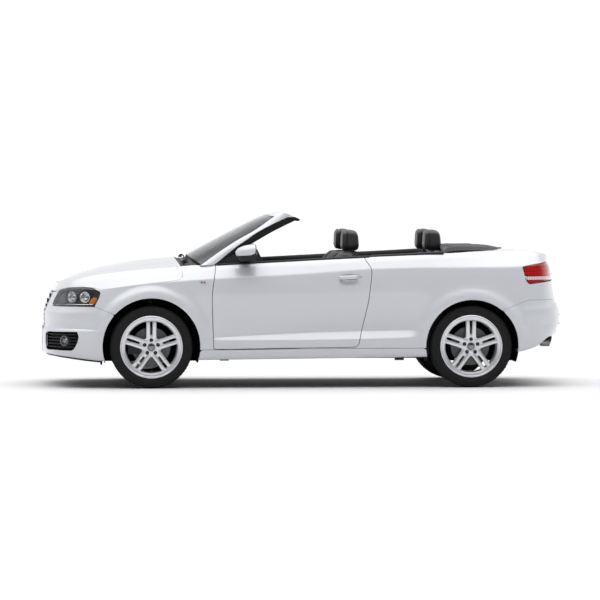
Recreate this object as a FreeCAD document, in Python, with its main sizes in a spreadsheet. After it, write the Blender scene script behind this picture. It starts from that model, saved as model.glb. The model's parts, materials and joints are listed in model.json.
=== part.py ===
"""A two-door, four-seat convertible car with its fabric roof folded, as a parametric FreeCAD document.

Lengths are millimetres. +X runs to the rear, +Y to the car's right and +Z up. The origin is on the ground,
halfway between the bumpers. Each sub-part is an object of the document whose Label names its STEP file.
"""
import FreeCAD
import Part
import math
import os

import Sketcher
from FreeCAD import Placement, Rotation, Vector

DOC = FreeCAD.newDocument("convertible_car")
LEFT, RIGHT = -1, 1
SIDES = {"left": LEFT, "right": RIGHT}

# ---------------------------------------------------------------------------------------------- sizes
# (alias, value, what it is)
SIZES = [
    ("front_overhang", 875, "nose to front axle"),
    ("wheelbase", 2578, "front axle to rear axle"),
    ("rear_overhang", 785, "rear axle to tail"),
    ("body_width", 1765, "widest across the door skins"),
    ("belt_rise", 0, "raises the shoulder, belt and deck together"),
    ("skin_wall", 30, "thickness of wings, bonnet, bumpers and boot lid"),
    ("door_wall", 150, "thickness of a whole door"),
    ("shut_gap", 7, "gap round every panel"),
    ("clearance", 0.4, "gap between pieces that only sit close"),
    ("sill_line", 324, "height of the door's lower edge"),
    ("door_front", 495, "front axle to the door's front edge"),
    ("door_length", 1268, "door's front edge to its rear edge at the waist"),
    ("cowl_x", 232, "front axle to the bonnet's rear edge"),
    ("bonnet_lead", 84, "nose to the bonnet's front edge"),
    ("bonnet_inset", 22, "bonnet's side edge inside the shoulder break"),
    ("lamp_floor", 657, "lower edge of the headlamps and top of the front bumper"),
    ("grille_half_top", 345, "half the grille's width at its top"),
    ("grille_half_low", 245, "half the grille's width at its foot"),
    ("grille_low", 268, "height of the grille's foot"),
    ("grille_high", 762, "height of the grille's top"),
    ("grille_frame", 26, "width of the grille's frame"),
    ("slat_count", 9, "slats in the grille"),
    ("slat_height", 14, "height of one slat"),
    ("arch_front", 390, "radius of the front wheel arch"),
    ("arch_rear", 374, "radius of the rear wheel arch"),
    ("arch_rear_shift", 8, "rear arch's centre behind the rear axle"),
    ("liner_wall", 6, "thickness of the arch liners"),
    ("liner_short", 52, "outer end of the liners inside the widest point"),
    ("liner_low", 205, "lower edge of the liners"),
    ("liner_opening", 220, "width of the opening for the suspension in a liner's inner wall"),
    ("liner_opening_top", 450, "height of the top of that opening"),
    ("liner_front_inner", 470, "centre plane to the front liner's inner wall"),
    ("liner_rear_inner", 560, "centre plane to the rear liner's inner wall"),
    ("deck_x", 366, "rear axle to the boot lid's front edge"),
    ("deck_strip", 50, "strip of body between the folded roof and the boot lid"),
    ("deck_half", 610, "half the boot lid's width"),
    ("deck_tail_half", 440, "half the boot lid's width between the lamps"),
    ("rear_bumper_top", 704, "height of the rear bumper's ledge"),
    ("rear_bumper_out", 62, "how far the rear bumper stands behind the tail"),
    ("tail_lamp_low", 838, "lower edge of the rear lamps"),
    ("tail_lamp_high", 998, "upper edge of the rear lamps"),
    ("tail_lamp_length", 262, "length of a rear lamp along the side"),
    ("tyre_radius", 332, "tyre"),
    ("tyre_width", 225, "tyre"),
    ("tyre_bead", 229, "radius where the tyre sits on the rim"),
    ("rim_flange", 252, "radius of the rim's flange"),
    ("rim_width", 214, "width of the rim over its flanges"),
    ("rim_wall", 12, "thickness of the rim's barrel"),
    ("spoke_width", 34, "one bar of a double spoke"),
    ("spoke_slot", 22, "gap between the bars of a double spoke"),
    ("spoke_depth", 38, "depth of a spoke along the axle"),
    ("hub_radius", 88, "radius of the wheel's centre"),
    ("hub_bore", 29, "radius of the wheel's centre bore"),
    ("lug_circle", 56, "radius of the wheel bolt circle"),
    ("lug_radius", 11, "radius of a wheel bolt recess"),
    ("spoke_count", 5, "double spokes, and wheel bolts"),
    ("wheel_inset", 18, "spoke face behind the flange's outer edge"),
    ("disc_radius", 156, "brake disc"),
    ("disc_wall", 24, "thickness of the brake disc"),
    ("disc_hat", 84, "radius of the brake disc's hat"),
    ("track_front", 1534, "centre to centre of the front tyres"),
    ("track_rear", 1514, "centre to centre of the rear tyres"),
    ("spindle_radius", 28.95, "radius of the spindle that a wheel turns on"),
    ("kingpin_low_y", 690, "kingpin axis from the centre plane at its foot"),
    ("kingpin_low_z", 230, "height of the kingpin axis at its foot"),
    ("kingpin_lean", 130, "how far the kingpin axis leans in by its head"),
    ("kingpin_height", 600, "height of the kingpin axis from foot to head"),
    ("strut_radius", 26, "radius of the front struts"),
    ("strut_spring", 62, "radius of the spring on a front strut"),
    ("floor_low", 232, "underside of the floor"),
    ("floor_wall", 28, "thickness of the floor"),
    ("floor_half", 690, "half the floor's width"),
    ("tunnel_half", 120, "half the tunnel's width"),
    ("tunnel_top", 400, "height of the tunnel's top"),
    ("boot_floor", 440, "underside of the boot floor"),
    ("rail_width", 60, "width of a chassis rail"),
    ("rail_height", 90, "height of a chassis rail"),
    ("rail_low", 430, "underside of the front rails"),
    ("engine_length", 520, "engine and gearbox along the car"),
    ("engine_width", 720, "engine and gearbox across the car"),
    ("engine_height", 450, "engine and gearbox"),
    ("engine_low", 310, "underside of the engine"),
    ("engine_behind_nose", 300, "nose to the engine's front face"),
    ("bulkhead_x", 300, "front axle to the bulkhead's front face"),
    ("bulkhead_wall", 30, "thickness of the bulkhead"),
    ("bulkhead_top", 925, "height of the bulkhead's top"),
    ("screen_foot_x", 330, "front axle to the windscreen's foot on the centre plane"),
    ("screen_foot_z", 1058, "height of that foot"),
    ("screen_head_x", 988, "front axle to the windscreen's head on the centre plane"),
    ("screen_head_z", 1388, "height of that head"),
    ("screen_glass", 6, "thickness of the windscreen"),
    ("pillar_foot_half", 772, "half the screen frame's width at its foot"),
    ("pillar_head_half", 590, "half the screen frame's width at its head"),
    ("pillar_width", 62, "width of a screen pillar"),
    ("header_top", 1418, "height of the screen header"),
    ("door_clearance", 10.5, "gap between the dashboard or bulkhead and a door"),
    ("dash_rear", 790, "front axle to the dashboard's rear edge"),
    ("console_half", 105, "half the centre console's width"),
    ("console_length", 980, "centre console"),
    ("console_top", 590, "height of the centre console"),
    ("seat_y", 365, "front seat from the centre plane"),
    ("seat_width", 480, "front seat"),
    ("seat_x", 1070, "front axle to the front seat's hip point"),
    ("headrest_width", 250, "front headrest"),
    ("rear_rest_y", 330, "rear headrest from the centre plane"),
    ("bench_half", 540, "half the rear bench's width"),
    ("bench_x", 675, "rear axle forward to the bench's front edge"),
    ("roof_stack_length", 470, "folded roof along the car"),
    ("roof_stack_low", 900, "underside of the folded roof"),
    ("steer_x", 880, "front axle to the steering wheel's centre"),
    ("steer_z", 900, "height of the steering wheel's centre"),
    ("steer_radius", 175, "steering wheel to the middle of its rim"),
    ("steer_grip", 15, "radius of the steering wheel's rim"),
    ("steer_rake", 25, "degrees that the steering column rises to the rear"),
    ("mirror_out", 985, "centre plane to the mirror's outer end"),
    ("mirror_x", 668, "front axle to the front of a mirror"),
    ("mirror_z", 1034, "underside of a mirror"),
    ("mirror_depth", 172, "mirror along the car"),
    ("mirror_height", 116, "mirror"),
    ("mirror_width", 178, "mirror across the car"),
    ("pipe_radius", 27, "exhaust pipe"),
    ("tip_radius", 36, "exhaust tail pipe"),
    ("wiper_width", 16, "wiper arm"),
    ("door_flange", 42, "depth of the door's full outline behind the skin"),
    ("door_step", 24, "how far the door's inner part steps back from its edge"),
    ("headlamp_inner", 430, "centre plane to the headlamps"),
    ("fog_lamp_y", 700, "centre plane to a fog lamp"),
    ("fog_lamp_z", 380, "height of a fog lamp"),
    ("fog_lamp_radius", 42, "fog lamp"),
    ("tip_y", -450, "tail pipes from the centre plane"),
    ("tip_z", 352, "height of the tail pipes"),
    ("tip_gap", 96, "half the bumper's notch for the tail pipes"),
    ("stud_radius", 10, "ball joint studs, strut heads and steering shaft"),
    ("disc_inset", 20, "inner face of a brake disc inside the tyre's centre"),
    ("spindle_out", 76, "end of a spindle outside the tyre's centre"),
    ("jack_pad_low", 214, "face of a jacking pad above the ground"),
    ("jack_pad", 70, "length and width of a jacking pad"),
]

SHEET = DOC.addObject("Spreadsheet::Sheet", "sizes")
for row, (alias, value, note) in enumerate(SIZES, start=1):
    SHEET.set(f"A{row}", alias)
    SHEET.set(f"B{row}", str(value))
    SHEET.set(f"C{row}", note)
    SHEET.setAlias(f"B{row}", alias)
DOC.recompute()


def size(alias):
    """A size from the sheet."""
    return float(getattr(SHEET, alias))


# Where the axles and ends are. The same sums as expressions, for the objects that read the sheet.
NOSE = "(-(sizes.front_overhang + sizes.wheelbase + sizes.rear_overhang) / 2)"
FRONT_AXLE = f"({NOSE} + sizes.front_overhang)"
REAR_AXLE = f"({FRONT_AXLE} + sizes.wheelbase)"
nose = -(size("front_overhang") + size("wheelbase") + size("rear_overhang")) / 2
front_axle = nose + size("front_overhang")
rear_axle = front_axle + size("wheelbase")
tail = -nose
half_width = size("body_width") / 2
gap = size("shut_gap")
near = size("clearance")
rise = size("belt_rise")
cabin_half = half_width - size("door_wall") - 12
dash_half = cabin_half - 10 - size("door_clearance")
deck_front = rear_axle + size("deck_x")
cowl = front_axle + size("cowl_x")
door_front = front_axle + size("door_front")
door_rear = door_front + size("door_length")
tail_face = tail - size("rear_bumper_out")

# ------------------------------------------------------------------------------------------ sub-parts
PARTS = {}


def keep(label, thing):
    """Names an object as a sub-part."""
    thing.Label = label
    PARTS[label] = thing
    return thing


def keep_shape(label, shape):
    """A sub-part whose shape Part's functions make."""
    feature = DOC.addObject("Part::Feature", label + "_shape")
    feature.Shape = shape
    return keep(label, feature)


def bind(thing, **expressions):
    """Binds an object's properties to the sheet. A double underscore stands for a full stop."""
    for name, expression in expressions.items():
        thing.setExpression(name.replace("__", "."), expression)
    return thing


def box(label, length, width, height, x, y, z):
    """A Part::Box whose sizes and place are expressions."""
    made = DOC.addObject("Part::Box", label)
    return bind(made, Length=length, Width=width, Height=height,
                Placement__Base__x=x, Placement__Base__y=y, Placement__Base__z=z)


def fuse(label, *things):
    """A Part::MultiFuse of objects."""
    made = DOC.addObject("Part::MultiFuse", label)
    made.Shapes = list(things)
    return made


def cut(label, base, tool):
    """A Part::Cut."""
    made = DOC.addObject("Part::Cut", label)
    made.Base = base
    made.Tool = tool
    return made


# ------------------------------------------------------------------------- outlines, prisms and lofts
def wire(points, level, plane):
    """A closed wire through (a, b) points in the XZ, XY or YZ plane at a level.

    A point given as (a, b, "arc") is the middle of an arc between its neighbours.
    """
    def place(point):
        a, b = point[0], point[1]
        return {"xz": Vector(a, level, b), "xy": Vector(a, b, level), "yz": Vector(level, a, b)}[plane]

    edges = []
    ring = points + [points[0]]
    at = 0
    while at < len(points):
        if at + 1 < len(points) and len(ring[at + 1]) == 3:
            edges.append(Part.Arc(place(ring[at]), place(ring[at + 1]), place(ring[at + 2])).toShape())
            at += 2
        else:
            edges.append(Part.LineSegment(place(ring[at]), place(ring[at + 1])).toShape())
            at += 1
    return Part.Wire(edges)


def prism(points, plane, low, high, inset=0.0):
    """An outline as wire() takes it, drawn in by inset and extruded from low to high."""
    face = Part.Face(wire(points, low, plane))
    if inset:
        face = face.makeOffset2D(-inset)
    along = {"xz": Vector(0, high - low, 0), "xy": Vector(0, 0, high - low), "yz": Vector(high - low, 0, 0)}
    return face.extrude(along[plane])


def slab(x0, x1, y0, y1, z0, z1):
    """A plain block from corner to corner."""
    return Part.makeBox(x1 - x0, y1 - y0, z1 - z0, Vector(x0, y0, z0))


def rod(start, end, radius):
    """A round bar between two points."""
    along = Vector(*end) - Vector(*start)
    return Part.makeCylinder(radius, along.Length, Vector(*start), along)


def both_sides(shape):
    """A shape and its mirror image across the centre plane, as one compound."""
    return Part.makeCompound([shape, shape.mirror(Vector(0, 0, 0), Vector(0, 1, 0))])


def mirrored(shape):
    """The mirror image of a shape across the centre plane."""
    return shape.mirror(Vector(0, 0, 0), Vector(0, 1, 0))


def solids(shape):
    """The shape's solids, tidied, as one compound or one solid."""
    found = [solid for solid in shape.Solids if solid.Volume > 500]
    return found[0] if len(found) == 1 else Part.makeCompound(found)


# Body sections: anchor and distance from it, then inset from the half width and height at the sill,
# the widest point, the shoulder break and the top edge, the height on the centre plane, and the wall.
SECTIONS = [
    # anchor, dx, sill in, z, waist in, z, shoulder in, z, top in, z, centre z, wall
    ("nose", 0, 640, 292, 582, 430, 600, 560, 640, 598, 602, "skin_wall"),
    ("nose", 24, 470, 262, 402, 430, 424, 605, 500, 655, 668, "skin_wall"),
    ("nose", 84, 292, 240, 234, 430, 268, 668, 360, 732, 775, "skin_wall"),
    ("nose", 190, 150, 226, 112, 440, 136, 724, 226, 806, 868, "skin_wall"),
    ("nose", 370, 66, 212, 38, 450, 62, 775, 160, 872, 934, "skin_wall"),
    ("nose", 620, 30, 206, 6, 470, 30, 822, 136, 925, 986, "skin_wall"),
    ("front_axle", 0, 20, 214, 0, 500, 22, 846, 128, 958, 1028, "skin_wall"),
    ("front_axle", 300, 18, 222, 1, 520, 22, 862, 120, 982, 1058, "skin_wall"),
    ("door_front", -30, 16, 224, 3, 530, 24, 878, 98, 990, 1030, "skin_wall"),
    ("door_front", 0, 16, 224, 3, 530, 24, 880, 97, 990, 1026, "door_wall"),
    ("door_front", 740, 14, 231, 2, 560, 24, 920, 92, 1014, 1040, "door_wall"),
    ("door_front", 1300, 14, 237, 2, 560, 24, 951, 92, 1039, 1062, "door_wall"),
    ("rear_axle", -160, 16, 245, 1, 560, 27, 962, 112, 1076, 1108, "door_wall"),
    ("rear_axle", 290, 28, 262, 6, 560, 42, 970, 172, 1096, 1112, "door_wall"),
    ("tail_face", -260, 72, 278, 32, 565, 72, 968, 206, 1084, 1104, "skin_wall"),
    ("tail_face", -100, 136, 300, 80, 575, 128, 950, 236, 1058, 1092, "skin_wall"),
    ("tail_face", -28, 192, 318, 138, 580, 180, 930, 270, 1030, 1066, "skin_wall"),
    ("tail_face", 0, 250, 330, 196, 580, 236, 900, 320, 985, 1016, "skin_wall"),
]
ANCHORS = {"nose": nose, "front_axle": front_axle, "door_front": door_front,
           "rear_axle": rear_axle, "tail_face": tail_face}


def section(x, sill, waist, shoulder, top, centre):
    """One closed body section at x, from half widths and heights, with round sides and a crowned top."""
    right = [(w, z) for w, z in (sill, waist, shoulder, top)]
    left = [(-w, z) for w, z in right]
    return wire([left[0], right[0], (*right[1], "arc"), right[2], right[3],
                 (0, centre, "arc"), left[3], left[2], (*left[1], "arc")], x, "yz")


def body_loft(inner):
    """The whole body as one solid: its outer form, or the hollow inside its walls."""
    rings = []
    for anchor, dx, si, sz, wi, wz, hi, hz, ti, tz, cz, wall_name in SECTIONS:
        x = ANCHORS[anchor] + dx
        wall = size(wall_name) if inner else 0.0
        top_wall = size("skin_wall") if inner else 0.0
        if inner:
            x *= (tail_face - size("skin_wall")) / tail_face
        lift = rise if hz > 900 or anchor != "nose" else 0.0
        rings.append(section(x,
                             (half_width - si - wall, sz + top_wall),
                             (half_width - wi - wall, wz),
                             (half_width - hi - wall, hz + lift - top_wall / 3),
                             (half_width - ti - wall, tz + lift - top_wall),
                             cz + lift - top_wall))
    return Part.makeLoft(rings, True, True)


outer = body_loft(False)
inner = body_loft(True)
shell = outer.cut(inner)


# ------------------------------------------------------------------------------- outlines of the panels
def axle_height():
    """Height of every wheel's centre."""
    return size("tyre_radius")


def door_outline():
    """The door's edge from the side. It runs on above the belt, where the body ends by itself."""
    sill_line, high = size("sill_line"), HIGH
    return [(door_front + 4, sill_line), (door_rear - 132, sill_line + 2),
            (door_rear - 108, sill_line + 10, "arc"), (door_rear - 96, sill_line + 38),
            (door_rear - 22, 640, "arc"), (door_rear + 10, 925 + rise),
            (door_rear - 4, 985 + rise), (door_rear - 44, 1048 + rise), (door_rear - 44, high),
            (door_front + 26, high), (door_front - 8, 720, "arc")]


def bonnet_side():
    """What lies above the bonnet's lower edge, from the side."""
    return [(nose - 60, 752), (nose + 190, 800), (nose + 330, 814), (nose + 420, 800), (nose + 466, 784),
            (nose + 620, 806), (front_axle, 832), (cowl, 852), (cowl, 1300), (nose - 60, 1300)]


def bonnet_plan():
    """The bonnet from above, drawn inside the shoulder break of each body section."""
    rows = [("nose", 0, 345), ("nose", 84, 268), ("nose", 190, 136), ("nose", 370, 62),
            ("nose", 620, 30), ("front_axle", 0, 22)]
    edge = [(ANCHORS[anchor] + dx, half_width - inset - size("bonnet_inset")) for anchor, dx, inset in rows]
    edge[0] = (nose + size("bonnet_lead") - 40, edge[0][1])
    edge.append((cowl, half_width - 22 - size("bonnet_inset") - 34))
    return edge + [(x, -y) for x, y in reversed(edge)]


def lamp_side():
    """A headlamp from the side."""
    low = size("lamp_floor")
    return [(nose - 20, low), (nose + 420, low + 4), (nose + 466, low + 112), (nose + 420, low + 137),
            (nose + 330, low + 149), (nose + 166, low + 125), (nose - 20, low + 84)]


def front_bumper_side():
    """The front bumper from the side, forward of the wheel arch."""
    low = size("lamp_floor")
    return [(nose - 60, 120), (front_axle - 200, 120), (front_axle - 200, low - 90), (nose + 420, low),
            (nose - 60, low)]


def grille_front(draw_in):
    """The grille's outline from the front."""
    top, low = size("grille_half_top") - draw_in, size("grille_half_low") - draw_in
    z0, z1 = size("grille_low") + draw_in, size("grille_high") - draw_in
    knee = z0 + 0.5 * (z1 - z0)
    return [(-low, z0), (low, z0), (top, knee), (top - 12, z1), (-(top - 12), z1), (-top, knee)]


def side_grille_outline():
    """The opening for a fog lamp beside the grille, from the side."""
    return [(nose + 40, 316), (nose + 264, 304), (nose + 296, 424), (nose + 276, 444), (nose + 40, 452)]


def rear_bumper_side():
    """The rear bumper from the side, behind the wheel arch."""
    top = size("rear_bumper_top")
    return [(rear_axle + 150, 150), (tail + 60, 150), (tail + 60, top), (tail_face - 150, top),
            (rear_axle + 300, top - 76), (rear_axle + 150, top - 110)]


def tail_lamp_side():
    """A rear lamp from the side."""
    low, high, long = size("tail_lamp_low"), size("tail_lamp_high"), size("tail_lamp_length")
    return [(tail_face - long, low), (tail + 60, low + 20), (tail + 60, high + 15),
            (tail_face - long - 34, high - 30)]


def deck_plan():
    """The boot lid from above."""
    half = size("deck_half")
    return [(deck_front, -half), (tail + 60, -half + 26), (tail + 60, half - 26), (deck_front, half)]


# Cutting shapes reach past the car: this far out from the centre plane, and up to this height.
WIDE, HIGH = 1200, 1400


def arch(axle_x, radius, inner_wall):
    """The space in the right wheel arch and the liner round it."""
    wall, outer_end, high = size("liner_wall"), half_width - size("liner_short"), axle_height()
    space = rod((axle_x, inner_wall, high), (axle_x, WIDE, high), radius)
    jacket = rod((axle_x, inner_wall - wall, high), (axle_x, outer_end, high), radius + wall)
    reach = size("liner_opening") / 2
    hole = slab(axle_x - reach, axle_x + reach, 0, inner_wall + 1, 0, size("liner_opening_top"))
    floor_cut = slab(axle_x - 600, axle_x + 600, 0, WIDE, -100, size("liner_low"))
    return space.fuse(jacket), jacket.cut(space).cut(hole).cut(floor_cut)


arch_front, liner_front = arch(front_axle, size("arch_front"), size("liner_front_inner"))
arch_rear, liner_rear = arch(rear_axle + size("arch_rear_shift"), size("arch_rear"), size("liner_rear_inner"))
arches = both_sides(arch_front).fuse(both_sides(arch_rear))


def side_region(outline, inset):
    """An outline seen from the side, through the whole width."""
    return prism(outline, "xz", -WIDE, WIDE, inset)


def right_region(outline, inset, y0=0.0):
    """An outline seen from the side, right of y0."""
    return prism(outline, "xz", y0, WIDE, inset)


stack_rear = deck_front - size("deck_strip")
bonnet_zone = side_region(bonnet_side(), 0).common(prism(bonnet_plan(), "xy", 700, 1300))
bonnet_zone_wide = side_region(bonnet_side(), -gap).common(prism(bonnet_plan(), "xy", 700, 1300, -gap))
opening = prism([(front_axle + 395, -(cabin_half - 10)), (front_axle + 395, cabin_half - 10),
                 (rear_axle - 250, cabin_half - 30), (rear_axle + 60, cabin_half - 40),
                 (stack_rear - 150, 600), (stack_rear, 440), (stack_rear, -440), (stack_rear - 150, -600),
                 (rear_axle + 60, -(cabin_half - 40)), (rear_axle - 250, -(cabin_half - 30))], "xy", 150, HIGH)

# -------------------------------------------------------------------------------------- body panels
def keep_pair(label, right_shape):
    """Keeps a piece of the right side and its mirror image as two sub-parts."""
    keep_shape(label + "_right", right_shape)
    keep_shape(label + "_left", mirrored(right_shape))


skin = shell.cut(arches)
keep_shape("bonnet", solids(skin.common(bonnet_zone)))
fixed = skin.cut(bonnet_zone_wide).cut(opening)

# The belly is open between the sills; only the bumpers keep a lower edge.
belly = slab(nose + 260, tail_face - 90, -size("floor_half"), size("floor_half"), 100, 420)
fixed = fixed.cut(belly)

# Boot lid: the deck above, and the tail's face between the lamps.
deck_foot = size("tail_lamp_high") + 22
lid_half, lid_low = size("deck_tail_half"), size("rear_bumper_top")
deck_zone = prism(deck_plan(), "xy", deck_foot, 1300).fuse(
    slab(tail_face - 150, tail + 60, -lid_half, lid_half, lid_low + gap, deck_foot))
deck_zone_wide = prism(deck_plan(), "xy", deck_foot - gap, 1300, -gap).fuse(
    slab(tail_face - 150, tail + 60, -lid_half - gap, lid_half + gap, lid_low, deck_foot))
keep_shape("boot_lid", solids(fixed.common(deck_zone)))
fixed = fixed.cut(deck_zone_wide)

# Side doors. Inside the skin the edge steps back, so that the rear corner clears the body as it swings.
flange = half_width - size("door_flange")
outside_flange = slab(nose, tail, flange, WIDE, 0, HIGH)
door_right = fixed.common(right_region(door_outline(), 0, flange)).fuse(
    fixed.common(right_region(door_outline(), size("door_step")).cut(outside_flange)))
fixed = fixed.cut(side_region(door_outline(), -gap))

# Lamps are blocks of the wall, let into the panels round them.
lamp_zone = right_region(lamp_side(), 0, size("headlamp_inner"))
keep_shape("headlamps", both_sides(solids(fixed.common(lamp_zone))))
fixed = fixed.cut(both_sides(lamp_zone))
tail_zone = right_region(tail_lamp_side(), 0, lid_half + gap)
keep_shape("rear_lamps", both_sides(solids(fixed.common(tail_zone))))
fixed = fixed.cut(both_sides(tail_zone))

# The grille: a frame and slats cut from the nose, and the fog lamps' openings beside it.
NOSE_FRONT, NOSE_BACK = nose - 50, nose + 190
frame_zone = prism(grille_front(0), "yz", NOSE_FRONT, NOSE_BACK)
void_zone = prism(grille_front(size("grille_frame")), "yz", NOSE_FRONT, NOSE_BACK)
slat_step = (size("grille_high") - size("grille_low") - 2 * size("grille_frame")) / (size("slat_count") + 1)
slat_zones = [slab(NOSE_FRONT, NOSE_BACK, -10, 10, 0, 1000)]
for number in range(1, int(size("slat_count")) + 1):
    foot = size("grille_low") + size("grille_frame") + number * slat_step - size("slat_height") / 2
    slat_zones.append(slab(NOSE_FRONT, NOSE_BACK, -WIDE, WIDE, foot, foot + size("slat_height")))
slats = slat_zones[0].fuse(slat_zones[1:]).common(void_zone)
nose_wall = fixed.common(frame_zone)
grille = nose_wall.cut(void_zone).fuse(nose_wall.common(slats))
fixed = fixed.cut(frame_zone)

side_y = size("grille_half_top") + 60
side_zone = right_region(side_grille_outline(), 0, side_y)
side_wall = fixed.common(side_zone)
fog_y, fog_z = size("fog_lamp_y"), size("fog_lamp_z")
fog_lamp = rod((nose + 60, fog_y, fog_z), (nose + 360, fog_y, fog_z), size("fog_lamp_radius"))
side_bars = slab(NOSE_FRONT, nose + 400, 0, WIDE, fog_z - 38, fog_z - 26).fuse(
    [slab(NOSE_FRONT, nose + 400, 0, WIDE, fog_z - 6, fog_z + 6),
     slab(NOSE_FRONT, nose + 400, 0, WIDE, fog_z + 26, fog_z + 38), fog_lamp])
side_grille = side_wall.cut(right_region(side_grille_outline(), 14, side_y)).fuse(side_wall.common(side_bars))
fixed = fixed.cut(both_sides(side_zone))
keep_shape("grille", Part.makeCompound([solids(grille), *solids(both_sides(solids(side_grille))).Solids]))

# Front bumper, with the painted strips between the grille and the headlamps.
bumper_zone = side_region(front_bumper_side(), 0).fuse(
    slab(nose - 60, nose + 200, -size("headlamp_inner"), size("headlamp_inner"), size("lamp_floor"), 900))
keep_shape("front_bumper", solids(fixed.common(bumper_zone)))
fixed = fixed.cut(bumper_zone)

# Rear bumper: the tail's foot and the bulge behind it, with a notch for the tail pipes.
bulge_rings = [  # x, half width, height of foot, knee and ledge
    (tail_face - 110, 740, 345, 470, lid_low - 8),
    (tail_face - 10, 690, 345, 470, lid_low),
    (tail - 28, 545, 352, 480, lid_low - 40),
    (tail, 330, 440, 500, lid_low - 66),
]


def bulge_loft(draw_in):
    """The bumper's bulge, or the hollow a wall inside it."""
    rings = []
    for x, half, foot, knee, ledge in bulge_rings:
        half, low, top = half - draw_in, foot + draw_in, ledge - draw_in
        rings.append(wire([(60 - half, low), (half - 60, low), (half, knee), (half, top), (-half, top),
                           (-half, knee)], x - draw_in, "yz"))
    return Part.makeLoft(rings, True, True)


bulge = bulge_loft(0)
rear_zone = side_region(rear_bumper_side(), 0)
tip_y, tip_z = size("tip_y"), size("tip_z")
notch = slab(tail_face - 200, tail + 60, tip_y - size("tip_gap"), tip_y + size("tip_gap"), 0, tip_z + 45)
rear_bumper = fixed.common(rear_zone).fuse(bulge).cut(bulge_loft(size("skin_wall"))).cut(notch)
fixed = fixed.cut(rear_zone).cut(bulge)
keep_shape("rear_bumper", solids(rear_bumper))

# Sills, the scuttle, front wings and rear quarters are what is left of the walls.
sill_top = size("sill_line") - gap
sill_zone = slab(door_front, rear_axle, size("floor_half"), WIDE, 150, sill_top)
keep_shape("sills", both_sides(solids(fixed.common(sill_zone))))
fixed = fixed.cut(slab(door_front, rear_axle, -WIDE, WIDE, 150, sill_top))
scuttle_half = cabin_half - 40
scuttle_zone = slab(cowl, front_axle + 400, -scuttle_half, scuttle_half, 880, 1300)
scuttle = solids(fixed.common(scuttle_zone))
fixed = fixed.cut(scuttle_zone)
wing = fixed.common(slab(nose, door_front + 60, 560, WIDE, 150, 1300))
quarter = fixed.common(slab(door_front + 600, tail, 0, WIDE, sill_top, 1300))
keep_pair("rear_quarter", solids(quarter))

# ------------------------------------------------------------------------------- windscreen and its frame
foot_x, foot_z = front_axle + size("screen_foot_x"), size("screen_foot_z") + rise
head_x, head_z = front_axle + size("screen_head_x"), size("screen_head_z")
foot_half, head_half = size("pillar_foot_half"), size("pillar_head_half")


def bowed(x_mid, z_mid, half, back, drop, thick):
    """A flat crescent across the car, its middle forward of and above its ends by back and drop."""
    length = math.hypot(back, drop)
    step = Vector(back / length * thick, 0, -drop / length * thick)
    ends = [Vector(x_mid + back, -half, z_mid - drop), Vector(x_mid, 0, z_mid),
            Vector(x_mid + back, half, z_mid - drop)]
    far = [end + step for end in ends]
    return Part.Wire([Part.Arc(*ends).toShape(), Part.LineSegment(ends[2], far[2]).toShape(),
                      Part.Arc(*far[::-1]).toShape(), Part.LineSegment(far[0], ends[0]).toShape()])


header = Part.makeLoft([bowed(head_x, head_z, head_half, 14, 16, 22),
                        bowed(head_x + 100, size("header_top") - 1, head_half, 14, 18, 28),
                        bowed(head_x + 226, head_z - 30, head_half, 10, 14, 18)], True, True)
pillar_rows = [  # share of the way up, then x and z of the outer edge, then x and z of the inner edge
    (0.0, front_axle + 400, foot_z - 66, front_axle + 498, foot_z - 62),
    (0.38, front_axle + 640, foot_z + 98, front_axle + 740, foot_z + 84),
    (0.70, front_axle + 850, foot_z + 212, front_axle + 930, foot_z + 196),
    (1.0, front_axle + 1004, head_z - 14, front_axle + 1104, head_z - 24),
]


def pillar_wire(share, x0, z0, x1, z1):
    """A section of the right pillar, in its own slanting plane."""
    y = foot_half + (head_half - foot_half) * share
    inward = size("pillar_width")
    return Part.makePolygon([Vector(x0, y, z0), Vector(x1, y, z1), Vector(x1, y - inward, z1),
                             Vector(x0, y - inward, z0), Vector(x0, y, z0)])


pillar = Part.makeLoft([pillar_wire(*row) for row in pillar_rows], True, True)
screen_rail = Part.makeLoft([bowed(foot_x - 20, foot_z + 6, foot_half - 20, 90, 60, 60),
                             bowed(foot_x - 20, foot_z - 34, foot_half - 20, 90, 60, 60)], True, True)
frame = header.fuse([pillar, mirrored(pillar), screen_rail])
glass_wall = size("screen_glass")
glass = Part.makeLoft([bowed(foot_x + 8, foot_z - 2, foot_half - 40, 84, 58, glass_wall),
                       bowed(head_x + 30, head_z - 8, head_half - 30, 14, 16, glass_wall)], True, True)
keep_shape("windscreen_frame", solids(frame))
keep_shape("windscreen", solids(glass.cut(frame)))
keep_shape("scuttle", solids(scuttle.cut(frame)))
keep_pair("front_wing", solids(wing.cut(frame)))

# ------------------------------------------------------------------------------------- floor and bulkhead
LINER_FACE = "(sizes.liner_front_inner - sizes.liner_wall)"
REAR_FACE = "(sizes.liner_rear_inner - sizes.liner_wall)"
BULKHEAD_BACK = f"({FRONT_AXLE} + sizes.bulkhead_x + sizes.bulkhead_wall)"
RISER = f"({REAR_AXLE} - 214)"


def block(label, x0, x1, y0, y1, z0, z1):
    """A Part::Box between pairs of expressions."""
    return box(label, f"({x1}) - ({x0})", f"({y1}) - ({y0})", f"({z1}) - ({z0})", x0, y0, z0)


def tool(label, shape):
    """A cutting shape as an object of the document."""
    feature = DOC.addObject("Part::Feature", label)
    feature.Shape = shape
    return feature


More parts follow.
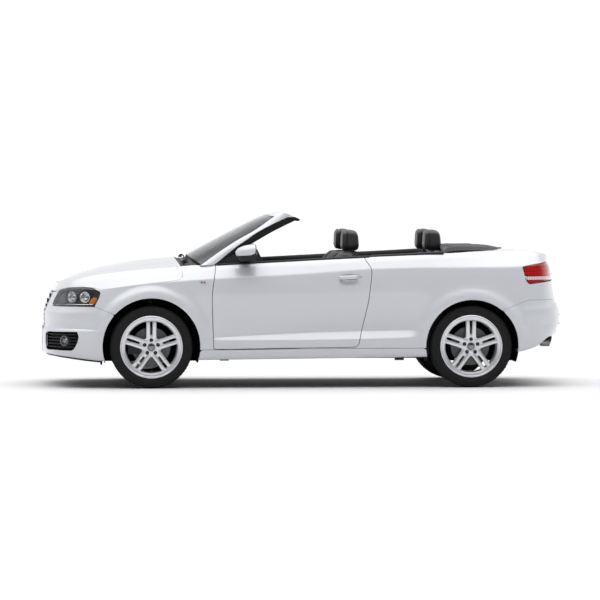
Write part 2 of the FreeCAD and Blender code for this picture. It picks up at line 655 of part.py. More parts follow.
FLOOR_TOP = "(sizes.floor_low + sizes.floor_wall)"
floor_pieces = [
    block("floor_plate", BULKHEAD_BACK, RISER, "-sizes.floor_half", "sizes.floor_half",
          "sizes.floor_low", FLOOR_TOP),
    block("tunnel_outer", BULKHEAD_BACK, RISER, "-sizes.tunnel_half", "sizes.tunnel_half",
          "sizes.floor_low", "sizes.tunnel_top"),
    block("riser", RISER, f"{RISER} + sizes.floor_wall", f"-{REAR_FACE}", REAR_FACE,
          "sizes.floor_low", "sizes.boot_floor"),
    block("boot_plate", RISER, "-(" + NOSE + ") - sizes.rear_bumper_out - 60", f"-{REAR_FACE}", REAR_FACE,
          "sizes.boot_floor", "sizes.boot_floor + sizes.floor_wall"),
    block("cross_front", f"{NOSE} + 100", f"{NOSE} + 150", f"-{LINER_FACE}", LINER_FACE,
          "sizes.rail_low", "sizes.rail_low + sizes.rail_height"),
]
for side, sign in SIDES.items():
    inner_y, outer_y = f"({LINER_FACE} - sizes.rail_width)", LINER_FACE
    low_y, high_y = (inner_y, outer_y) if sign > 0 else (f"-{outer_y}", f"-{inner_y}")
    floor_pieces.append(block(f"rail_{side}", f"{NOSE} + 150", f"{FRONT_AXLE} + sizes.bulkhead_x",
                              low_y, high_y, "sizes.rail_low", "sizes.rail_low + sizes.rail_height"))
    floor_pieces.append(block(f"tower_{side}", f"{FRONT_AXLE} - 80", f"{FRONT_AXLE} + 80",
                              low_y, high_y, "sizes.rail_low", "sizes.kingpin_low_z + sizes.kingpin_height"))
    pad_y = "sizes.floor_half - sizes.jack_pad" if sign > 0 else "-sizes.floor_half"
    for end, axle, step in (("front", FRONT_AXLE, "560"), ("rear", REAR_AXLE, "-600")):
        pad_x = f"{axle} + {step}"
        floor_pieces.append(block(f"pad_{end}_{side}", pad_x, f"{pad_x} + sizes.jack_pad",
                                  pad_y, f"{pad_y} + sizes.jack_pad", "sizes.jack_pad_low", "sizes.floor_low"))


# The kingpin axes, and the holes round them.
KING_HEIGHT = size("kingpin_height")


def kingpin(side, share):
    """A point on a kingpin axis, from its foot at 0 to its head at 1."""
    return Vector(front_axle, side * (size("kingpin_low_y") - size("kingpin_lean") * share),
                  size("kingpin_low_z") + KING_HEIGHT * share)


def on_kingpin(side, start, end, radius):
    """A round bar on a kingpin axis between two shares of its height."""
    return rod(tuple(kingpin(side, start)), tuple(kingpin(side, end)), radius)


stud, stud_hole = size("stud_radius"), size("stud_radius") + size("clearance")
tower_tops = []
for side, sign in SIDES.items():
    head = kingpin(sign, 1.0)
    y0, y1 = sorted((sign * (size("liner_front_inner") - size("liner_wall")), head.y + sign * 70))
    plate = slab(front_axle - 80, front_axle + 80, y0, y1, head.z - 24, head.z)
    tower_tops.append(tool(f"tower_top_{side}", plate))
platform_raw = fuse("platform_raw", *floor_pieces, *tower_tops)
tunnel_void = block("tunnel_void", f"{BULKHEAD_BACK} - 5", f"{RISER} + sizes.floor_wall + 5",
                    "-(sizes.tunnel_half - 12)", "sizes.tunnel_half - 12", "sizes.floor_low - 5",
                    "sizes.tunnel_top - 12")
holes = arches.fuse([on_kingpin(sign, 0.9, 1.1, stud_hole) for sign in (LEFT, RIGHT)])
platform_holes = tool("platform_holes", holes)
keep("platform", cut("platform_cut", cut("platform_tunnelled", platform_raw, tunnel_void), platform_holes))
DASH_HALF = "(sizes.body_width / 2 - sizes.door_wall - 22 - sizes.door_clearance)"
bulkhead_plate = block("bulkhead_plate", f"{FRONT_AXLE} + sizes.bulkhead_x", BULKHEAD_BACK, f"-{DASH_HALF}",
                       DASH_HALF, "sizes.floor_low", "sizes.bulkhead_top")
keep("bulkhead", cut("bulkhead_cut", bulkhead_plate, platform_holes))
keep_shape("arch_liners", Part.makeCompound(
    [solid for shape in (liner_front, liner_rear) for piece in (shape, mirrored(shape))
     for solid in solids(piece.cut(both_sides(on_kingpin(RIGHT, 0.55, 1.0, 78)))).Solids]))

# ------------------------------------------------------------------------------------------- machinery
ENGINE_X = f"{NOSE} + sizes.engine_behind_nose"
engine = block("engine", ENGINE_X, f"{ENGINE_X} + sizes.engine_length", "-sizes.engine_width / 2",
               "sizes.engine_width / 2", "sizes.engine_low", "sizes.engine_low + sizes.engine_height")
RAIL_INNER = f"({LINER_FACE} - sizes.rail_width)"
mount = block("engine_mounts", f"{ENGINE_X} + 200", f"{ENGINE_X} + 300", f"-{RAIL_INNER}", RAIL_INNER,
              "sizes.rail_low + 10", "sizes.rail_low + sizes.rail_height - 10")
keep("engine_block", fuse("engine_and_mounts", engine, mount))

arm_top = size("kingpin_low_z") - 6
arms = [slab(front_axle - 120, front_axle + size("bulkhead_x"), -380, 380, 240, 296)]
for sign in (LEFT, RIGHT):
    y0, y1 = sorted((sign * 300, sign * (size("kingpin_low_y") + 26)))
    arms.append(slab(front_axle - 35, front_axle + 35, y0, y1, arm_top - 26, arm_top))
    y0, y1 = sorted((sign * 300, sign * 380))
    arms.append(slab(front_axle - 60, front_axle + 60, y0, y1, arm_top - 26, 250))
rack = rod((front_axle + 140, -440, 330), (front_axle + 140, 440, 330), 22)
rack_feet = [slab(front_axle + 120, front_axle + 160, y - 20, y + 20, 290, 330) for y in (-300, 300)]
front_suspension = arms[0].fuse(arms[1:] + [rack] + rack_feet).cut(
    both_sides(on_kingpin(RIGHT, -0.1, 0.05, stud_hole)))
keep_shape("front_suspension", solids(front_suspension.removeSplitter()))

wheel_z = axle_height()


def axle_rod(axle_x, side, y0, y1, radius):
    """A round bar along an axle, from y0 to y1 out from the centre plane."""
    return rod((axle_x, side * y0, wheel_z), (axle_x, side * y1, wheel_z), radius)


def knuckle(side):
    """A front upright with its spindle, caliper, steering arm and spring strut, all on the kingpin axis."""
    face = size("track_front") / 2 - size("disc_inset")
    thick = size("disc_wall")

    def part_slab(x0, x1, y0, y1, z0, z1):
        """A block given by its distances out from the centre plane."""
        low, high = sorted((side * y0, side * y1))
        return slab(front_axle + x0, front_axle + x1, low, high, z0, z1)

    caliper = part_slab(-186, -96, face - 34, face + thick + 30, wheel_z - 58, wheel_z + 58).cut(
        axle_rod(front_axle, side, face - 6, face + thick + 6, size("disc_radius") + 8))
    bracket = part_slab(-150, 0, face - 46, face - 12, wheel_z - 30, wheel_z + 30)
    arm = part_slab(0, 110, 640, 676, wheel_z - 30, wheel_z - 6)
    upright = part_slab(-38, 38, 640, face - 12, wheel_z - 90, wheel_z + 110)
    pieces = [on_kingpin(side, 0.0, 0.92, size("strut_radius")), on_kingpin(side, -0.05, 0.1, stud),
              on_kingpin(side, 0.9, 1.01, stud), on_kingpin(side, 0.78, 0.9, size("strut_spring")),
              axle_rod(front_axle, side, 650, size("track_front") / 2 + size("spindle_out"), size("spindle_radius")),
              bracket, arm, upright]
    return caliper.fuse(pieces).removeSplitter()


for side, sign in SIDES.items():
    keep_shape(f"knuckle_{side}", solids(knuckle(sign)))

rear = [slab(rear_axle - 170, rear_axle - 110, -500, 500, 300, 372)]
for sign in (LEFT, RIGHT):
    for x0, x1, y0, y1, z0, z1 in ((-186, 60, 450, 510, 305, 365), (-55, 55, 480, 690, 282, 382),
                                   (-165, -115, 340, 390, 370, size("boot_floor"))):
        y0, y1 = sorted((sign * y0, sign * y1))
        rear.append(slab(rear_axle + x0, rear_axle + x1, y0, y1, z0, z1))
    rear.append(axle_rod(rear_axle, sign, 680, size("track_rear") / 2 + size("spindle_out"), size("spindle_radius")))
keep_shape("rear_suspension", solids(rear[0].fuse(rear[1:]).removeSplitter()))

# Exhaust: a pipe in the tunnel, a silencer under the boot and two tail pipes.
pipe_z, pipe = size("floor_low") + 30, size("pipe_radius")
silencer_x = rear_axle + 286
silencer = slab(silencer_x, silencer_x + 260, -520, 60, 246, size("boot_floor"))
tips = [rod((silencer_x + 250, tip_y + offset, tip_z), (tail_face - 4, tip_y + offset, tip_z), size("tip_radius"))
        for offset in (-40, 40)]
tip_bores = [rod((silencer_x + 330, tip_y + offset, tip_z), (tail_face + 10, tip_y + offset, tip_z),
                 size("tip_radius") - 4) for offset in (-40, 40)]
exhaust = rod((front_axle + 360, 0, pipe_z), (silencer_x + 10, 0, pipe_z), pipe).fuse([silencer] + tips).cut(
    tip_bores[0].fuse(tip_bores[1]))
keep_shape("exhaust", solids(exhaust))

# ---------------------------------------------------------------------------------------------- cabin
dash_x = front_axle + size("dash_rear")
dash_outline = [(front_axle + size("bulkhead_x") + size("bulkhead_wall"), 640), (dash_x - 170, 640),
                (dash_x - 50, 740), (dash_x, 870), (dash_x - 40, 950), (dash_x - 120, 980),
                (dash_x - 330, 986), (front_axle + size("bulkhead_x") + size("bulkhead_wall"), 900)]
rake = math.radians(size("steer_rake"))
along = Vector(math.cos(rake), 0, math.sin(rake))
wheel_at = Vector(front_axle + size("steer_x"), -size("seat_y"), size("steer_z"))
column = rod(tuple(wheel_at - along * 260), tuple(wheel_at - along * 62), 34).fuse(
    rod(tuple(wheel_at - along * 70), tuple(wheel_at - along * 20), stud))
dashboard = prism(dash_outline, "xz", -dash_half, dash_half).cut(frame).cut(scuttle).fuse(column)
keep_shape("dashboard", solids(dashboard))

console_front, console_rear = dash_x - 200, dash_x - 200 + size("console_length")
console = prism([(console_front, size("floor_low") + size("floor_wall") + 2), (console_rear, 410),
                 (console_rear, size("console_top")), (dash_x + 360, size("console_top")),
                 (dash_x + 300, size("console_top") - 60), (dash_x - 100, size("console_top") - 40),
                 (console_front, 640)], "xz", -size("console_half"), size("console_half"))
tunnel_block = slab(-1000, 1200, -size("tunnel_half"), size("tunnel_half"), 0, size("tunnel_top"))
keep_shape("centre_console", solids(console.cut(tunnel_block)))

seat_back = front_axle + size("seat_x")
floor_top = size("floor_low") + size("floor_wall")


def seat(centre_y, width, cushion, rest, rest_width):
    """A seat from its side outlines, across its own width."""
    body = prism(cushion, "xz", centre_y - width / 2, centre_y + width / 2)
    return body.fuse(prism(rest, "xz", centre_y - rest_width / 2, centre_y + rest_width / 2))


seat_outline = [(seat_back - 150, 290), (seat_back + 360, 290), (seat_back + 380, 470), (seat_back + 540, 1060),
                (seat_back + 520, 1088), (seat_back + 430, 1088), (seat_back + 330, 900), (seat_back + 270, 545),
                (seat_back - 130, 560), (seat_back - 170, 500)]
rest_outline = [(seat_back + 460, 1080), (seat_back + 510, 1080), (seat_back + 590, 1120), (seat_back + 592, 1240),
                (seat_back + 570, 1265), (seat_back + 500, 1265), (seat_back + 462, 1225), (seat_back + 449, 1120)]
front_seat = seat(size("seat_y"), size("seat_width"), seat_outline, rest_outline, size("headrest_width"))
rails = [slab(seat_back - 120, seat_back + 340, y - 20, y + 20, floor_top, 300)
         for y in (size("seat_y") - 170, size("seat_y") + 170)]
front_seat = front_seat.fuse(rails)
keep_shape("front_seats", both_sides(solids(front_seat)))

bench_x = rear_axle - size("bench_x")
bench_low = size("tunnel_top")
bench_outline = [(bench_x, bench_low), (rear_axle - 216, bench_low), (rear_axle - 216, 560), (rear_axle - 234, 1050),
                 (rear_axle - 262, 1072), (rear_axle - 330, 1066), (rear_axle - 400, 560), (bench_x + 20, 580),
                 (bench_x - 10, 540)]
bench = prism(bench_outline, "xz", -size("bench_half"), size("bench_half"))
rear_rest = [(rear_axle - 320, 1060), (rear_axle - 270, 1060), (rear_axle - 242, 1130), (rear_axle - 250, 1240),
             (rear_axle - 290, 1262), (rear_axle - 350, 1250), (rear_axle - 369, 1190), (rear_axle - 360, 1120)]
rests = [prism(rear_rest, "xz", y - 115, y + 115) for y in (-size("rear_rest_y"), size("rear_rest_y"))]
keep_shape("rear_seat", solids(bench.fuse(rests)))

# The folded roof fills the opening behind the rear seat, crowned above the deck.
stack_front = stack_rear - size("roof_stack_length") - 40
stack_low = size("roof_stack_low")
stack_side = [(stack_front, stack_low), (stack_rear + 10, stack_low), (stack_rear + 10, 1096),
              (stack_rear - 60, 1118), (stack_rear - 170, 1134), (stack_rear - 340, 1142),
              (stack_front + 60, 1140), (stack_front, 1112)]
stack_front_view = [(-720, stack_low - 10), (720, stack_low - 10), (720, 1070), (0, 1146, "arc"), (-720, 1070)]
stack = opening.common(prism(stack_side, "xz", -WIDE, WIDE)).common(
    prism(stack_front_view, "yz", 1000, 1800))
well = slab(rear_axle + 40, rear_axle + 100, -300, 300, size("boot_floor") + size("floor_wall"), stack_low)
keep_shape("folded_roof", solids(stack.fuse(well)))

# Steering wheel, wipers and mirrors.
grip = Part.makeTorus(size("steer_radius"), size("steer_grip"), wheel_at, along)
spokes = [rod(tuple(wheel_at - along * 16), tuple(wheel_at + arm_end), 12)
          for arm_end in (Vector(0, size("steer_radius"), 0), Vector(0, -size("steer_radius"), 0),
                          Vector(math.sin(rake), 0, -math.cos(rake)) * size("steer_radius"))]
hub = rod(tuple(wheel_at - along * 50), tuple(wheel_at + along * 4), 48)
steering_wheel = grip.fuse([hub] + spokes).cut(
    rod(tuple(wheel_at - along * 60), tuple(wheel_at - along * 12), stud_hole))
keep_shape("steering_wheel", solids(steering_wheel))

wiper = size("wiper_width") / 2
wipers = [rod((foot_x - 60, -560, foot_z - 34), (foot_x - 34, -20, foot_z + 14), wiper).fuse(
              rod((foot_x - 60, -556, foot_z - 70), (foot_x - 60, -556, foot_z - 30), wiper + 3)),
          rod((foot_x - 62, 60, foot_z + 10), (foot_x - 30, 560, foot_z - 24), wiper).fuse(
              rod((foot_x - 62, 66, foot_z - 30), (foot_x - 62, 66, foot_z + 12), wiper + 3))]
keep_shape("wipers", Part.makeCompound([solids(arm.cut(scuttle).cut(frame)) for arm in wipers]))

mirror_x0 = front_axle + size("mirror_x")
mirror_z0, mirror_z1 = size("mirror_z") + rise, size("mirror_z") + rise + size("mirror_height")
mirror_y1 = size("mirror_out")
mirror_y0 = mirror_y1 - size("mirror_width")
sail_zone = [(door_front + 36, 960 + rise), (door_front + 430, 990 + rise),
             (door_front + 336, mirror_z1 + 2)]
sail_y, sail_wall = half_width - size("door_wall"), 22
sail = prism(sail_zone, "xz", sail_y, sail_y + sail_wall)
door_right = solids(door_right.fuse(sail))
shell_mirror = Part.makeLoft([
    wire([(mirror_y0, mirror_z0 + 8), (mirror_y1 - 30, mirror_z0 + 18), (mirror_y1 - 22, mirror_z1 - 18),
          (mirror_y0 + 10, mirror_z1 - 12)], mirror_x0, "yz"),
    wire([(mirror_y0 - 8, mirror_z0), (mirror_y1 - 8, mirror_z0 + 4), (mirror_y1, mirror_z1 - 10),
          (mirror_y0, mirror_z1)], mirror_x0 + 80, "yz"),
    wire([(mirror_y0 - 8, mirror_z0), (mirror_y1 - 12, mirror_z0 + 4), (mirror_y1 - 4, mirror_z1 - 10),
          (mirror_y0, mirror_z1)], mirror_x0 + size("mirror_depth"), "yz")], True, True)
mirror_arm = slab(mirror_x0 + 50, mirror_x0 + 130, sail_y + sail_wall, mirror_y0 + 20,
                  mirror_z0 + 4, mirror_z0 + 34)
keep_pair("mirror", solids(shell_mirror.fuse(mirror_arm).cut(door_right)))
keep_pair("door", door_right)


# ---------------------------------------------------------------------------------------------- wheels
def plane(body, role):
    """One of a body's own origin planes."""
    return next(feature for feature in body.Origin.OriginFeatures if feature.Role == role)


def sketch_on(body, role, name):
    """An empty sketch on an origin plane of a body."""
    sketch = body.newObject("Sketcher::SketchObject", name)
    sketch.AttachmentSupport = [(plane(body, role), "")]
    sketch.MapMode = "FlatFace"
    return sketch


def worked_out(expression):
    """The value of a sum of sizes, worked out in a scratch cell of the sheet."""
    SHEET.set("F1", "=" + expression.replace("sizes.", ""))
    SHEET.recompute()
    return float(SHEET.get("F1"))


def polygon(sketch, corners):
    """Draws a closed polygon whose corners are pairs of expressions, fixed to the sheet."""
    values = [(worked_out(a), worked_out(b)) for a, b in corners]
    count = len(values)
    first = sketch.GeometryCount
    for at in range(count):
        start, end = values[at], values[(at + 1) % count]
        sketch.addGeometry(Part.LineSegment(Vector(*start, 0), Vector(*end, 0)), False)
    for at in range(count):
        sketch.addConstraint(Sketcher.Constraint("Coincident", first + at, 2, first + (at + 1) % count, 1))
    for at, ((a, b), (va, vb)) in enumerate(zip(corners, values)):
        for kind, expression, value in (("DistanceX", a, va), ("DistanceY", b, vb)):
            ends = (-1, 1, first + at, 1) if value >= 0 else (first + at, 1, -1, 1)
            index = sketch.addConstraint(Sketcher.Constraint(kind, *ends, abs(value)))
            sketch.setExpression(f"Constraints[{index}]", expression if value >= 0 else f"-({expression})")


def turned(body, name, corners):
    """A profile in the YZ plane, as (out, radius) pairs of expressions, revolved about the axle."""
    sketch = sketch_on(body, "YZ_Plane", name + "_profile")
    polygon(sketch, corners)
    feature = body.newObject("PartDesign::Revolution", name)
    feature.Profile = sketch
    feature.ReferenceAxis = (sketch, ["H_Axis"])
    feature.Angle = 360
    return feature


def place_wheel(body, axle, track, side):
    """Puts a wheel's piece on its axle, with its outer side away from the car."""
    half_turn = Rotation(Vector(0, 0, 1), 180 if side < 0 else 0)
    body.Placement = Placement(Vector(0, 0, 0), half_turn)
    return bind(body, Placement__Base__x=axle, Placement__Base__y=f"{side} * sizes.{track} / 2",
                Placement__Base__z="sizes.tyre_radius")


def make_tyre(name):
    """A tyre: six straight runs round its section."""
    body = DOC.addObject("PartDesign::Body", name + "_body")
    bead_half = "(sizes.rim_width / 2 - sizes.rim_wall - sizes.clearance)"
    right = [(bead_half, "sizes.tyre_bead"), (bead_half, "sizes.rim_flange + 2"),
             ("sizes.tyre_width / 2", "sizes.rim_flange + 34"),
             ("sizes.tyre_width / 2 - 10", "sizes.tyre_radius - 12"),
             ("sizes.tyre_width / 2 - 34", "sizes.tyre_radius")]
    left = [(f"-({out})", radius) for out, radius in reversed(right)]
    turned(body, name + "_ring", right + left)
    return body


class Wheel:
    """The three turning pieces of one wheel."""

    def __init__(self, end, side_name):
        self.name = f"{end}_{side_name}"
        self.axle = FRONT_AXLE if end == "front" else REAR_AXLE
        self.track = f"track_{end}"
        self.side = SIDES[side_name]

    def put(self, label, body):
        """Places a body on this wheel's axle and keeps it."""
        keep(f"{label}_{self.name}", place_wheel(body, self.axle, self.track, self.side))


def spoke_angles():
    """The angle of each double spoke from straight up."""
    count = int(size("spoke_count"))
    return [360.0 * number / count for number in range(count)]


def rim_objects(name):
    """A rim from Part primitives and patterns turned about the axle."""
    half, wall = size("rim_width") / 2, size("rim_wall")
    bead, flange_r = size("tyre_bead") - near, size("rim_flange")
    face = half - size("wheel_inset")

    def turned_solid(corners):
        """A solid of revolution about the axle from (out, radius) pairs."""
        outline = Part.Face(Part.makePolygon([Vector(0, out, radius) for out, radius in corners + corners[:1]]))
        return outline.revolve(Vector(0, 0, 0), Vector(0, 1, 0), 360)

    barrel = turned_solid([(-half, bead - wall), (half, bead - wall), (half, flange_r), (half - wall, flange_r),
                           (half - wall, bead), (-half + wall, bead), (-half + wall, flange_r), (-half, flange_r)])
    back = face - size("spoke_depth") - 14
    hub_r = size("hub_radius")
    centre = turned_solid([(back, size("hub_bore")), (face - 6, size("hub_bore")), (face - 6, hub_r - 26),
                           (face, hub_r - 12), (face - 4, hub_r), (back, hub_r)])
    slot, width = size("spoke_slot") / 2, size("spoke_width")
    bars = []
    for sign in (-1, 1):
        x0, x1 = sorted((sign * slot, sign * (slot + width)))
        bars.append(slab(x0, x1, face - size("spoke_depth"), face, hub_r - 24, bead - wall + 5))
    spokes_all = []
    for angle in spoke_angles():
        for bar in bars:
            turned_bar = bar.copy()
            turned_bar.rotate(Vector(0, 0, 0), Vector(0, 1, 0), angle)
            spokes_all.append(turned_bar)
    recesses = []
    for angle in spoke_angles():
        recess = rod((0, face - 14, size("lug_circle")), (0, face + 20, size("lug_circle")), size("lug_radius"))
        recess.rotate(Vector(0, 0, 0), Vector(0, 1, 0), angle)
        recesses.append(recess)
    return barrel.fuse([centre] + spokes_all).cut(recesses[0].fuse(recesses[1:])).removeSplitter()


rim_shape = solids(rim_objects("rim"))
for end in ("front", "rear"):
    for side in SIDES:
        wheel = Wheel(end, side)
        wheel.put("tyre", make_tyre(f"tyre_{wheel.name}"))
        rim_feature = DOC.addObject("Part::Feature", f"rim_{wheel.name}_shape")
        rim_feature.Shape = rim_shape
        wheel.put("rim", rim_feature)
        disc = DOC.addObject("PartDesign::Body", f"disc_{wheel.name}_body")
        disc_face = "(-sizes.disc_inset)"
        hat = "(sizes.rim_width / 2 - sizes.wheel_inset - sizes.spoke_depth - 14 - sizes.clearance)"
        turned(disc, f"disc_{wheel.name}_ring",
               [(disc_face, "sizes.hub_bore + 30"), (disc_face, "sizes.disc_radius"),
                (f"{disc_face} + sizes.disc_wall", "sizes.disc_radius"),
                (f"{disc_face} + sizes.disc_wall", "sizes.disc_hat"), (hat, "sizes.disc_hat"),
                (hat, "sizes.hub_bore"), (f"{hat} - 8", "sizes.hub_bore"), (f"{hat} - 8", "sizes.hub_bore + 30")])
        wheel.put("brake_disc", disc)

# ----------------------------------------------------------------------------------- checks and export
DOC.recompute()
for thing in DOC.Objects:
    if any(state in thing.State for state in ("Invalid", "Error")):
        raise RuntimeError(f"{thing.Name} did not compute: {thing.State}")
for label, thing in PARTS.items():
    if thing.Shape.isNull() or not thing.Shape.isValid():
        raise RuntimeError(f"{label} has no valid shape")

os.makedirs("parts", exist_ok=True)
for label, thing in sorted(PARTS.items()):
    thing.Shape.exportStep(f"parts/{label}.step")
print(len(PARTS), "sub-parts")
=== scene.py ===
"""Dresses a two-door, four-seat convertible car with its fabric roof folded.

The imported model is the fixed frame. Every measure here is in millimetres, in the car's own axes: +X to the
rear, +Y to the car's right and +Z up, with the origin on the ground halfway between the bumpers. Meshes are
turned into metres when they are made. The painted body is one smooth master surface, from which the panels
are trimmed.
"""

import json
import logging
import math
from dataclasses import dataclass, field
from enum import Enum
from typing import Any, Callable, Iterable, Sequence

import bmesh
import bpy
import numpy as np
from mathutils import Vector
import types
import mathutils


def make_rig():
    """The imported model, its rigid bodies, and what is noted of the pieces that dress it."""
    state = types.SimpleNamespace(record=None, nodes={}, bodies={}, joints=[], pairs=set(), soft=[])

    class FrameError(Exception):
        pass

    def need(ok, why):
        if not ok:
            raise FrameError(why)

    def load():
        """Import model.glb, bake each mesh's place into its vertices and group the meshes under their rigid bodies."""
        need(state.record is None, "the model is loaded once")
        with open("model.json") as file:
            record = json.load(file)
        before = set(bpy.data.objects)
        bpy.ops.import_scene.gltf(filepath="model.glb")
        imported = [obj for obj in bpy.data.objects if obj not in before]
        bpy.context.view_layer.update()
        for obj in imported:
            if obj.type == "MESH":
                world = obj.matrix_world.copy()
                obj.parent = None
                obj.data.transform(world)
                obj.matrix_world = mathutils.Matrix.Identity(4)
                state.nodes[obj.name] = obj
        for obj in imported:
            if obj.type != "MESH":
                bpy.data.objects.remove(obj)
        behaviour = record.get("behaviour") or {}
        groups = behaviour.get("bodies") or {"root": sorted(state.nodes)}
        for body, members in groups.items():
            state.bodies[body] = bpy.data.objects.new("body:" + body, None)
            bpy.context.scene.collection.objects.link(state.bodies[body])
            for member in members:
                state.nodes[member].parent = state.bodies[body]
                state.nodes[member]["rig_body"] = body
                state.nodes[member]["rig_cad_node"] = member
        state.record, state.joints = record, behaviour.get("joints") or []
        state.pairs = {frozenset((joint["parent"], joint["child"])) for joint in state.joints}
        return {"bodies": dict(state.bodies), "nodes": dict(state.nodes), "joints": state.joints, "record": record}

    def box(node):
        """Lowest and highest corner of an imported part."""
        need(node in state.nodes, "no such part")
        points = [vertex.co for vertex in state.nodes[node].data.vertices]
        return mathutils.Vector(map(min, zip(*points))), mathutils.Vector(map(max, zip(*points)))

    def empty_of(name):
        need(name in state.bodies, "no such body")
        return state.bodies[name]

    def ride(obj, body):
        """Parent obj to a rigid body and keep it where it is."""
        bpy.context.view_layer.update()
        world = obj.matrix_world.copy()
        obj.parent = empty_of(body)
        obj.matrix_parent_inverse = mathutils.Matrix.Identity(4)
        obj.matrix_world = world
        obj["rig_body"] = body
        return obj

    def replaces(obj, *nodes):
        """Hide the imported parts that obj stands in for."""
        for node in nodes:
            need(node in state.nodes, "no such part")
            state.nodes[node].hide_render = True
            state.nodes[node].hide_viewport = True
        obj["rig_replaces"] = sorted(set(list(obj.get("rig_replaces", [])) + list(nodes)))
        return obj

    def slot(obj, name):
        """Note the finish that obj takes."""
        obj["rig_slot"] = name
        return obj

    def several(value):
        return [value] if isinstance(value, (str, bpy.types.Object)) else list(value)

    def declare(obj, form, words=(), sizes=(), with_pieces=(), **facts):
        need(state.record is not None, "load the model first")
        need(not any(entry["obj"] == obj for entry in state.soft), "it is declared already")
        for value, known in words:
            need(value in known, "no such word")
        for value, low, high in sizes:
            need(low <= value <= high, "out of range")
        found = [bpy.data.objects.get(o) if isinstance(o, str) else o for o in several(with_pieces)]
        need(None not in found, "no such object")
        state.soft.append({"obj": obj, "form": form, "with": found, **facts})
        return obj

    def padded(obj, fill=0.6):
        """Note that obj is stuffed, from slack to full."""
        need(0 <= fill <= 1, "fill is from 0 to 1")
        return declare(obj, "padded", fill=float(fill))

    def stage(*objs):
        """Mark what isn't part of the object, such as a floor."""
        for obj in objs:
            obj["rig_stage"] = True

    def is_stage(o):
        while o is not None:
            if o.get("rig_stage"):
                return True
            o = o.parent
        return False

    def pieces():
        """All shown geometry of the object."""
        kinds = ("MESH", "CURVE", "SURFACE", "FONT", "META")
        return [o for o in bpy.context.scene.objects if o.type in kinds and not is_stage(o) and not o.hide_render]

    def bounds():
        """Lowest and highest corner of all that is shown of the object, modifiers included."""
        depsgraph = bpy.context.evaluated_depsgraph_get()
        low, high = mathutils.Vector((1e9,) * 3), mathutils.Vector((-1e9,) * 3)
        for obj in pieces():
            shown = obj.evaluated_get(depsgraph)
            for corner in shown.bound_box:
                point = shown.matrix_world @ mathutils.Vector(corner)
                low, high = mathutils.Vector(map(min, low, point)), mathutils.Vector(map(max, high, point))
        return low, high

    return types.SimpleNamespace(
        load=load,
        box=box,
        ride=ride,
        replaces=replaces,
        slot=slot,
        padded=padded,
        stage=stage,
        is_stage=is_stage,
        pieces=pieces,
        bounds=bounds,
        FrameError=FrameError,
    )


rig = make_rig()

MM = 0.001
LEFT, RIGHT = -1, 1
ORIGIN = (0.0, 0.0, 0.0)
ALONG_X, ALONG_Y, ALONG_Z = (1, 0, 0), (0, 1, 0), (0, 0, 1)
SIDES = {"left": LEFT, "right": RIGHT}
LOG = logging.getLogger("convertible")

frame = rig.load()


# ------------------------------------------------------------------------------------------ shader maths
def operator(operation: str, swapped: bool = False) -> Callable[..., "Term"]:
    """A method of Term that adds one Math node.

    Args:
        operation: The node's operation.
        swapped: Whether the other value comes before the term.

    Returns:
        The method, which returns the node's result.
    """
    def method(term: "Term", other: Any = 0.0) -> "Term":
        """The result of the node on this term and another value."""
        first, second = (other, term) if swapped else (term, other)
        return term.graph.node("ShaderNodeMath", {"operation": operation}, {0: first, 1: second})

    return method


@dataclass(frozen=True, eq=False)
class Term:
    """A shader socket that takes part in arithmetic. Each operator adds a Math node."""

    graph: "Graph"
    socket: bpy.types.NodeSocket

    __add__ = __radd__ = operator("ADD")
    __sub__ = operator("SUBTRACT")
    __rsub__ = operator("SUBTRACT", swapped=True)
    __mul__ = __rmul__ = operator("MULTIPLY")
    __truediv__ = operator("DIVIDE")
    __gt__ = operator("GREATER_THAN")
    __lt__ = operator("LESS_THAN")
    sine = operator("SINE")
    size = operator("ABSOLUTE")
    part = operator("FRACT")


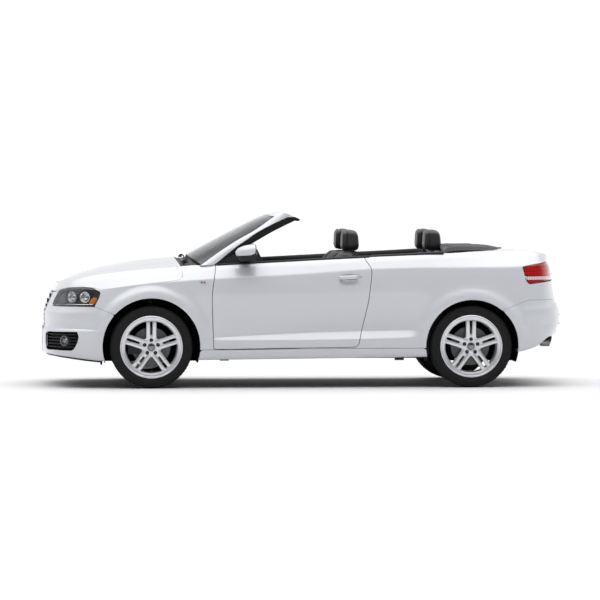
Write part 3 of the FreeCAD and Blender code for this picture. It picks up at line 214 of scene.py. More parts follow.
class Graph:
    """The node tree of one material, with its Principled shader."""

    def __init__(self, name: str) -> None:
        """Makes the material and its shader.

        Args:
            name: The material's name.
        """
        self.material = bpy.data.materials.new(name)
        self.material.use_nodes = True
        self.tree = self.material.node_tree
        self.tree.nodes.clear()
        surface = self.tree.nodes.new("ShaderNodeOutputMaterial").inputs["Surface"]
        self.shader = self.tree.nodes.new("ShaderNodeBsdfPrincipled")
        self.tree.links.new(self.shader.outputs[0], surface)

    def node(self, kind: str, settings: dict[str, Any] | None = None,
             sockets: dict[int | str, Any] | None = None, output: int | str = 0) -> Term:
        """Adds a node.

        Args:
            kind: The node's type.
            settings: Its own settings. "stops" gives a ramp's (place, colour) pairs.
            sockets: The values or terms of its inputs, by name or number.
            output: The output that is returned.

        Returns:
            The output as a term.
        """
        made = self.tree.nodes.new(kind)
        for key, value in (settings or {}).items():
            if key == "stops":
                elements = made.color_ramp.elements
                while len(elements) < len(value):
                    elements.new(1.0)
                for element, (place, colour) in zip(elements, value):
                    element.position = place
                    element.color = (*colour, 1.0) if len(colour) == 3 else colour
            else:
                setattr(made, key, value)
        for key, value in (sockets or {}).items():
            self.put(made.inputs[key], value)
        return Term(self, made.outputs[output])

    def put(self, socket: bpy.types.NodeSocket, value: Any) -> None:
        """Links a term to a socket, or sets the socket's own value."""
        if isinstance(value, Term):
            self.tree.links.new(value.socket, socket)
        else:
            socket.default_value = value

    def set(self, **values: Any) -> None:
        """Sets or links the shader's sockets. An underscore in a name stands for a space."""
        for name, value in values.items():
            self.put(self.shader.inputs[name.replace("_", " ")], value)

    def place(self) -> Term:
        """The point on the piece, in metres."""
        return self.node("ShaderNodeTexCoord", output="Object")

    def axes(self) -> tuple[Term, Term, Term]:
        """The x, y and z of the point on the piece."""
        split = self.node("ShaderNodeSeparateXYZ", sockets={0: self.place()})
        outputs = split.socket.node.outputs
        return Term(self, outputs[0]), Term(self, outputs[1]), Term(self, outputs[2])

    def noise(self, scale: float, detail: float) -> Term:
        """Smooth noise from nought to one."""
        return self.node("ShaderNodeTexNoise", {"noise_dimensions": "3D"},
                         {"Vector": self.place(), "Scale": scale, "Detail": detail})

    def cells(self, scale: float) -> Term:
        """Distance to the nearest of scattered points."""
        return self.node("ShaderNodeTexVoronoi", {"feature": "F1"}, {"Vector": self.place(), "Scale": scale})

    def ramp(self, value: Term, *stops: tuple[float, tuple[float, ...]]) -> Term:
        """A colour for each value, through a ramp."""
        return self.node("ShaderNodeValToRGB", {"stops": stops}, {"Fac": value})

    def mix(self, share: Any, first: Any, second: Any) -> Term:
        """A colour between two, by share."""
        factor, colour_a, colour_b, result = 0, 6, 7, 2
        full = [(*c, 1.0) if isinstance(c, tuple) and len(c) == 3 else c for c in (first, second)]
        return self.node("ShaderNodeMix", {"data_type": "RGBA"},
                         {factor: share, colour_a: full[0], colour_b: full[1]}, result)

    def bump(self, height: Term, strength: float, distance: float) -> Term:
        """A surface normal from a height, whose full depth is distance in metres."""
        return self.node("ShaderNodeBump", sockets={"Height": height, "Strength": strength,
                                                    "Distance": distance})


Colour = tuple[float, float, float]


def toned(colour: Colour, factor: float, lift: float = 0.0) -> Colour:
    """A colour made lighter or darker by a factor and a lift, at most white."""
    return tuple(min(1.0, factor * part + lift) for part in colour)


@dataclass(frozen=True)
class Finish:
    """A finish with a name. Its material is made once, when it is first asked for."""

    name: str

    def draw(self, graph: Graph) -> None:
        """Sets the graph's shader up. Each kind of finish has its own."""
        raise NotImplementedError

    def material(self) -> bpy.types.Material:
        """The finish's material."""
        found = bpy.data.materials.get("finish_" + self.name)
        if found:
            return found
        graph = Graph("finish_" + self.name)
        self.draw(graph)
        return graph.material


@dataclass(frozen=True)
class Paint(Finish):
    """Sprayed body paint under clear lacquer, with the faint ripple of a sprayed coat."""

    colour: Colour
    roughness: float = 0.32
    ripple: float = 0.05

    def draw(self, graph: Graph) -> None:
        """Paint with a slow drift of tone, darker and rougher in noisy patches towards the bottom, and a lacquer over
        it.
        """
        tone = graph.noise(1.4, 1.0)
        _, _, height = graph.axes()
        low = graph.ramp(height, (0.16, (1, 1, 1)), (0.42, (0, 0, 0)))
        # The paint turns darker and rougher in noisy patches towards the bottom, fully below 0.16 m and fading out by
        # 0.42 m.
        low_darkening = graph.noise(9.0, 4.0) * low * 0.22
        base = graph.mix(tone, self.colour, toned(self.colour, 0.985))
        graph.set(Base_Color=graph.mix(low_darkening, base, (0.52, 0.51, 0.49)), Coat_Weight=1.0, Coat_Roughness=0.03,
                  Roughness=low_darkening * 0.6 + self.roughness, Coat_IOR=1.5)
        graph.set(Normal=graph.bump(graph.noise(420.0, 1.0), self.ripple, 0.0002))


@dataclass(frozen=True)
class Moulded(Finish):
    """Moulded plastic or rubber with a fine grain."""

    colour: Colour
    roughness: float = 0.55
    grain: float = 1400.0
    depth: float = 0.25
    coat: float = 0.0
    shine: float = 0.5

    def draw(self, graph: Graph) -> None:
        """Grain in the surface, and a slow wander of tone and polish."""
        wander = graph.noise(22.0, 3.0)
        graph.set(Base_Color=graph.mix(wander, self.colour, toned(self.colour, 1.35, 0.004)),
                  Roughness=wander * 0.14 + (self.roughness - 0.07), Coat_Weight=self.coat,
                  Specular_IOR_Level=self.shine)
        graph.set(Normal=graph.bump(graph.cells(self.grain), self.depth, 0.0004))


@dataclass(frozen=True)
class Metal(Finish):
    """Bare, cast or plated metal."""

    colour: Colour
    roughness: float = 0.3
    grain: float = 260.0
    depth: float = 0.1
    metallic: float = 1.0
    coat: float = 0.0

    def draw(self, graph: Graph) -> None:
        """Metal with a fine texture and small changes in polish."""
        wander = graph.noise(35.0, 4.0)
        graph.set(Base_Color=graph.mix(wander, toned(self.colour, 0.86), self.colour), Metallic=self.metallic,
                  Roughness=wander * 0.12 + (self.roughness - 0.06), Coat_Weight=self.coat,
                  Coat_Roughness=0.05)
        graph.set(Normal=graph.bump(graph.noise(self.grain, 3.0), self.depth, 0.0003))


@dataclass(frozen=True)
class Pane(Finish):
    """Clear or tinted glass or lens plastic, seen through by its alpha."""

    colour: Colour
    alpha: float = 0.3
    roughness: float = 0.03
    slanted: float = 0.62

    def draw(self, graph: Graph) -> None:
        """Glass that shows more of itself where it is seen at a slant."""
        smear = graph.noise(5.0, 3.0)
        slant = graph.node("ShaderNodeLayerWeight", sockets={"Blend": 0.35}, output="Fresnel")
        graph.set(Base_Color=graph.mix(smear, self.colour, toned(self.colour, 0.9)),
                  Roughness=smear * 0.02 + self.roughness, Coat_Weight=1.0,
                  Alpha=slant * (self.slanted - self.alpha) + self.alpha)


@dataclass(frozen=True)
class Leather(Finish):
    """Upholstery leather with a pebbled grain and creases."""

    colour: Colour
    roughness: float = 0.48

    def draw(self, graph: Graph) -> None:
        """Pebbles, wrinkles and a worn sheen."""
        pebble = graph.cells(520.0)
        wrinkle = graph.noise(26.0, 5.0)
        graph.set(Base_Color=graph.mix(wrinkle, self.colour, toned(self.colour, 1.7, 0.006)),
                  Roughness=wrinkle * 0.16 + self.roughness - 0.08, Sheen_Weight=0.12)
        graph.set(Normal=graph.bump(pebble * 0.6 + wrinkle * 0.9, 0.35, 0.0008))


@dataclass(frozen=True)
class Cloth(Finish):
    """Woven cloth: threads that cross over and under."""

    colour: Colour
    thread: float = 1.6

    def draw(self, graph: Graph) -> None:
        """A plain weave, its size set by the thread in millimetres."""
        x, y, z = graph.axes()
        turns = math.tau / (self.thread * MM * 2)
        over = (x * turns).sine() * ((y + z) * turns).sine()
        fade = graph.noise(11.0, 4.0)
        graph.set(Base_Color=graph.mix(over * 0.2 + fade * 0.5, self.colour, toned(self.colour, 2.0, 0.01)),
                  Roughness=0.92, Sheen_Weight=0.35, Sheen_Roughness=0.5)
        graph.set(Normal=graph.bump(over * 0.6 + graph.noise(160.0, 3.0) * 0.5, 0.5, 0.0006))


@dataclass(frozen=True)
class Pile(Finish):
    """Short carpet pile."""

    colour: Colour

    def draw(self, graph: Graph) -> None:
        """Tufts, darker between them."""
        tuft = graph.cells(380.0)
        graph.set(Base_Color=graph.mix(tuft, toned(self.colour, 1.8), self.colour), Roughness=0.95,
                  Sheen_Weight=0.4)
        graph.set(Normal=graph.bump(tuft, 0.8, 0.002))


@dataclass(frozen=True)
class LampRed(Finish):
    """Red lamp plastic, with the lamp's square chambers behind it and a clear strip near its foot."""

    strip_low: float
    strip_high: float
    chamber: float = 36.0
    rib: float = 6.0

    def draw(self, graph: Graph) -> None:
        """Dark chamber edges and a clear strip between two heights."""
        x, y, z = graph.axes()
        around = (x - y.size() * 0.9) / (self.chamber * MM)
        up = z / (self.chamber * MM)
        edge = ((around.part() - 0.5).size() > 0.42) + ((up.part() - 0.5).size() > 0.40)
        ribs = ((x * (math.tau / (self.rib * MM))).sine() * 0.5 + 0.5) * 0.35
        red = graph.mix(ribs, (0.50, 0.006, 0.008), (0.30, 0.003, 0.005))
        red = graph.mix(edge * 0.7, red, (0.10, 0.002, 0.004))
        strip = (z > self.strip_low * MM) * (z < self.strip_high * MM)
        clear = graph.mix((around * 2.0).part() > 0.72, (0.80, 0.74, 0.73), (0.34, 0.10, 0.10))
        graph.set(Base_Color=graph.mix(strip, red, clear), Roughness=0.18 + ribs * 0.2, Coat_Weight=1.0,
                  Coat_Roughness=0.02)
        graph.set(Normal=graph.bump(ribs + edge * 0.4, 0.3, 0.0015))


class Use(Enum):
    """The car's finishes by where they are used."""

    BODY = Paint("white_paint", (0.61, 0.626, 0.651))
    TRIM = Moulded("black_trim", (0.009, 0.009, 0.0095), 0.5, 1400.0, 0.25, 0.0, 0.3)
    GLOSS = Moulded("gloss_black", (0.006, 0.006, 0.007), 0.16, 300.0, 0.03, 0.6)
    SEAL = Moulded("rubber_seal", (0.007, 0.007, 0.0075), 0.62, 900.0, 0.2, 0.0, 0.2)
    TYRE = Moulded("tyre_rubber", (0.0095, 0.0095, 0.010), 0.72, 500.0, 0.5, 0.0, 0.16)
    LINER = Moulded("arch_plastic", (0.004, 0.004, 0.004), 0.85, 260.0, 0.8, 0.0, 0.15)
    UNDER = Moulded("underseal", (0.02, 0.02, 0.021), 0.8, 120.0, 0.9)
    DASH = Moulded("cabin_plastic", (0.017, 0.017, 0.018), 0.6, 700.0, 0.5)
    ALLOY = Metal("wheel_silver", (0.79, 0.80, 0.815), 0.34, 700.0, 0.012, 0.66, 0.5)
    STEEL = Metal("disc_steel", (0.13, 0.132, 0.135), 0.42, 500.0, 0.2)
    IRON = Metal("cast_iron", (0.05, 0.05, 0.052), 0.6, 240.0, 0.6, 0.7)
    TIP = Metal("exhaust_steel", (0.26, 0.26, 0.265), 0.20, 90.0, 0.1)
    BOWL = Metal("lamp_reflector", (0.92, 0.93, 0.94), 0.13, 60.0, 0.04, 0.84)
    CHROME = Metal("chrome", (0.86, 0.87, 0.88), 0.07, 60.0, 0.02)
    SATIN = Metal("satin_trim", (0.50, 0.51, 0.52), 0.32, 900.0, 0.05)
    BEZEL = Metal("lamp_bezel", (0.20, 0.205, 0.215), 0.36, 40.0, 0.05, 0.6)
    GLASS = Pane("screen_glass", (0.012, 0.021, 0.018), 0.42)
    LENS = Pane("lamp_lens", (0.24, 0.25, 0.26), 0.04, 0.03, 0.30)
    AMBER = Pane("amber_lens", (0.85, 0.22, 0.015), 0.86, 0.12)
    RED = LampRed("red_lens", 866.0, 892.0)
    MIRROR = Metal("mirror_glass", (0.78, 0.80, 0.82), 0.03, 30.0, 0.0)
    SEAT = Leather("black_leather", (0.013, 0.013, 0.014))
    THREAD = Moulded("grey_thread", (0.10, 0.10, 0.105), 0.8, 2500.0, 0.5)
    ROOF = Cloth("black_canvas", (0.010, 0.010, 0.011))
    CARPET = Pile("black_carpet", (0.010, 0.010, 0.011))
    PLATE = Moulded("blank_plate", (0.78, 0.78, 0.76), 0.4, 300.0, 0.008)


# ----------------------------------------------------------------------------------------------- meshes
@dataclass
class Shell:
    """Points in millimetres and the faces that join them."""

    points: np.ndarray
    faces: list[tuple[int, ...]]

    def with_others(self, *others: "Shell") -> "Shell":
        """This and others as one shell."""
        points, faces = [self.points], list(self.faces)
        start = len(self.points)
        for other in others:
            points.append(other.points)
            faces.extend(tuple(i + start for i in face) for face in other.faces)
            start += len(other.points)
        return Shell(np.vstack(points), faces)

    def moved(self, x: float = 0.0, y: float = 0.0, z: float = 0.0) -> "Shell":
        """A copy moved along the axes."""
        return Shell(self.points + np.array([x, y, z]), list(self.faces))

    def mirrored(self) -> "Shell":
        """The copy on the car's other side, its faces still pointing out."""
        return Shell(self.points * np.array([1, -1, 1]), [face[::-1] for face in self.faces])

    def on_side(self, side: int) -> "Shell":
        """This right-hand shell, or its mirror image for the left."""
        return self if side == RIGHT else self.mirrored()

    def turned(self, axis: Sequence[float], angle: float, about: Sequence[float] = ORIGIN) -> "Shell":
        """A copy turned about an axis through a point, by an angle in degrees."""
        k = np.array(axis, float) / np.linalg.norm(axis)
        p = self.points - np.array(about)
        c, s = math.cos(math.radians(angle)), math.sin(math.radians(angle))
        turned = p * c + np.cross(k, p) * s + np.outer(p @ k, k) * (1 - c)
        return Shell(turned + np.array(about), list(self.faces))


def both(shell: Shell) -> Shell:
    """A right-hand shell and its mirror image."""
    return shell.with_others(shell.mirrored())


def joined(shells: Sequence[Shell]) -> Shell:
    """Several shells as one."""
    return shells[0].with_others(*shells[1:])


def grid(points: Sequence, close_rows: bool = False, close_columns: bool = False) -> Shell:
    """A shell over a grid of points.

    Args:
        points: Rows by columns by three.
        close_rows: Whether the last row joins the first.
        close_columns: Whether the last column joins the first.

    Returns:
        The shell, of four-cornered faces.
    """
    points = np.array(points, float)
    rows, columns = points.shape[:2]
    faces = []
    for r in range(rows if close_rows else rows - 1):
        for c in range(columns if close_columns else columns - 1):
            r1, c1 = (r + 1) % rows, (c + 1) % columns
            faces.append((r * columns + c, r * columns + c1, r1 * columns + c1, r1 * columns + c))
    return Shell(points.reshape(-1, 3), faces)


def loft(rings: Sequence[np.ndarray], capped: bool = True) -> Shell:
    """A closed skin over rings of the same number of points, with flat ends.

    Args:
        rings: The rings in order, each a list of points in millimetres.
        capped: Whether the first and last ring get a flat face.

    Returns:
        The skin.
    """
    points = np.array(rings, float)
    shell = grid(points, close_columns=True)
    if capped:
        count = points.shape[1]
        last = (points.shape[0] - 1) * count
        shell.faces.append(tuple(range(count))[::-1])
        shell.faces.append(tuple(range(last, last + count)))
    return shell


def lathe(profile: Sequence[tuple[float, float]], centre: Sequence[float], count: int,
          axis: str = "y", closed: bool = False) -> Shell:
    """A profile of (along, radius) pairs turned about an axis through a point.

    Args:
        profile: The pairs, in millimetres.
        centre: A point on the axis.
        count: How many steps go round.
        axis: The axis, "x", "y" or "z".
        closed: Whether the profile joins its own start.

    Returns:
        The turned shape.
    """
    angles = np.linspace(0, math.tau, count, endpoint=False)
    rows = []
    for along, radius in profile:
        a, b, c = np.full(count, along), radius * np.cos(angles), radius * np.sin(angles)
        rows.append(np.stack({"y": (b, a, c), "x": (a, b, c), "z": (b, c, a)}[axis], 1))
    return grid(np.array(rows) + np.array(centre), close_rows=closed, close_columns=True)


def ring_points(count: int, a: float, b: float, power: float = 2.0) -> np.ndarray:
    """Points round a flattened circle of half sizes a and b, squarer as its power rises."""
    angles = np.linspace(0, math.tau, count, endpoint=False)
    c, s = np.cos(angles), np.sin(angles)
    return np.stack([np.sign(c) * np.abs(c) ** (2 / power) * a, np.sign(s) * np.abs(s) ** (2 / power) * b], 1)


def tube(path: Sequence[Sequence[float]], radius: float | Sequence[float], count: int = 12,
         flat: float = 1.0, up: Sequence[float] = (0, 0, 1)) -> Shell:
    """A bar along a path.

    Args:
        path: The points it follows.
        radius: Its radius, or one for each point.
        count: Points round it.
        flat: Its height as a share of its width.
        up: Which way its height lies.

    Returns:
        The closed bar.
    """
    path = np.array(path, float)
    radii = np.broadcast_to(np.array(radius, float), (len(path),))
    ways = np.gradient(path, axis=0)
    rings = []
    for point, way, size in zip(path, ways, radii):
        way = way / np.linalg.norm(way)
        side = np.cross(way, up)
        side /= np.linalg.norm(side)
        high = np.cross(side, way)
        ring = ring_points(count, size, size * flat)
        rings.append(point + np.outer(ring[:, 0], side) + np.outer(ring[:, 1], high))
    return loft(rings)


def block(x0: float, x1: float, y0: float, y1: float, z0: float, z1: float) -> Shell:
    """A plain block, to be bevelled."""
    low, high = (x0, y0, z0), (x1, y1, z1)
    corners = [(i, j, k) for k in (0, 1) for j in (0, 1) for i in (0, 1)]
    points = np.array([[(low, high)[c[a]][a] for a in range(3)] for c in corners], float)
    return Shell(points, [(0, 2, 3, 1), (4, 5, 7, 6), (0, 1, 5, 4), (2, 6, 7, 3), (0, 4, 6, 2), (1, 3, 7, 5)])


def spline(points: Sequence[Sequence[float]], count: int) -> np.ndarray:
    """Evenly spread points on a smooth curve through the given ones.

    Args:
        points: The points that the curve passes through.
        count: How many points to give back.

    Returns:
        The points, one to a row.
    """
    points = np.array(points, float)
    padded = np.vstack([2 * points[0] - points[1], points, 2 * points[-1] - points[-2]])
    fine = []
    for i in range(len(points) - 1):
        p0, p1, p2, p3 = padded[i:i + 4]
        t = np.linspace(0, 1, 24, endpoint=False)[:, None]
        fine.append(0.5 * (2 * p1 + (p2 - p0) * t + (2 * p0 - 5 * p1 + 4 * p2 - p3) * t ** 2
                           + (3 * p1 - p0 - 3 * p2 + p3) * t ** 3))
    fine = np.vstack([*fine, points[-1:]])
    run = np.concatenate([[0], np.cumsum(np.linalg.norm(np.diff(fine, axis=0), axis=1))])
    wanted = np.linspace(0, run[-1], count)
    return np.stack([np.interp(wanted, run, fine[:, i]) for i in range(points.shape[1])], 1)


def smooth(values: np.ndarray, sigma: float) -> np.ndarray:
    """Values softened by a bell of sigma places, mirrored at both ends."""
    reach = int(3 * sigma) + 1
    bell = np.exp(-0.5 * (np.arange(-reach, reach + 1) / sigma) ** 2)
    bell /= bell.sum()
    padded = np.concatenate([values[reach:0:-1], values, values[-2:-reach - 2:-1]])
    return np.convolve(padded, bell, "valid")


def rise(values: np.ndarray | float, low: float, high: float) -> np.ndarray:
    """A soft step from nought at low to one at high."""
    t = np.clip((np.asarray(values, float) - low) / (high - low), 0, 1)
    return t * t * (3 - 2 * t)


def rounded(corners: Sequence[Sequence[float]], radius: float | Sequence[float],
            steps: int = 6) -> np.ndarray:
    """A closed outline with its corners rounded.

    Args:
        corners: The corners as pairs.
        radius: How far each corner's curve reaches, or one for each.
        steps: Points in each corner.

    Returns:
        The outline's points.
    """
    corners = np.array(corners, float)
    radii = np.broadcast_to(np.array(radius, float), (len(corners),))
    points = []
    for i, corner in enumerate(corners):
        before, after = corners[i - 1] - corner, corners[(i + 1) % len(corners)] - corner
        a = corner + before * min(0.5, radii[i] / np.linalg.norm(before))
        b = corner + after * min(0.5, radii[i] / np.linalg.norm(after))
        t = np.linspace(0, 1, steps)[:, None]
        points.append((1 - t) ** 2 * a + 2 * t * (1 - t) * corner + t ** 2 * b)
    return np.vstack(points)


class View(Enum):
    """The plane that an outline is drawn in, as the two axes it uses."""

    SIDE = (0, 2)
    PLAN = (0, 1)
    FRONT = (1, 2)


def slab(outline: Sequence[Sequence[float]], levels: Sequence[float], view: View = View.SIDE) -> Shell:
    """A closed block: an outline in a view's plane, repeated at each level across the plane.

    Args:
        outline: The outline as pairs in the view's plane.
        levels: Where the outline stands across the plane.
        view: The plane it is drawn in.

    Returns:
        The closed block.
    """
    first, second = view.value
    rings = np.zeros((len(levels), len(outline), 3))
    rings[..., first], rings[..., second] = np.array(outline, float).T
    rings[..., 3 - first - second] = np.array(levels, float)[:, None]
    return loft(rings)


def stacked(ring: Sequence[Sequence[float]], steps: Sequence[Sequence[float]],
            centre: Sequence[float] = ORIGIN, view: View = View.FRONT) -> Shell:
    """A closed shell of one ring at several depths and sizes.

    Args:
        ring: Pairs in the view's plane.
        steps: The depth across the plane and the size of each copy of the ring.
        centre: Where depths and sizes are measured from.
        view: The plane.

    Returns:
        The shell.
    """
    first, second = view.value
    across = 3 - first - second
    points = np.array(ring, float)
    rings = np.zeros((len(steps), len(points), 3))
    for row, (depth, size) in zip(rings, steps):
        row[:, first] = centre[first] + points[:, 0] * size
        row[:, second] = centre[second] + points[:, 1] * size
        row[:, across] = centre[across] + depth
    return loft(rings)


@dataclass(frozen=True)
class Outline:
    """A closed outline in one plane, which tells how far a point lies inside it."""

    corners: Any
    view: View = View.SIDE
    radius: float = 0.0

    def inside(self, points: np.ndarray) -> np.ndarray:
        """How far each point lies inside, below nought outside."""
        edge = rounded(self.corners, self.radius) if self.radius else np.array(self.corners, float)
        p = points[:, list(self.view.value)]
        best = np.full(len(p), 1e9)
        crossings = np.zeros(len(p), int)
        for a, b in zip(edge, np.roll(edge, -1, 0)):
            run = b - a
            length = run @ run
            if length < 1e-9:
                continue
            t = np.clip(((p - a) @ run) / length, 0, 1)
            best = np.minimum(best, np.hypot(*(p - a - t[:, None] * run).T))
            spans = (a[1] > p[:, 1]) != (b[1] > p[:, 1])
            if abs(run[1]) > 1e-9:
                crossings += spans & (p[:, 0] < a[0] + run[0] * (p[:, 1] - a[1]) / run[1])
        return np.where(crossings % 2 == 1, best, -best)


def trimmed(shell: Shell, inside: np.ndarray) -> Shell:
    """The part of a shell where inside is above nought, cut along its zero line.

    Args:
        shell: The shell.
        inside: A value for each point.

    Returns:
        The part that is kept, without unused points.
    """
    keep = inside > 0
    points = list(shell.points)
    between: dict[tuple[int, int], int] = {}
    faces = []
    for face in shell.faces:
        flags = [keep[i] for i in face]
        if all(flags):
            faces.append(face)
            continue
        if not any(flags):
            continue
        cut = []
        for i, j in zip(face, face[1:] + face[:1]):
            if keep[i]:
                cut.append(i)
            if keep[i] != keep[j]:
                key = (min(i, j), max(i, j))
                if key not in between:
                    a, b = key
                    share = inside[a] / (inside[a] - inside[b])
                    between[key] = len(points)
                    points.append(shell.points[a] + share * (shell.points[b] - shell.points[a]))
                cut.append(between[key])
        if len(cut) > 2:
            faces.append(tuple(cut))
    used = sorted({i for face in faces for i in face})
    number = {old: new for new, old in enumerate(used)}
    return Shell(np.array([points[i] for i in used]), [tuple(number[i] for i in face) for face in faces])


@dataclass
class Make:
    """How a shell becomes a piece: the modifiers and settings that finish it."""

    wall: float = 0.0
    bevel: float = 0.0
    segments: int = 2
    subdivide: int = 0
    crease: float = 34.0
    closed: bool = True
    merge: float = 0.05


def walled(wall: float) -> Make:
    """How an open shell that is trimmed from the body gets its wall."""
    return Make(wall=wall, closed=False, merge=0.4)


def mesh_of(shell: Shell) -> bmesh.types.BMesh:
    """A shell as an editable mesh in metres, without faces that collapse or repeat."""
    work = bmesh.new()
    corners = [work.verts.new(point) for point in (shell.points * MM).tolist()]
    for face in shell.faces:
        if len(set(face)) > 2:
            try:
                work.faces.new([corners[i] for i in face])
            except ValueError:
                continue
    return work


def object_of(name: str, work: bmesh.types.BMesh) -> bpy.types.Object:
    """Turns an editable mesh into an object of the scene, at the origin."""
    mesh = bpy.data.meshes.new(name)
    work.to_mesh(mesh)
    work.free()
    made = bpy.data.objects.new(name, mesh)
    bpy.context.scene.collection.objects.link(made)
    return made


def applied(made: bpy.types.Object) -> None:
    """Replaces an object's mesh by what its modifiers make of it."""
    before = made.data
    final = bpy.data.meshes.new_from_object(made.evaluated_get(bpy.context.evaluated_depsgraph_get()))
    made.modifiers.clear()
    made.data = final
    final.name = made.name
    bpy.data.meshes.remove(before)


def settled(made: bpy.types.Object, use: Use, body: str, slot: str, crease: float,
            replaces: Iterable[str]) -> bpy.types.Object:
    """Gives an object its finish, its body, its slot and the CAD nodes that it stands for.

    Args:
        made: The object.
        use: Its finish.
        body: The body it rides on.
        slot: The record's material slot.
        crease: The angle in degrees past which an edge is sharp.
        replaces: CAD nodes it stands for.

    Returns:
        The same object.
    """
    mesh = made.data
    mesh.shade_smooth()
    mesh.set_sharp_from_angle(angle=math.radians(crease))
    mesh.materials.clear()
    mesh.materials.append(use.value.material())
    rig.ride(made, body)
    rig.slot(made, slot)
    if replaces:
        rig.replaces(made, *replaces)
    LOG.info("%s: %d faces on %s", made.name, len(mesh.polygons), body)
    return made


def piece(name: str, shell: Shell, use: Use, body: str, slot: str, make: Make = Make(),
          replaces: Iterable[str] = ()) -> bpy.types.Object:
    """Makes a finished piece and puts it on its body.

    Args:
        name: The piece's name.
        shell: Its shape in millimetres.
        use: Its finish.
        body: The CAD body it rides on.
        slot: The record's material slot.
        make: Its wall, bevel and smoothing.
        replaces: CAD nodes that it stands for.

    Returns:
        The piece's object, at the origin.
    """
    work = mesh_of(shell)
    bmesh.ops.remove_doubles(work, verts=work.verts, dist=make.merge * MM)
    bmesh.ops.dissolve_degenerate(work, edges=work.edges, dist=0.02 * MM)
    bmesh.ops.delete(work, geom=[v for v in work.verts if not v.link_faces], context="VERTS")
    if make.closed:
        bmesh.ops.recalc_face_normals(work, faces=work.faces)
    made = object_of(name, work)
    if make.subdivide:
        rounder = made.modifiers.new("rounder", "SUBSURF")
        rounder.levels = rounder.render_levels = make.subdivide
    if make.wall:
        wall = made.modifiers.new("wall", "SOLIDIFY")
        wall.thickness, wall.offset, wall.use_even_offset = make.wall * MM, -1.0, False
    if make.bevel:
        edge = made.modifiers.new("edge", "BEVEL")
        edge.width, edge.segments, edge.limit_method = make.bevel * MM, make.segments, "ANGLE"
        edge.angle_limit = math.radians(make.crease)
        edge.harden_normals = False
    if made.modifiers:
        applied(made)
    return settled(made, use, body, slot, make.crease, replaces)


def fitted(name: str, shell: Shell, use: Use, make: Make = Make(),
           replaces: Iterable[str] = ()) -> bpy.types.Object:
    """Makes a finished piece that stays on the car's body, in the record's trim plastic."""
    return piece(name, shell, use, "body", "trim_plastic", make, replaces)


# ---------------------------------------------------------------------------------- where things are
@dataclass(frozen=True)
class Places:
    """The places that the frame gives."""

    nose: float
    tail: float
    half: float
    front_axle: float
    rear_axle: float
    hub_z: float
    tyre_width: float
    track_front: float
    track_rear: float

    @staticmethod
    def read() -> "Places":
        """Reads them from the CAD nodes' boxes."""
        def middle(node: str) -> Vector:
            """The middle of a node's box in millimetres."""
            low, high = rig.box(node)
            return (low + high) / (2 * MM)

        front, back = middle("tyre_front_right"), middle("tyre_rear_right")
        low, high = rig.box("tyre_front_right")
        return Places(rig.box("front_bumper")[0].x / MM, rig.box("rear_bumper")[1].x / MM,
                      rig.box("door_right")[1].y / MM, front.x, back.x, front.z, (high.y - low.y) / MM,
                      2 * front.y, 2 * back.y)

    def axle(self, end: str) -> float:
        """The x of an axle."""
        return self.front_axle if end == "front" else self.rear_axle

    def track(self, end: str) -> float:
        """The track of an axle."""
        return self.track_front if end == "front" else self.track_rear


P = Places.read()


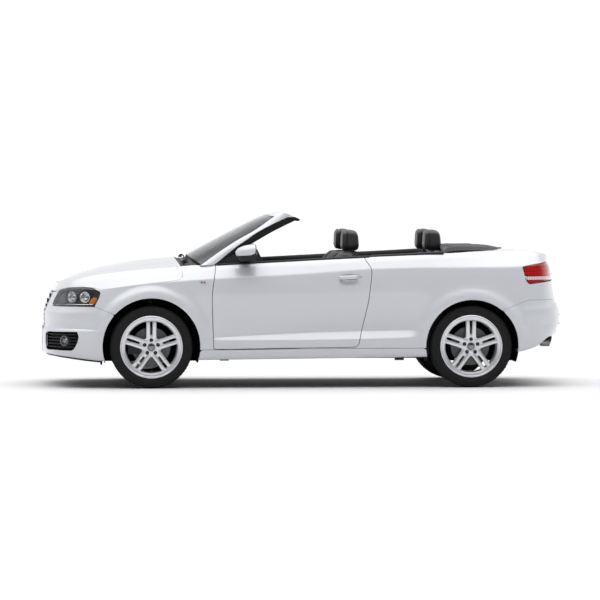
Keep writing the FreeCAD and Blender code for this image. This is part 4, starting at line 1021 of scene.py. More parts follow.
@dataclass
class MasterBody:
    """The whole painted form as one smooth grid, from the underside's edge over the shoulder to the middle.

    Columns run round the car's plan from the middle of the nose to the middle of the tail. Rows are its
    crease lines, with soft or crisp corners between them.

    The plan's sides close over cap_front and cap_rear towards both ends, with the powers cap_plan across and
    cap_length along. The arches' flares are flare proud, up to flare_lip outside the arch, and fade over
    flare_band. The bowl behind the door handle is its x, z, half length, half height and depth.
    """

    cap_front: float = P.front_axle - P.nose
    cap_rear: float = 495.0
    cap_plan: float = 3.0
    cap_length: float = 4.2
    rear_half: float = 876.0
    fine_step: float = 11.0
    side_step: float = 17.0
    arch_radius: dict[str, float] = field(default_factory=lambda: {"front": 390.0, "rear": 372.0})
    arch_shift: float = 8.0
    flare: float = 27.0
    flare_lip: float = 34.0
    flare_band: float = 84.0
    bowl: tuple[float, float, float, float, float] = (348.0, 868.0, 94.0, 46.0, 31.0)

    # The rows' names, from the underside's edge up to the belt line.
    ROWS = ("under", "foot", "lip", "low", "high", "ledge", "face", "neck", "shoulder", "belt")
    # Stations: (name of the measure, value), each row's height, and how far each is in from the plan's edge.
    STATIONS = (
        (("nose", 0), (268, 257, 282, 458, 484, 598, 652, 730, 770, 834),
         (110, 30, 4, 1, 15, 12, 17, 58, 88, 138)),
        (("nose", 345), (272, 261, 284, 458, 484, 596, 648, 735, 772, 838),
         (110, 30, 4, 0, 16, 12, 34, 72, 94, 150)),
        (("nose", 560), (272, 260, 282, 460, 483, 594, 644, 745, 785, 850),
         (110, 32, 4, 0, 16, 11, 44, 88, 112, 168)),
        (("x", -1930), (260, 246, 272, 460, 482, 592, 642, 750, 794, 872),
         (110, 32, 5, 0, 16, 11, 42, 84, 104, 166)),
        (("x", -1800), (248, 231, 264, 459, 480, 592, 642, 745, 796, 888),
         (100, 28, 5, 0, 15, 11, 34, 64, 82, 152)),
        (("x", -1650), (236, 213, 256, 455, 474, 590, 652, 745, 789, 906),
         (90, 22, 5, 1, 9, 9, 20, 40, 54, 140)),
        (("x", -1450), (232, 210, 258, 440, 468, 580, 680, 775, 818, 926),
         (90, 20, 4, 2, 3, 5, 12, 28, 36, 132)),
        (("axle", "front"), (232, 212, 258, 430, 460, 575, 700, 800, 844, 946),
         (90, 20, 4, 3, 4, 7, 12, 20, 26, 122)),
        (("x", -1000), (236, 217, 262, 420, 440, 560, 700, 820, 862, 964),
         (90, 22, 8, 6, 7, 9, 12, 19, 25, 112)),
        (("x", -800), (240, 222, 264, 396, 404, 560, 710, 835, 875, 982),
         (90, 26, 13, 9, 10, 11, 12, 20, 26, 102)),
        (("x", -700), (240, 223, 264, 384, 412, 560, 710, 840, 880, 989),
         (90, 26, 13, 5, 22, 14, 12, 20, 27, 100)),
        (("x", 30), (246, 231, 268, 384, 450, 560, 720, 876, 917, 1026),
         (90, 26, 13, 1, 40, 18, 13, 25, 33, 92)),
        (("x", 480), (250, 236, 270, 392, 460, 570, 730, 910, 952, 1049),
         (90, 26, 13, 1, 43, 18, 13, 27, 35, 92)),
        (("x", 830), (254, 240, 272, 400, 468, 575, 740, 922, 963, 1066),
         (90, 26, 12, 2, 40, 17, 13, 27, 35, 96)),
        (("x", 980), (256, 243, 275, 418, 468, 575, 745, 925, 965, 1075),
         (90, 26, 11, 8, 12, 12, 13, 28, 36, 102)),
        (("axle", "rear"), (262, 248, 285, 430, 485, 585, 755, 930, 969, 1089),
         (90, 24, 8, 6, 7, 9, 14, 30, 40, 132)),
        (("x", 1560), (274, 260, 300, 440, 490, 600, 720, 932, 972, 1096),
         (90, 22, 6, 4, 4, 5, 12, 34, 46, 160)),
        (("x", 1754), (302, 284, 326, 452, 498, 612, 655, 935, 976, 1103),
         (90, 24, 9, 3, 1, 3, 15, 40, 52, 172)),
        (("x", 1890), (340, 324, 362, 468, 502, 627, 673, 944, 985, 1097),
         (90, 30, 14, 5, 0, 2, 28, 54, 67, 160)),
        (("x", 1975), (404, 394, 414, 476, 505, 635, 683, 950, 993, 1088),
         (92, 34, 24, 7, 0, 2, 34, 60, 80, 147)),
        (("x", 2040), (414, 404, 424, 480, 508, 642, 692, 955, 1000, 1078),
         (96, 42, 30, 8, 0, 2, 40, 66, 92, 134)),
        (("tail", 450), (410, 400, 422, 486, 520, 646, 700, 965, 1010, 1062),
         (100, 60, 44, 12, 0, 3, 48, 74, 112, 104)),
        (("tail", 0), (404, 394, 418, 486, 520, 648, 702, 970, 1014, 1060),
         (100, 64, 48, 11, 0, 3, 50, 76, 114, 100)),
    )
    # How far each row's corner is rounded, the lines in it and the lines between it and the next.
    ROUNDING = {"foot": (26, 5, 2), "lip": (60, 4, 2), "low": (7, 4, 3), "high": (9, 4, 3),
                "ledge": (900, 7, 2), "face": (900, 7, 3), "neck": (900, 5, 2), "shoulder": (11, 5, 4),
                "belt": (52, 7, 5), "side": (400, 6, 2), "crown": (400, 6, 2)}
    # The top's height on the centre plane at each x.
    CENTRE = ((-2119, 700), (-2040, 786), (-1974, 846), (-1908, 880), (-1842, 906), (-1777, 929),
              (-1645, 963), (-1513, 989), (-1382, 1011), (-1250, 1029), (-1053, 1046), (-900, 1062),
              (0, 1100), (1500, 1118), (1728, 1108), (1854, 1101), (1967, 1088), (2011, 1073), (2040, 1050),
              (2119, 980))
    BONNET_CREASE = 7.0

    def __post_init__(self) -> None:
        """Works the plan, the rows and the grid out."""
        self.plan, self.way = self._plan()
        self.run = np.concatenate([[0], np.cumsum(np.linalg.norm(np.diff(self.plan, axis=0), axis=1))])
        self.keys = self._keys()
        self.half_shell = grid(self._profiles().transpose(1, 0, 2))
        self._relieve()

    def _cap(self, length: float, half: float) -> np.ndarray:
        """A quarter of the plan from its end to its side, as (distance from the end, y)."""
        turn = np.linspace(0, math.pi / 2, 3000)
        y = half * np.sin(turn) ** (2 / self.cap_plan)
        x = length * (1 - np.cos(turn) ** (2 / self.cap_length))
        return np.stack([x, y], 1)

    def _plan(self) -> tuple[np.ndarray, np.ndarray]:
        """The plan's edge and the way out of it, at each column."""
        front = self._cap(self.cap_front, P.half) + [P.nose, 0]
        back = self._cap(self.cap_rear, self.rear_half)
        back = np.stack([P.tail - back[:, 0], back[:, 1]], 1)[::-1]
        x = np.linspace(front[-1, 0], back[0, 0], 800)[1:-1]
        side = np.stack([x, P.half + (self.rear_half - P.half) * rise(x, x[0], x[-1])], 1)
        fine = np.vstack([front, side, back])
        run = np.concatenate([[0], np.cumsum(np.linalg.norm(np.diff(fine, axis=0), axis=1))])
        density = np.where(np.abs(np.interp(run, run, fine[:, 0])) < 1500, 1 / self.side_step,
                           1 / self.fine_step)
        count = np.concatenate([[0], np.cumsum(np.diff(run) * density[:-1])])
        wanted = np.interp(np.linspace(0, count[-1], int(count[-1])), count, run)
        plan = np.stack([np.interp(wanted, run, fine[:, i]) for i in (0, 1)], 1)
        way = np.gradient(plan, axis=0)
        way /= np.linalg.norm(way, axis=1)[:, None]
        out = np.stack([-way[:, 1], way[:, 0]], 1)
        out[0], out[-1] = (-1, 0), (1, 0)
        return plan, out

    def _station(self, kind: str, value: Any) -> float:
        """How far round the plan a station lies.

        Args:
            kind: "nose" or "tail" for a place on that end, "axle" for an axle, or "x".
            value: The y on that end, the axle's name or the x.

        Returns:
            The length along the plan.
        """
        x, y = self.plan.T
        middle = len(x) // 2
        if kind == "nose":
            return float(np.interp(value, y[:middle], self.run[:middle]))
        if kind == "tail":
            return float(np.interp(value, y[:middle:-1], self.run[:middle:-1]))
        if kind == "axle":
            value = P.axle(value)
        return float(np.interp(value, x, self.run))

    def _keys(self) -> dict[str, np.ndarray]:
        """Each row's line round the plan as points, and the two rows over the top."""
        at = [self._station(*station[0]) for station in self.STATIONS]
        table = np.array([station[1:] for station in self.STATIONS], float)
        even = np.linspace(0, self.run[-1], 1200)
        sigma = 34.0 / (even[1] - even[0])
        keys = {}
        for row, name in enumerate(self.ROWS):
            z, inset = (np.interp(self.run, even, smooth(np.interp(even, at, table[:, i, row]), sigma))
                        for i in (0, 1))
            flat = self.plan - self.way * inset[:, None]
            flat[:, 1] = np.maximum(flat[:, 1], 0)
            keys[name] = np.column_stack([flat, z])
        belt = keys["belt"]
        centre = spline(self.CENTRE, 600)
        middle = np.column_stack([belt[:, 0], np.zeros(len(belt)), np.interp(belt[:, 0], *centre.T)])
        middle[:, 2] = np.maximum(middle[:, 2], belt[:, 2])
        drop = (middle[:, 2] - belt[:, 2])[:, None] * [0, 0, 1]
        fold = self.BONNET_CREASE * rise(-belt[:, 0], 1150, 1500)[:, None] * [0, 0, 1]
        keys["side"] = belt + (middle - belt) * [1, 0.28, 0] + drop * 0.50 + fold
        keys["crown"] = belt + (middle - belt) * [1, 0.62, 0] + drop * 0.86
        keys["middle"] = middle
        return keys

    def _profiles(self) -> np.ndarray:
        """The grid's points: each column's rows with their corners rounded."""
        def part(way: np.ndarray, reach: float) -> np.ndarray:
            """As much of a way to the next key as a corner's rounding takes, at most half."""
            return way * np.minimum(0.5, reach / np.maximum(np.linalg.norm(way, axis=1), 1e-6))[:, None]

        names = [*self.ROWS, "side", "crown", "middle"]
        lines = [self.keys["under"]]
        for before, name, after in zip(names, names[1:], names[2:]):
            reach, places, more = self.ROUNDING[name]
            key = self.keys[name]
            ahead = self.keys[after] - key
            a, b = key + part(self.keys[before] - key, reach), key + part(ahead, reach)
            for t in np.linspace(0, 1, places):
                lines.append((1 - t) ** 2 * a + 2 * t * (1 - t) * key + t ** 2 * b)
            if name != "crown":
                end = self.keys[after] - part(ahead, self.ROUNDING[after][0])
                for t in np.linspace(0, 1, more + 2)[1:-1]:
                    lines.append(b + (end - b) * t)
        lines.append(self.keys["middle"])
        return np.array(lines)

    def arch_x(self, end: str) -> float:
        """The x of a wheel arch's middle."""
        return P.axle(end) + (self.arch_shift if end == "rear" else 0)

    def _relieve(self) -> None:
        """Raises the flares round the arches and sinks the bowls behind the door handles."""
        x, y, z = self.half_shell.points.T
        for end, radius in self.arch_radius.items():
            out = np.hypot(x - self.arch_x(end), z - P.hub_z) - radius
            band = 1 - rise(out, self.flare_lip, self.flare_lip + self.flare_band)
            high = rise(z, 330, 560) * (y > 600)
            y += self.flare * band * high
        bx, bz, length, height, depth = self.bowl
        t = ((x - bx) / length) ** 2 + ((z - bz) / height) ** 2
        y -= depth * np.clip(1 - t, 0, 1) ** 1.2 * (y > 600)

    def skin(self) -> Shell:
        """The right half of the body."""
        return Shell(self.half_shell.points.copy(), list(self.half_shell.faces))

    def at(self, row: str, x: float) -> np.ndarray:
        """The point of a row on the right side at an x."""
        line = self.keys[row]
        keep = line[:, 1] > 200
        return np.array([x, *(np.interp(x, line[keep, 0], line[keep, i]) for i in (1, 2))])


@dataclass
class Cuts:
    """Where the body's panels meet: outlines that tell how far a point lies inside each.

    Gap is the width of a shut line. Eased is how far both panels reach over a line whose gap is narrower. A
    split bounds a bumper, and grille_half has the grille's half width at each of the heights in grille_z.
    """

    gap: float = 5.0
    eased: float = 1.5
    body: MasterBody = field(default_factory=MasterBody)
    door_corners: tuple = ((-745, 312), (387, 328), (420, 338), (446, 452), (503, 694), (530, 900),
                           (531, 944), (523, 970), (478, 1034), (470, 1300), (-700, 1300), (-722, 989),
                           (-750, 800), (-757, 723))
    lamp_corners: tuple = ((-2034, 655), (-2012, 712), (-1974, 780), (-1900, 800), (-1800, 808), (-1705, 800),
                           (-1650, 771), (-1664, 726), (-1700, 659))
    fog_corners: tuple = ((-2079, 305), (-2086, 380), (-2084, 448), (-1838, 452), (-1822, 440), (-1836, 372),
                          (-1866, 312), (-1880, 304))
    tail_lamp_corners: tuple = ((1752, 972), (1770, 905), (1790, 830), (2005, 856), (2090, 866), (2090, 1014),
                                (1968, 1006), (1850, 990))
    bonnet_corners: tuple = ((-2300, 766), (-2000, 770), (-1976, 786), (-1900, 806), (-1800, 814),
                             (-1700, 806), (-1646, 789), (-1500, 808), (-1380, 825), (-1240, 843),
                             (-1120, 855), (-1030, 868), (-992, 890), (-980, 1300), (-2300, 1300))
    opening_corners: tuple = ((-900, 0), (-900, 700), (-840, 748), (-700, 756), (0, 762), (500, 762),
                              (1100, 744), (1300, 716), (1440, 664), (1550, 566), (1622, 420), (1656, 220),
                              (1662, 0), (1662, -300), (-900, -300))
    rear_split: tuple = ((1480, 560), (1630, 640), (1800, 704), (2200, 704), (2200, 0), (1480, 0))
    front_split: tuple = ((-2300, 660), (-1696, 655), (-1580, 610), (-1480, 570), (-1480, 0), (-2300, 0))
    grille_half: tuple = (248, 345, 333)
    grille_z: tuple = (268, 470, 764)
    lid_half: float = 440.0
    lid_front: float = 1704.0
    lid_foot: float = 706.0
    bonnet_rear: float = -1040.0
    cowl_half: float = 712.0
    notch_top: float = 416.0

    def door(self) -> Callable[[np.ndarray], np.ndarray]:
        """The door's outline from the side."""
        return Outline(self.door_corners, View.SIDE, 16).inside

    def lamp(self, points: np.ndarray) -> np.ndarray:
        """The headlamp's outline, forward of the arch."""
        return Outline(self.lamp_corners, View.SIDE, 15).inside(points)

    def tail_lamp(self, points: np.ndarray) -> np.ndarray:
        """The rear lamp's outline, outside the boot lid."""
        side = Outline(self.tail_lamp_corners, View.SIDE, 12).inside(points)
        return np.minimum(side, points[:, 1] - self.lid_half - 2)

    def fog(self, points: np.ndarray) -> np.ndarray:
        """The opening for a fog lamp."""
        return Outline(self.fog_corners, View.SIDE, 14).inside(points)

    def grille(self, points: np.ndarray) -> np.ndarray:
        """The grille's outline from the front, right half."""
        low, knee, top = self.grille_half
        z0, z1, z2 = self.grille_z
        corners = ((-low, z0), (low, z0), (knee, z1), (top, z2), (-top, z2), (-knee, z1))
        front = Outline(corners, View.FRONT, 34).inside(points)
        return np.minimum(front, P.nose + 300 - points[:, 0])

    def arch(self, points: np.ndarray) -> np.ndarray:
        """How far a point lies inside a wheel arch's opening."""
        best = np.full(len(points), -1e9)
        for end, radius in self.body.arch_radius.items():
            away = np.hypot(points[:, 0] - self.body.arch_x(end), points[:, 2] - P.hub_z)
            best = np.maximum(best, radius - away)
        return np.where(points[:, 1] > 300, best, -1e3)

    def bonnet(self, points: np.ndarray) -> np.ndarray:
        """The bonnet: above the lamps and the wings' edges, forward of the cowl."""
        side = Outline(self.bonnet_corners, View.SIDE, 6).inside(points)
        rear = self.bonnet_rear + 36 * (points[:, 1] / 700) ** 2 - points[:, 0]
        return np.minimum(side, rear)

    def cowl(self, points: np.ndarray) -> np.ndarray:
        """The black cowl behind the bonnet."""
        return np.minimum(np.minimum(points[:, 0] - self.bonnet_rear - 36 * (points[:, 1] / 700) ** 2,
                                     self.cowl_half - points[:, 1] + 0.12 * (points[:, 0] + 900)),
                          -700 - points[:, 0])

    def lid(self, points: np.ndarray) -> np.ndarray:
        """The boot lid: the deck's top, and the tail's face between the lamps."""
        y = points[:, 1]
        deck_edge = 618 - 150 * rise(points[:, 0], 1860, 2090) - y
        deck = np.minimum(np.minimum(deck_edge, points[:, 0] - self.lid_front), points[:, 2] - 1022)
        face = np.minimum(np.minimum(self.lid_half - y, points[:, 2] - self.lid_foot), points[:, 0] - 1900)
        return np.maximum(deck, face)

    def opening(self, points: np.ndarray) -> np.ndarray:
        """The cabin's opening, with the folded roof's well behind it."""
        plan = Outline(self.opening_corners, View.PLAN, 30).inside(points)
        return np.minimum(plan, points[:, 2] - 900)

    def rear_bumper(self, points: np.ndarray) -> np.ndarray:
        """The rear bumper's outline from the side."""
        return Outline(self.rear_split, View.SIDE).inside(points)

    def front_bumper(self, points: np.ndarray) -> np.ndarray:
        """The front bumper's outline from the side, with the strips beside the grille."""
        side = Outline(self.front_split, View.SIDE, 30).inside(points)
        strip = np.minimum(np.minimum(-1990 - points[:, 0], 766 - points[:, 2]), 620 - points[:, 1])
        return np.maximum(side, strip)

    def notch(self, points: np.ndarray) -> np.ndarray:
        """The notch in the rear bumper for the tail pipes, on the left."""
        side = np.minimum(self.notch_top - points[:, 2], points[:, 0] - 1850)
        return np.minimum(side, 108 - np.abs(points[:, 1] - 450))

    def outside(self, points: np.ndarray, *regions: Callable[[np.ndarray], np.ndarray]) -> np.ndarray:
        """How far a point lies clear of regions, less half a shut gap."""
        return np.min([-region(points) for region in regions], 0) - self.gap / 2


@dataclass
class OnSkin:
    """What is fitted to the body's skin."""

    cuts: Cuts

    def side_y(self, x: float, z: float) -> float:
        """How far out the skin lies at a point seen from the side."""
        body = self.cuts.body
        _, y, heights = np.array([body.at(row, x) for row in body.ROWS[1:]]).T
        return float(np.interp(z, heights, y))

    def end_x(self, y: float, z: float, end: str = "front") -> float:
        """The x of the skin at a point seen from the front or the rear.

        Args:
            y: The distance from the middle plane.
            z: The height.
            end: "front" or "rear".

        Returns:
            The x in millimetres.
        """
        body = self.cuts.body
        xs, zs = [], []
        for row in body.ROWS[1:]:
            line = body.keys[row]
            half = len(line) // 2
            part = line[:half] if end == "front" else line[half:][::-1]
            rising = np.maximum.accumulate(part[:, 1])
            xs.append(np.interp(abs(y), rising, part[:, 0]))
            zs.append(np.interp(abs(y), rising, part[:, 2]))
        return float(np.interp(z, zs, xs))


@dataclass
class PaintedPanels:
    """The painted panels, trimmed from the master surface and given a wall."""

    cuts: Cuts
    wall: float = 16.0
    door_wall: float = 26.0

    def panel(self, region: Callable[[np.ndarray], np.ndarray] | None,
              *others: Callable[[np.ndarray], np.ndarray]) -> Shell:
        """The right half of a panel: inside its own region and outside others."""
        skin = self.cuts.body.skin()
        points = skin.points
        value = self.cuts.outside(points, *others) if others else np.full(len(points), 1e3)
        if region:
            value = np.minimum(value, region(points) - self.cuts.gap / 2)
        return trimmed(skin, value)

    def put(self, name: str, shell: Shell, body: str, node: Sequence[str], wall: float | None = None) -> None:
        """Makes a painted piece with a wall."""
        piece(name, shell, Use.BODY, body, "body_paint",
              Make(wall=wall or self.wall, closed=False, crease=38, merge=0.4), node)

    def build(self) -> None:
        """Makes every painted panel."""
        c = self.cuts
        door = c.door()
        self.put("bonnet_skin", both(self.panel(lambda p: c.bonnet(p) + c.eased)), "bonnet", ["bonnet"])
        self.put("boot_lid_skin", both(self.panel(c.lid, c.opening)), "boot_lid", ["boot_lid"])
        door_shell = self.panel(door, c.opening)
        for name, side in SIDES.items():
            self.put(f"door_skin_{name}", door_shell.on_side(side), f"door_{name}", [f"door_{name}"],
                     self.door_wall)
        bumper = self.panel(lambda p: c.front_bumper(p) + c.eased, c.grille, c.fog, c.arch, c.bonnet, c.lamp)
        self.put("front_bumper_skin", both(bumper), "body", ["front_bumper"])
        near_bumper = [lambda p: c.rear_bumper(p) + c.eased, c.arch, c.lid]
        right = self.panel(*near_bumper)
        left = self.panel(*near_bumper, c.notch).mirrored()
        self.put("rear_bumper_skin", right.with_others(left), "body", ["rear_bumper"])

        def wing_side(points: np.ndarray) -> np.ndarray:
            """What lies forward of the door's front edge."""
            return -560 - points[:, 0]

        def quarter_side(points: np.ndarray) -> np.ndarray:
            """What lies behind the door."""
            return points[:, 0] + 100

        def sill(points: np.ndarray) -> np.ndarray:
            """The strip under the door, from arch to arch."""
            low = 309 + 10 * rise(points[:, 0], -700, 400) - points[:, 2]
            return np.minimum(low, np.minimum(points[:, 0] + 1100, 1100 - points[:, 0]))

        wing = self.panel(wing_side, c.arch, c.opening, door, lambda p: c.front_bumper(p) - c.eased, c.lamp,
                          lambda p: c.bonnet(p) - c.eased, c.cowl, c.grille)
        quarter = self.panel(quarter_side, c.arch, c.opening, door, lambda p: c.rear_bumper(p) - c.eased,
                             c.tail_lamp, c.lid)
        sills = self.panel(sill, c.arch, door)
        wing = trimmed(wing, -sill(wing.points) - 1)
        quarter = trimmed(quarter, -sill(quarter.points) - 1)
        for name, side in SIDES.items():
            self.put(f"wing_skin_{name}", wing.on_side(side), "body", [f"front_wing_{name}"])
            self.put(f"quarter_skin_{name}", quarter.on_side(side), "body", [f"rear_quarter_{name}"])
        self.put("sill_skins", both(sills), "body", ["sills"])


# ------------------------------------------------------------------------------------- light and camera
@dataclass
class Studio:
    """A plain pale floor, soft light and a long lens."""

    distance: float = 35.0
    azimuth: float = -4.0
    elevation: float = 1.7
    target: tuple[float, float, float] = (0.010, 0.0, 0.682)
    lens: float = 255.0
    floor_size: float = 400.0
    floor_grey: float = 0.62
    sky_strength: float = 4.0
    sky_blend: tuple[float, float] = (-0.15, 0.35)
    near_sky: tuple = ((0.0, 0.26), (0.05, 0.26), (0.09, 0.012), (0.64, 0.02), (0.78, 0.78), (1.0, 0.82))
    far_sky: tuple = ((0.0, 0.26), (0.05, 0.26), (0.10, 0.22), (0.45, 0.13), (0.80, 0.60), (1.0, 0.66))

    def build(self) -> None:
        """Makes the floor, the sky and the camera."""
        scene = bpy.context.scene
        scene.view_settings.view_transform = "Standard"
        mesh = bpy.data.meshes.new("studio_floor")
        reach = self.floor_size / 2
        mesh.from_pydata([(-reach, -reach, 0), (reach, -reach, 0), (reach, reach, 0), (-reach, reach, 0)], [],
                         [(0, 1, 2, 3)])
        floor = bpy.data.objects.new("studio_floor", mesh)
        scene.collection.objects.link(floor)
        graph = Graph("studio_floor")
        graph.set(Base_Color=(self.floor_grey, self.floor_grey, self.floor_grey, 1), Roughness=0.7)
        mesh.materials.append(graph.material)
        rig.stage(floor)
        self._sky(scene)
        self._camera(scene)

    def _sky(self, scene: bpy.types.Scene) -> None:
        """White along the horizon, dark above it on the near side, pale on the far side, bright overhead."""
        world = bpy.data.worlds.new("studio")
        world.use_nodes = True
        nodes, links = world.node_tree.nodes, world.node_tree.links
        back = nodes["Background"]
        split = nodes.new("ShaderNodeSeparateXYZ")
        links.new(nodes.new("ShaderNodeTexCoord").outputs["Generated"], split.inputs[0])
        ramps = []
        for stops in (self.near_sky, self.far_sky):
            ramp = nodes.new("ShaderNodeValToRGB")
            links.new(split.outputs["Z"], ramp.inputs["Fac"])
            while len(ramp.color_ramp.elements) < len(stops):
                ramp.color_ramp.elements.new(1.0)
            for element, (place, grey) in zip(ramp.color_ramp.elements, stops):
                element.position = place
                element.color = (grey, grey, grey * 1.02, 1)
            ramps.append(ramp)
        share = nodes.new("ShaderNodeMapRange")
        share.inputs["From Min"].default_value, share.inputs["From Max"].default_value = self.sky_blend
        mix = nodes.new("ShaderNodeMix")
        mix.data_type = "RGBA"
        links.new(split.outputs["Y"], share.inputs["Value"])
        links.new(share.outputs["Result"], mix.inputs["Factor"])
        for socket, ramp in zip(("A_Color", "B_Color"), ramps):
            links.new(ramp.outputs["Color"], next(s for s in mix.inputs if s.identifier == socket))
        links.new(next(s for s in mix.outputs if s.identifier == "Result_Color"), back.inputs["Color"])
        back.inputs["Strength"].default_value = self.sky_strength
        scene.world = world

    def _camera(self, scene: bpy.types.Scene) -> None:
        """Stands the camera back on the car's left."""
        data = bpy.data.cameras.new("camera")
        data.lens = self.lens
        data.clip_end = 500
        camera = bpy.data.objects.new("camera", data)
        a, e = math.radians(self.azimuth), math.radians(self.elevation)
        away = Vector((math.sin(a) * math.cos(e), -math.cos(a) * math.cos(e), math.sin(e)))
        camera.location = Vector(self.target) + away * self.distance
        camera.rotation_euler = (-away).to_track_quat("-Z", "Y").to_euler()
        scene.collection.objects.link(camera)
        scene.camera = camera


# -------------------------------------------------------------------------------------- geometry nodes
class NodeTree:
    """A geometry node tree, built from nodes with labels and the links between them."""

    def __init__(self, name: str, **inputs: str) -> None:
        """Makes the tree.

        Args:
            name: The tree's name.
            **inputs: Each input's name, and the kind of its socket.
        """
        self.tree = bpy.data.node_groups.new(name, "GeometryNodeTree")
        self.tree.interface.new_socket("Geometry", in_out="OUTPUT", socket_type="NodeSocketGeometry")
        for label, kind in inputs.items():
            self.tree.interface.new_socket(label, in_out="INPUT", socket_type=f"NodeSocket{kind}")
        self.nodes: dict[str, bpy.types.Node] = {}
        self.add("start", "NodeGroupInput")
        self.add("end", "NodeGroupOutput")

    def add(self, label: str, kind: str, values: dict[int | str, Any] | None = None, **settings: Any) -> None:
        """Adds a node under a label, with its settings and the values of its inputs."""
        node = self.tree.nodes.new(kind)
        for key, value in settings.items():
            setattr(node, key, value)
        for key, value in (values or {}).items():
            node.inputs[key].default_value = value
        self.nodes[label] = node

    def link(self, *links: str) -> None:
        """Adds links, each as "label.output > label.input", with a socket's name or number."""
        for text in links:
            (source, output), (target, socket) = (end.strip().split(".") for end in text.split(">"))
            self.tree.links.new(self._socket(self.nodes[source].outputs, output),
                                self._socket(self.nodes[target].inputs, socket))

    @staticmethod
    def _socket(sockets: Any, key: str) -> bpy.types.NodeSocket:
        """A socket by its name or number."""
        return sockets[int(key) if key.isdigit() else key]


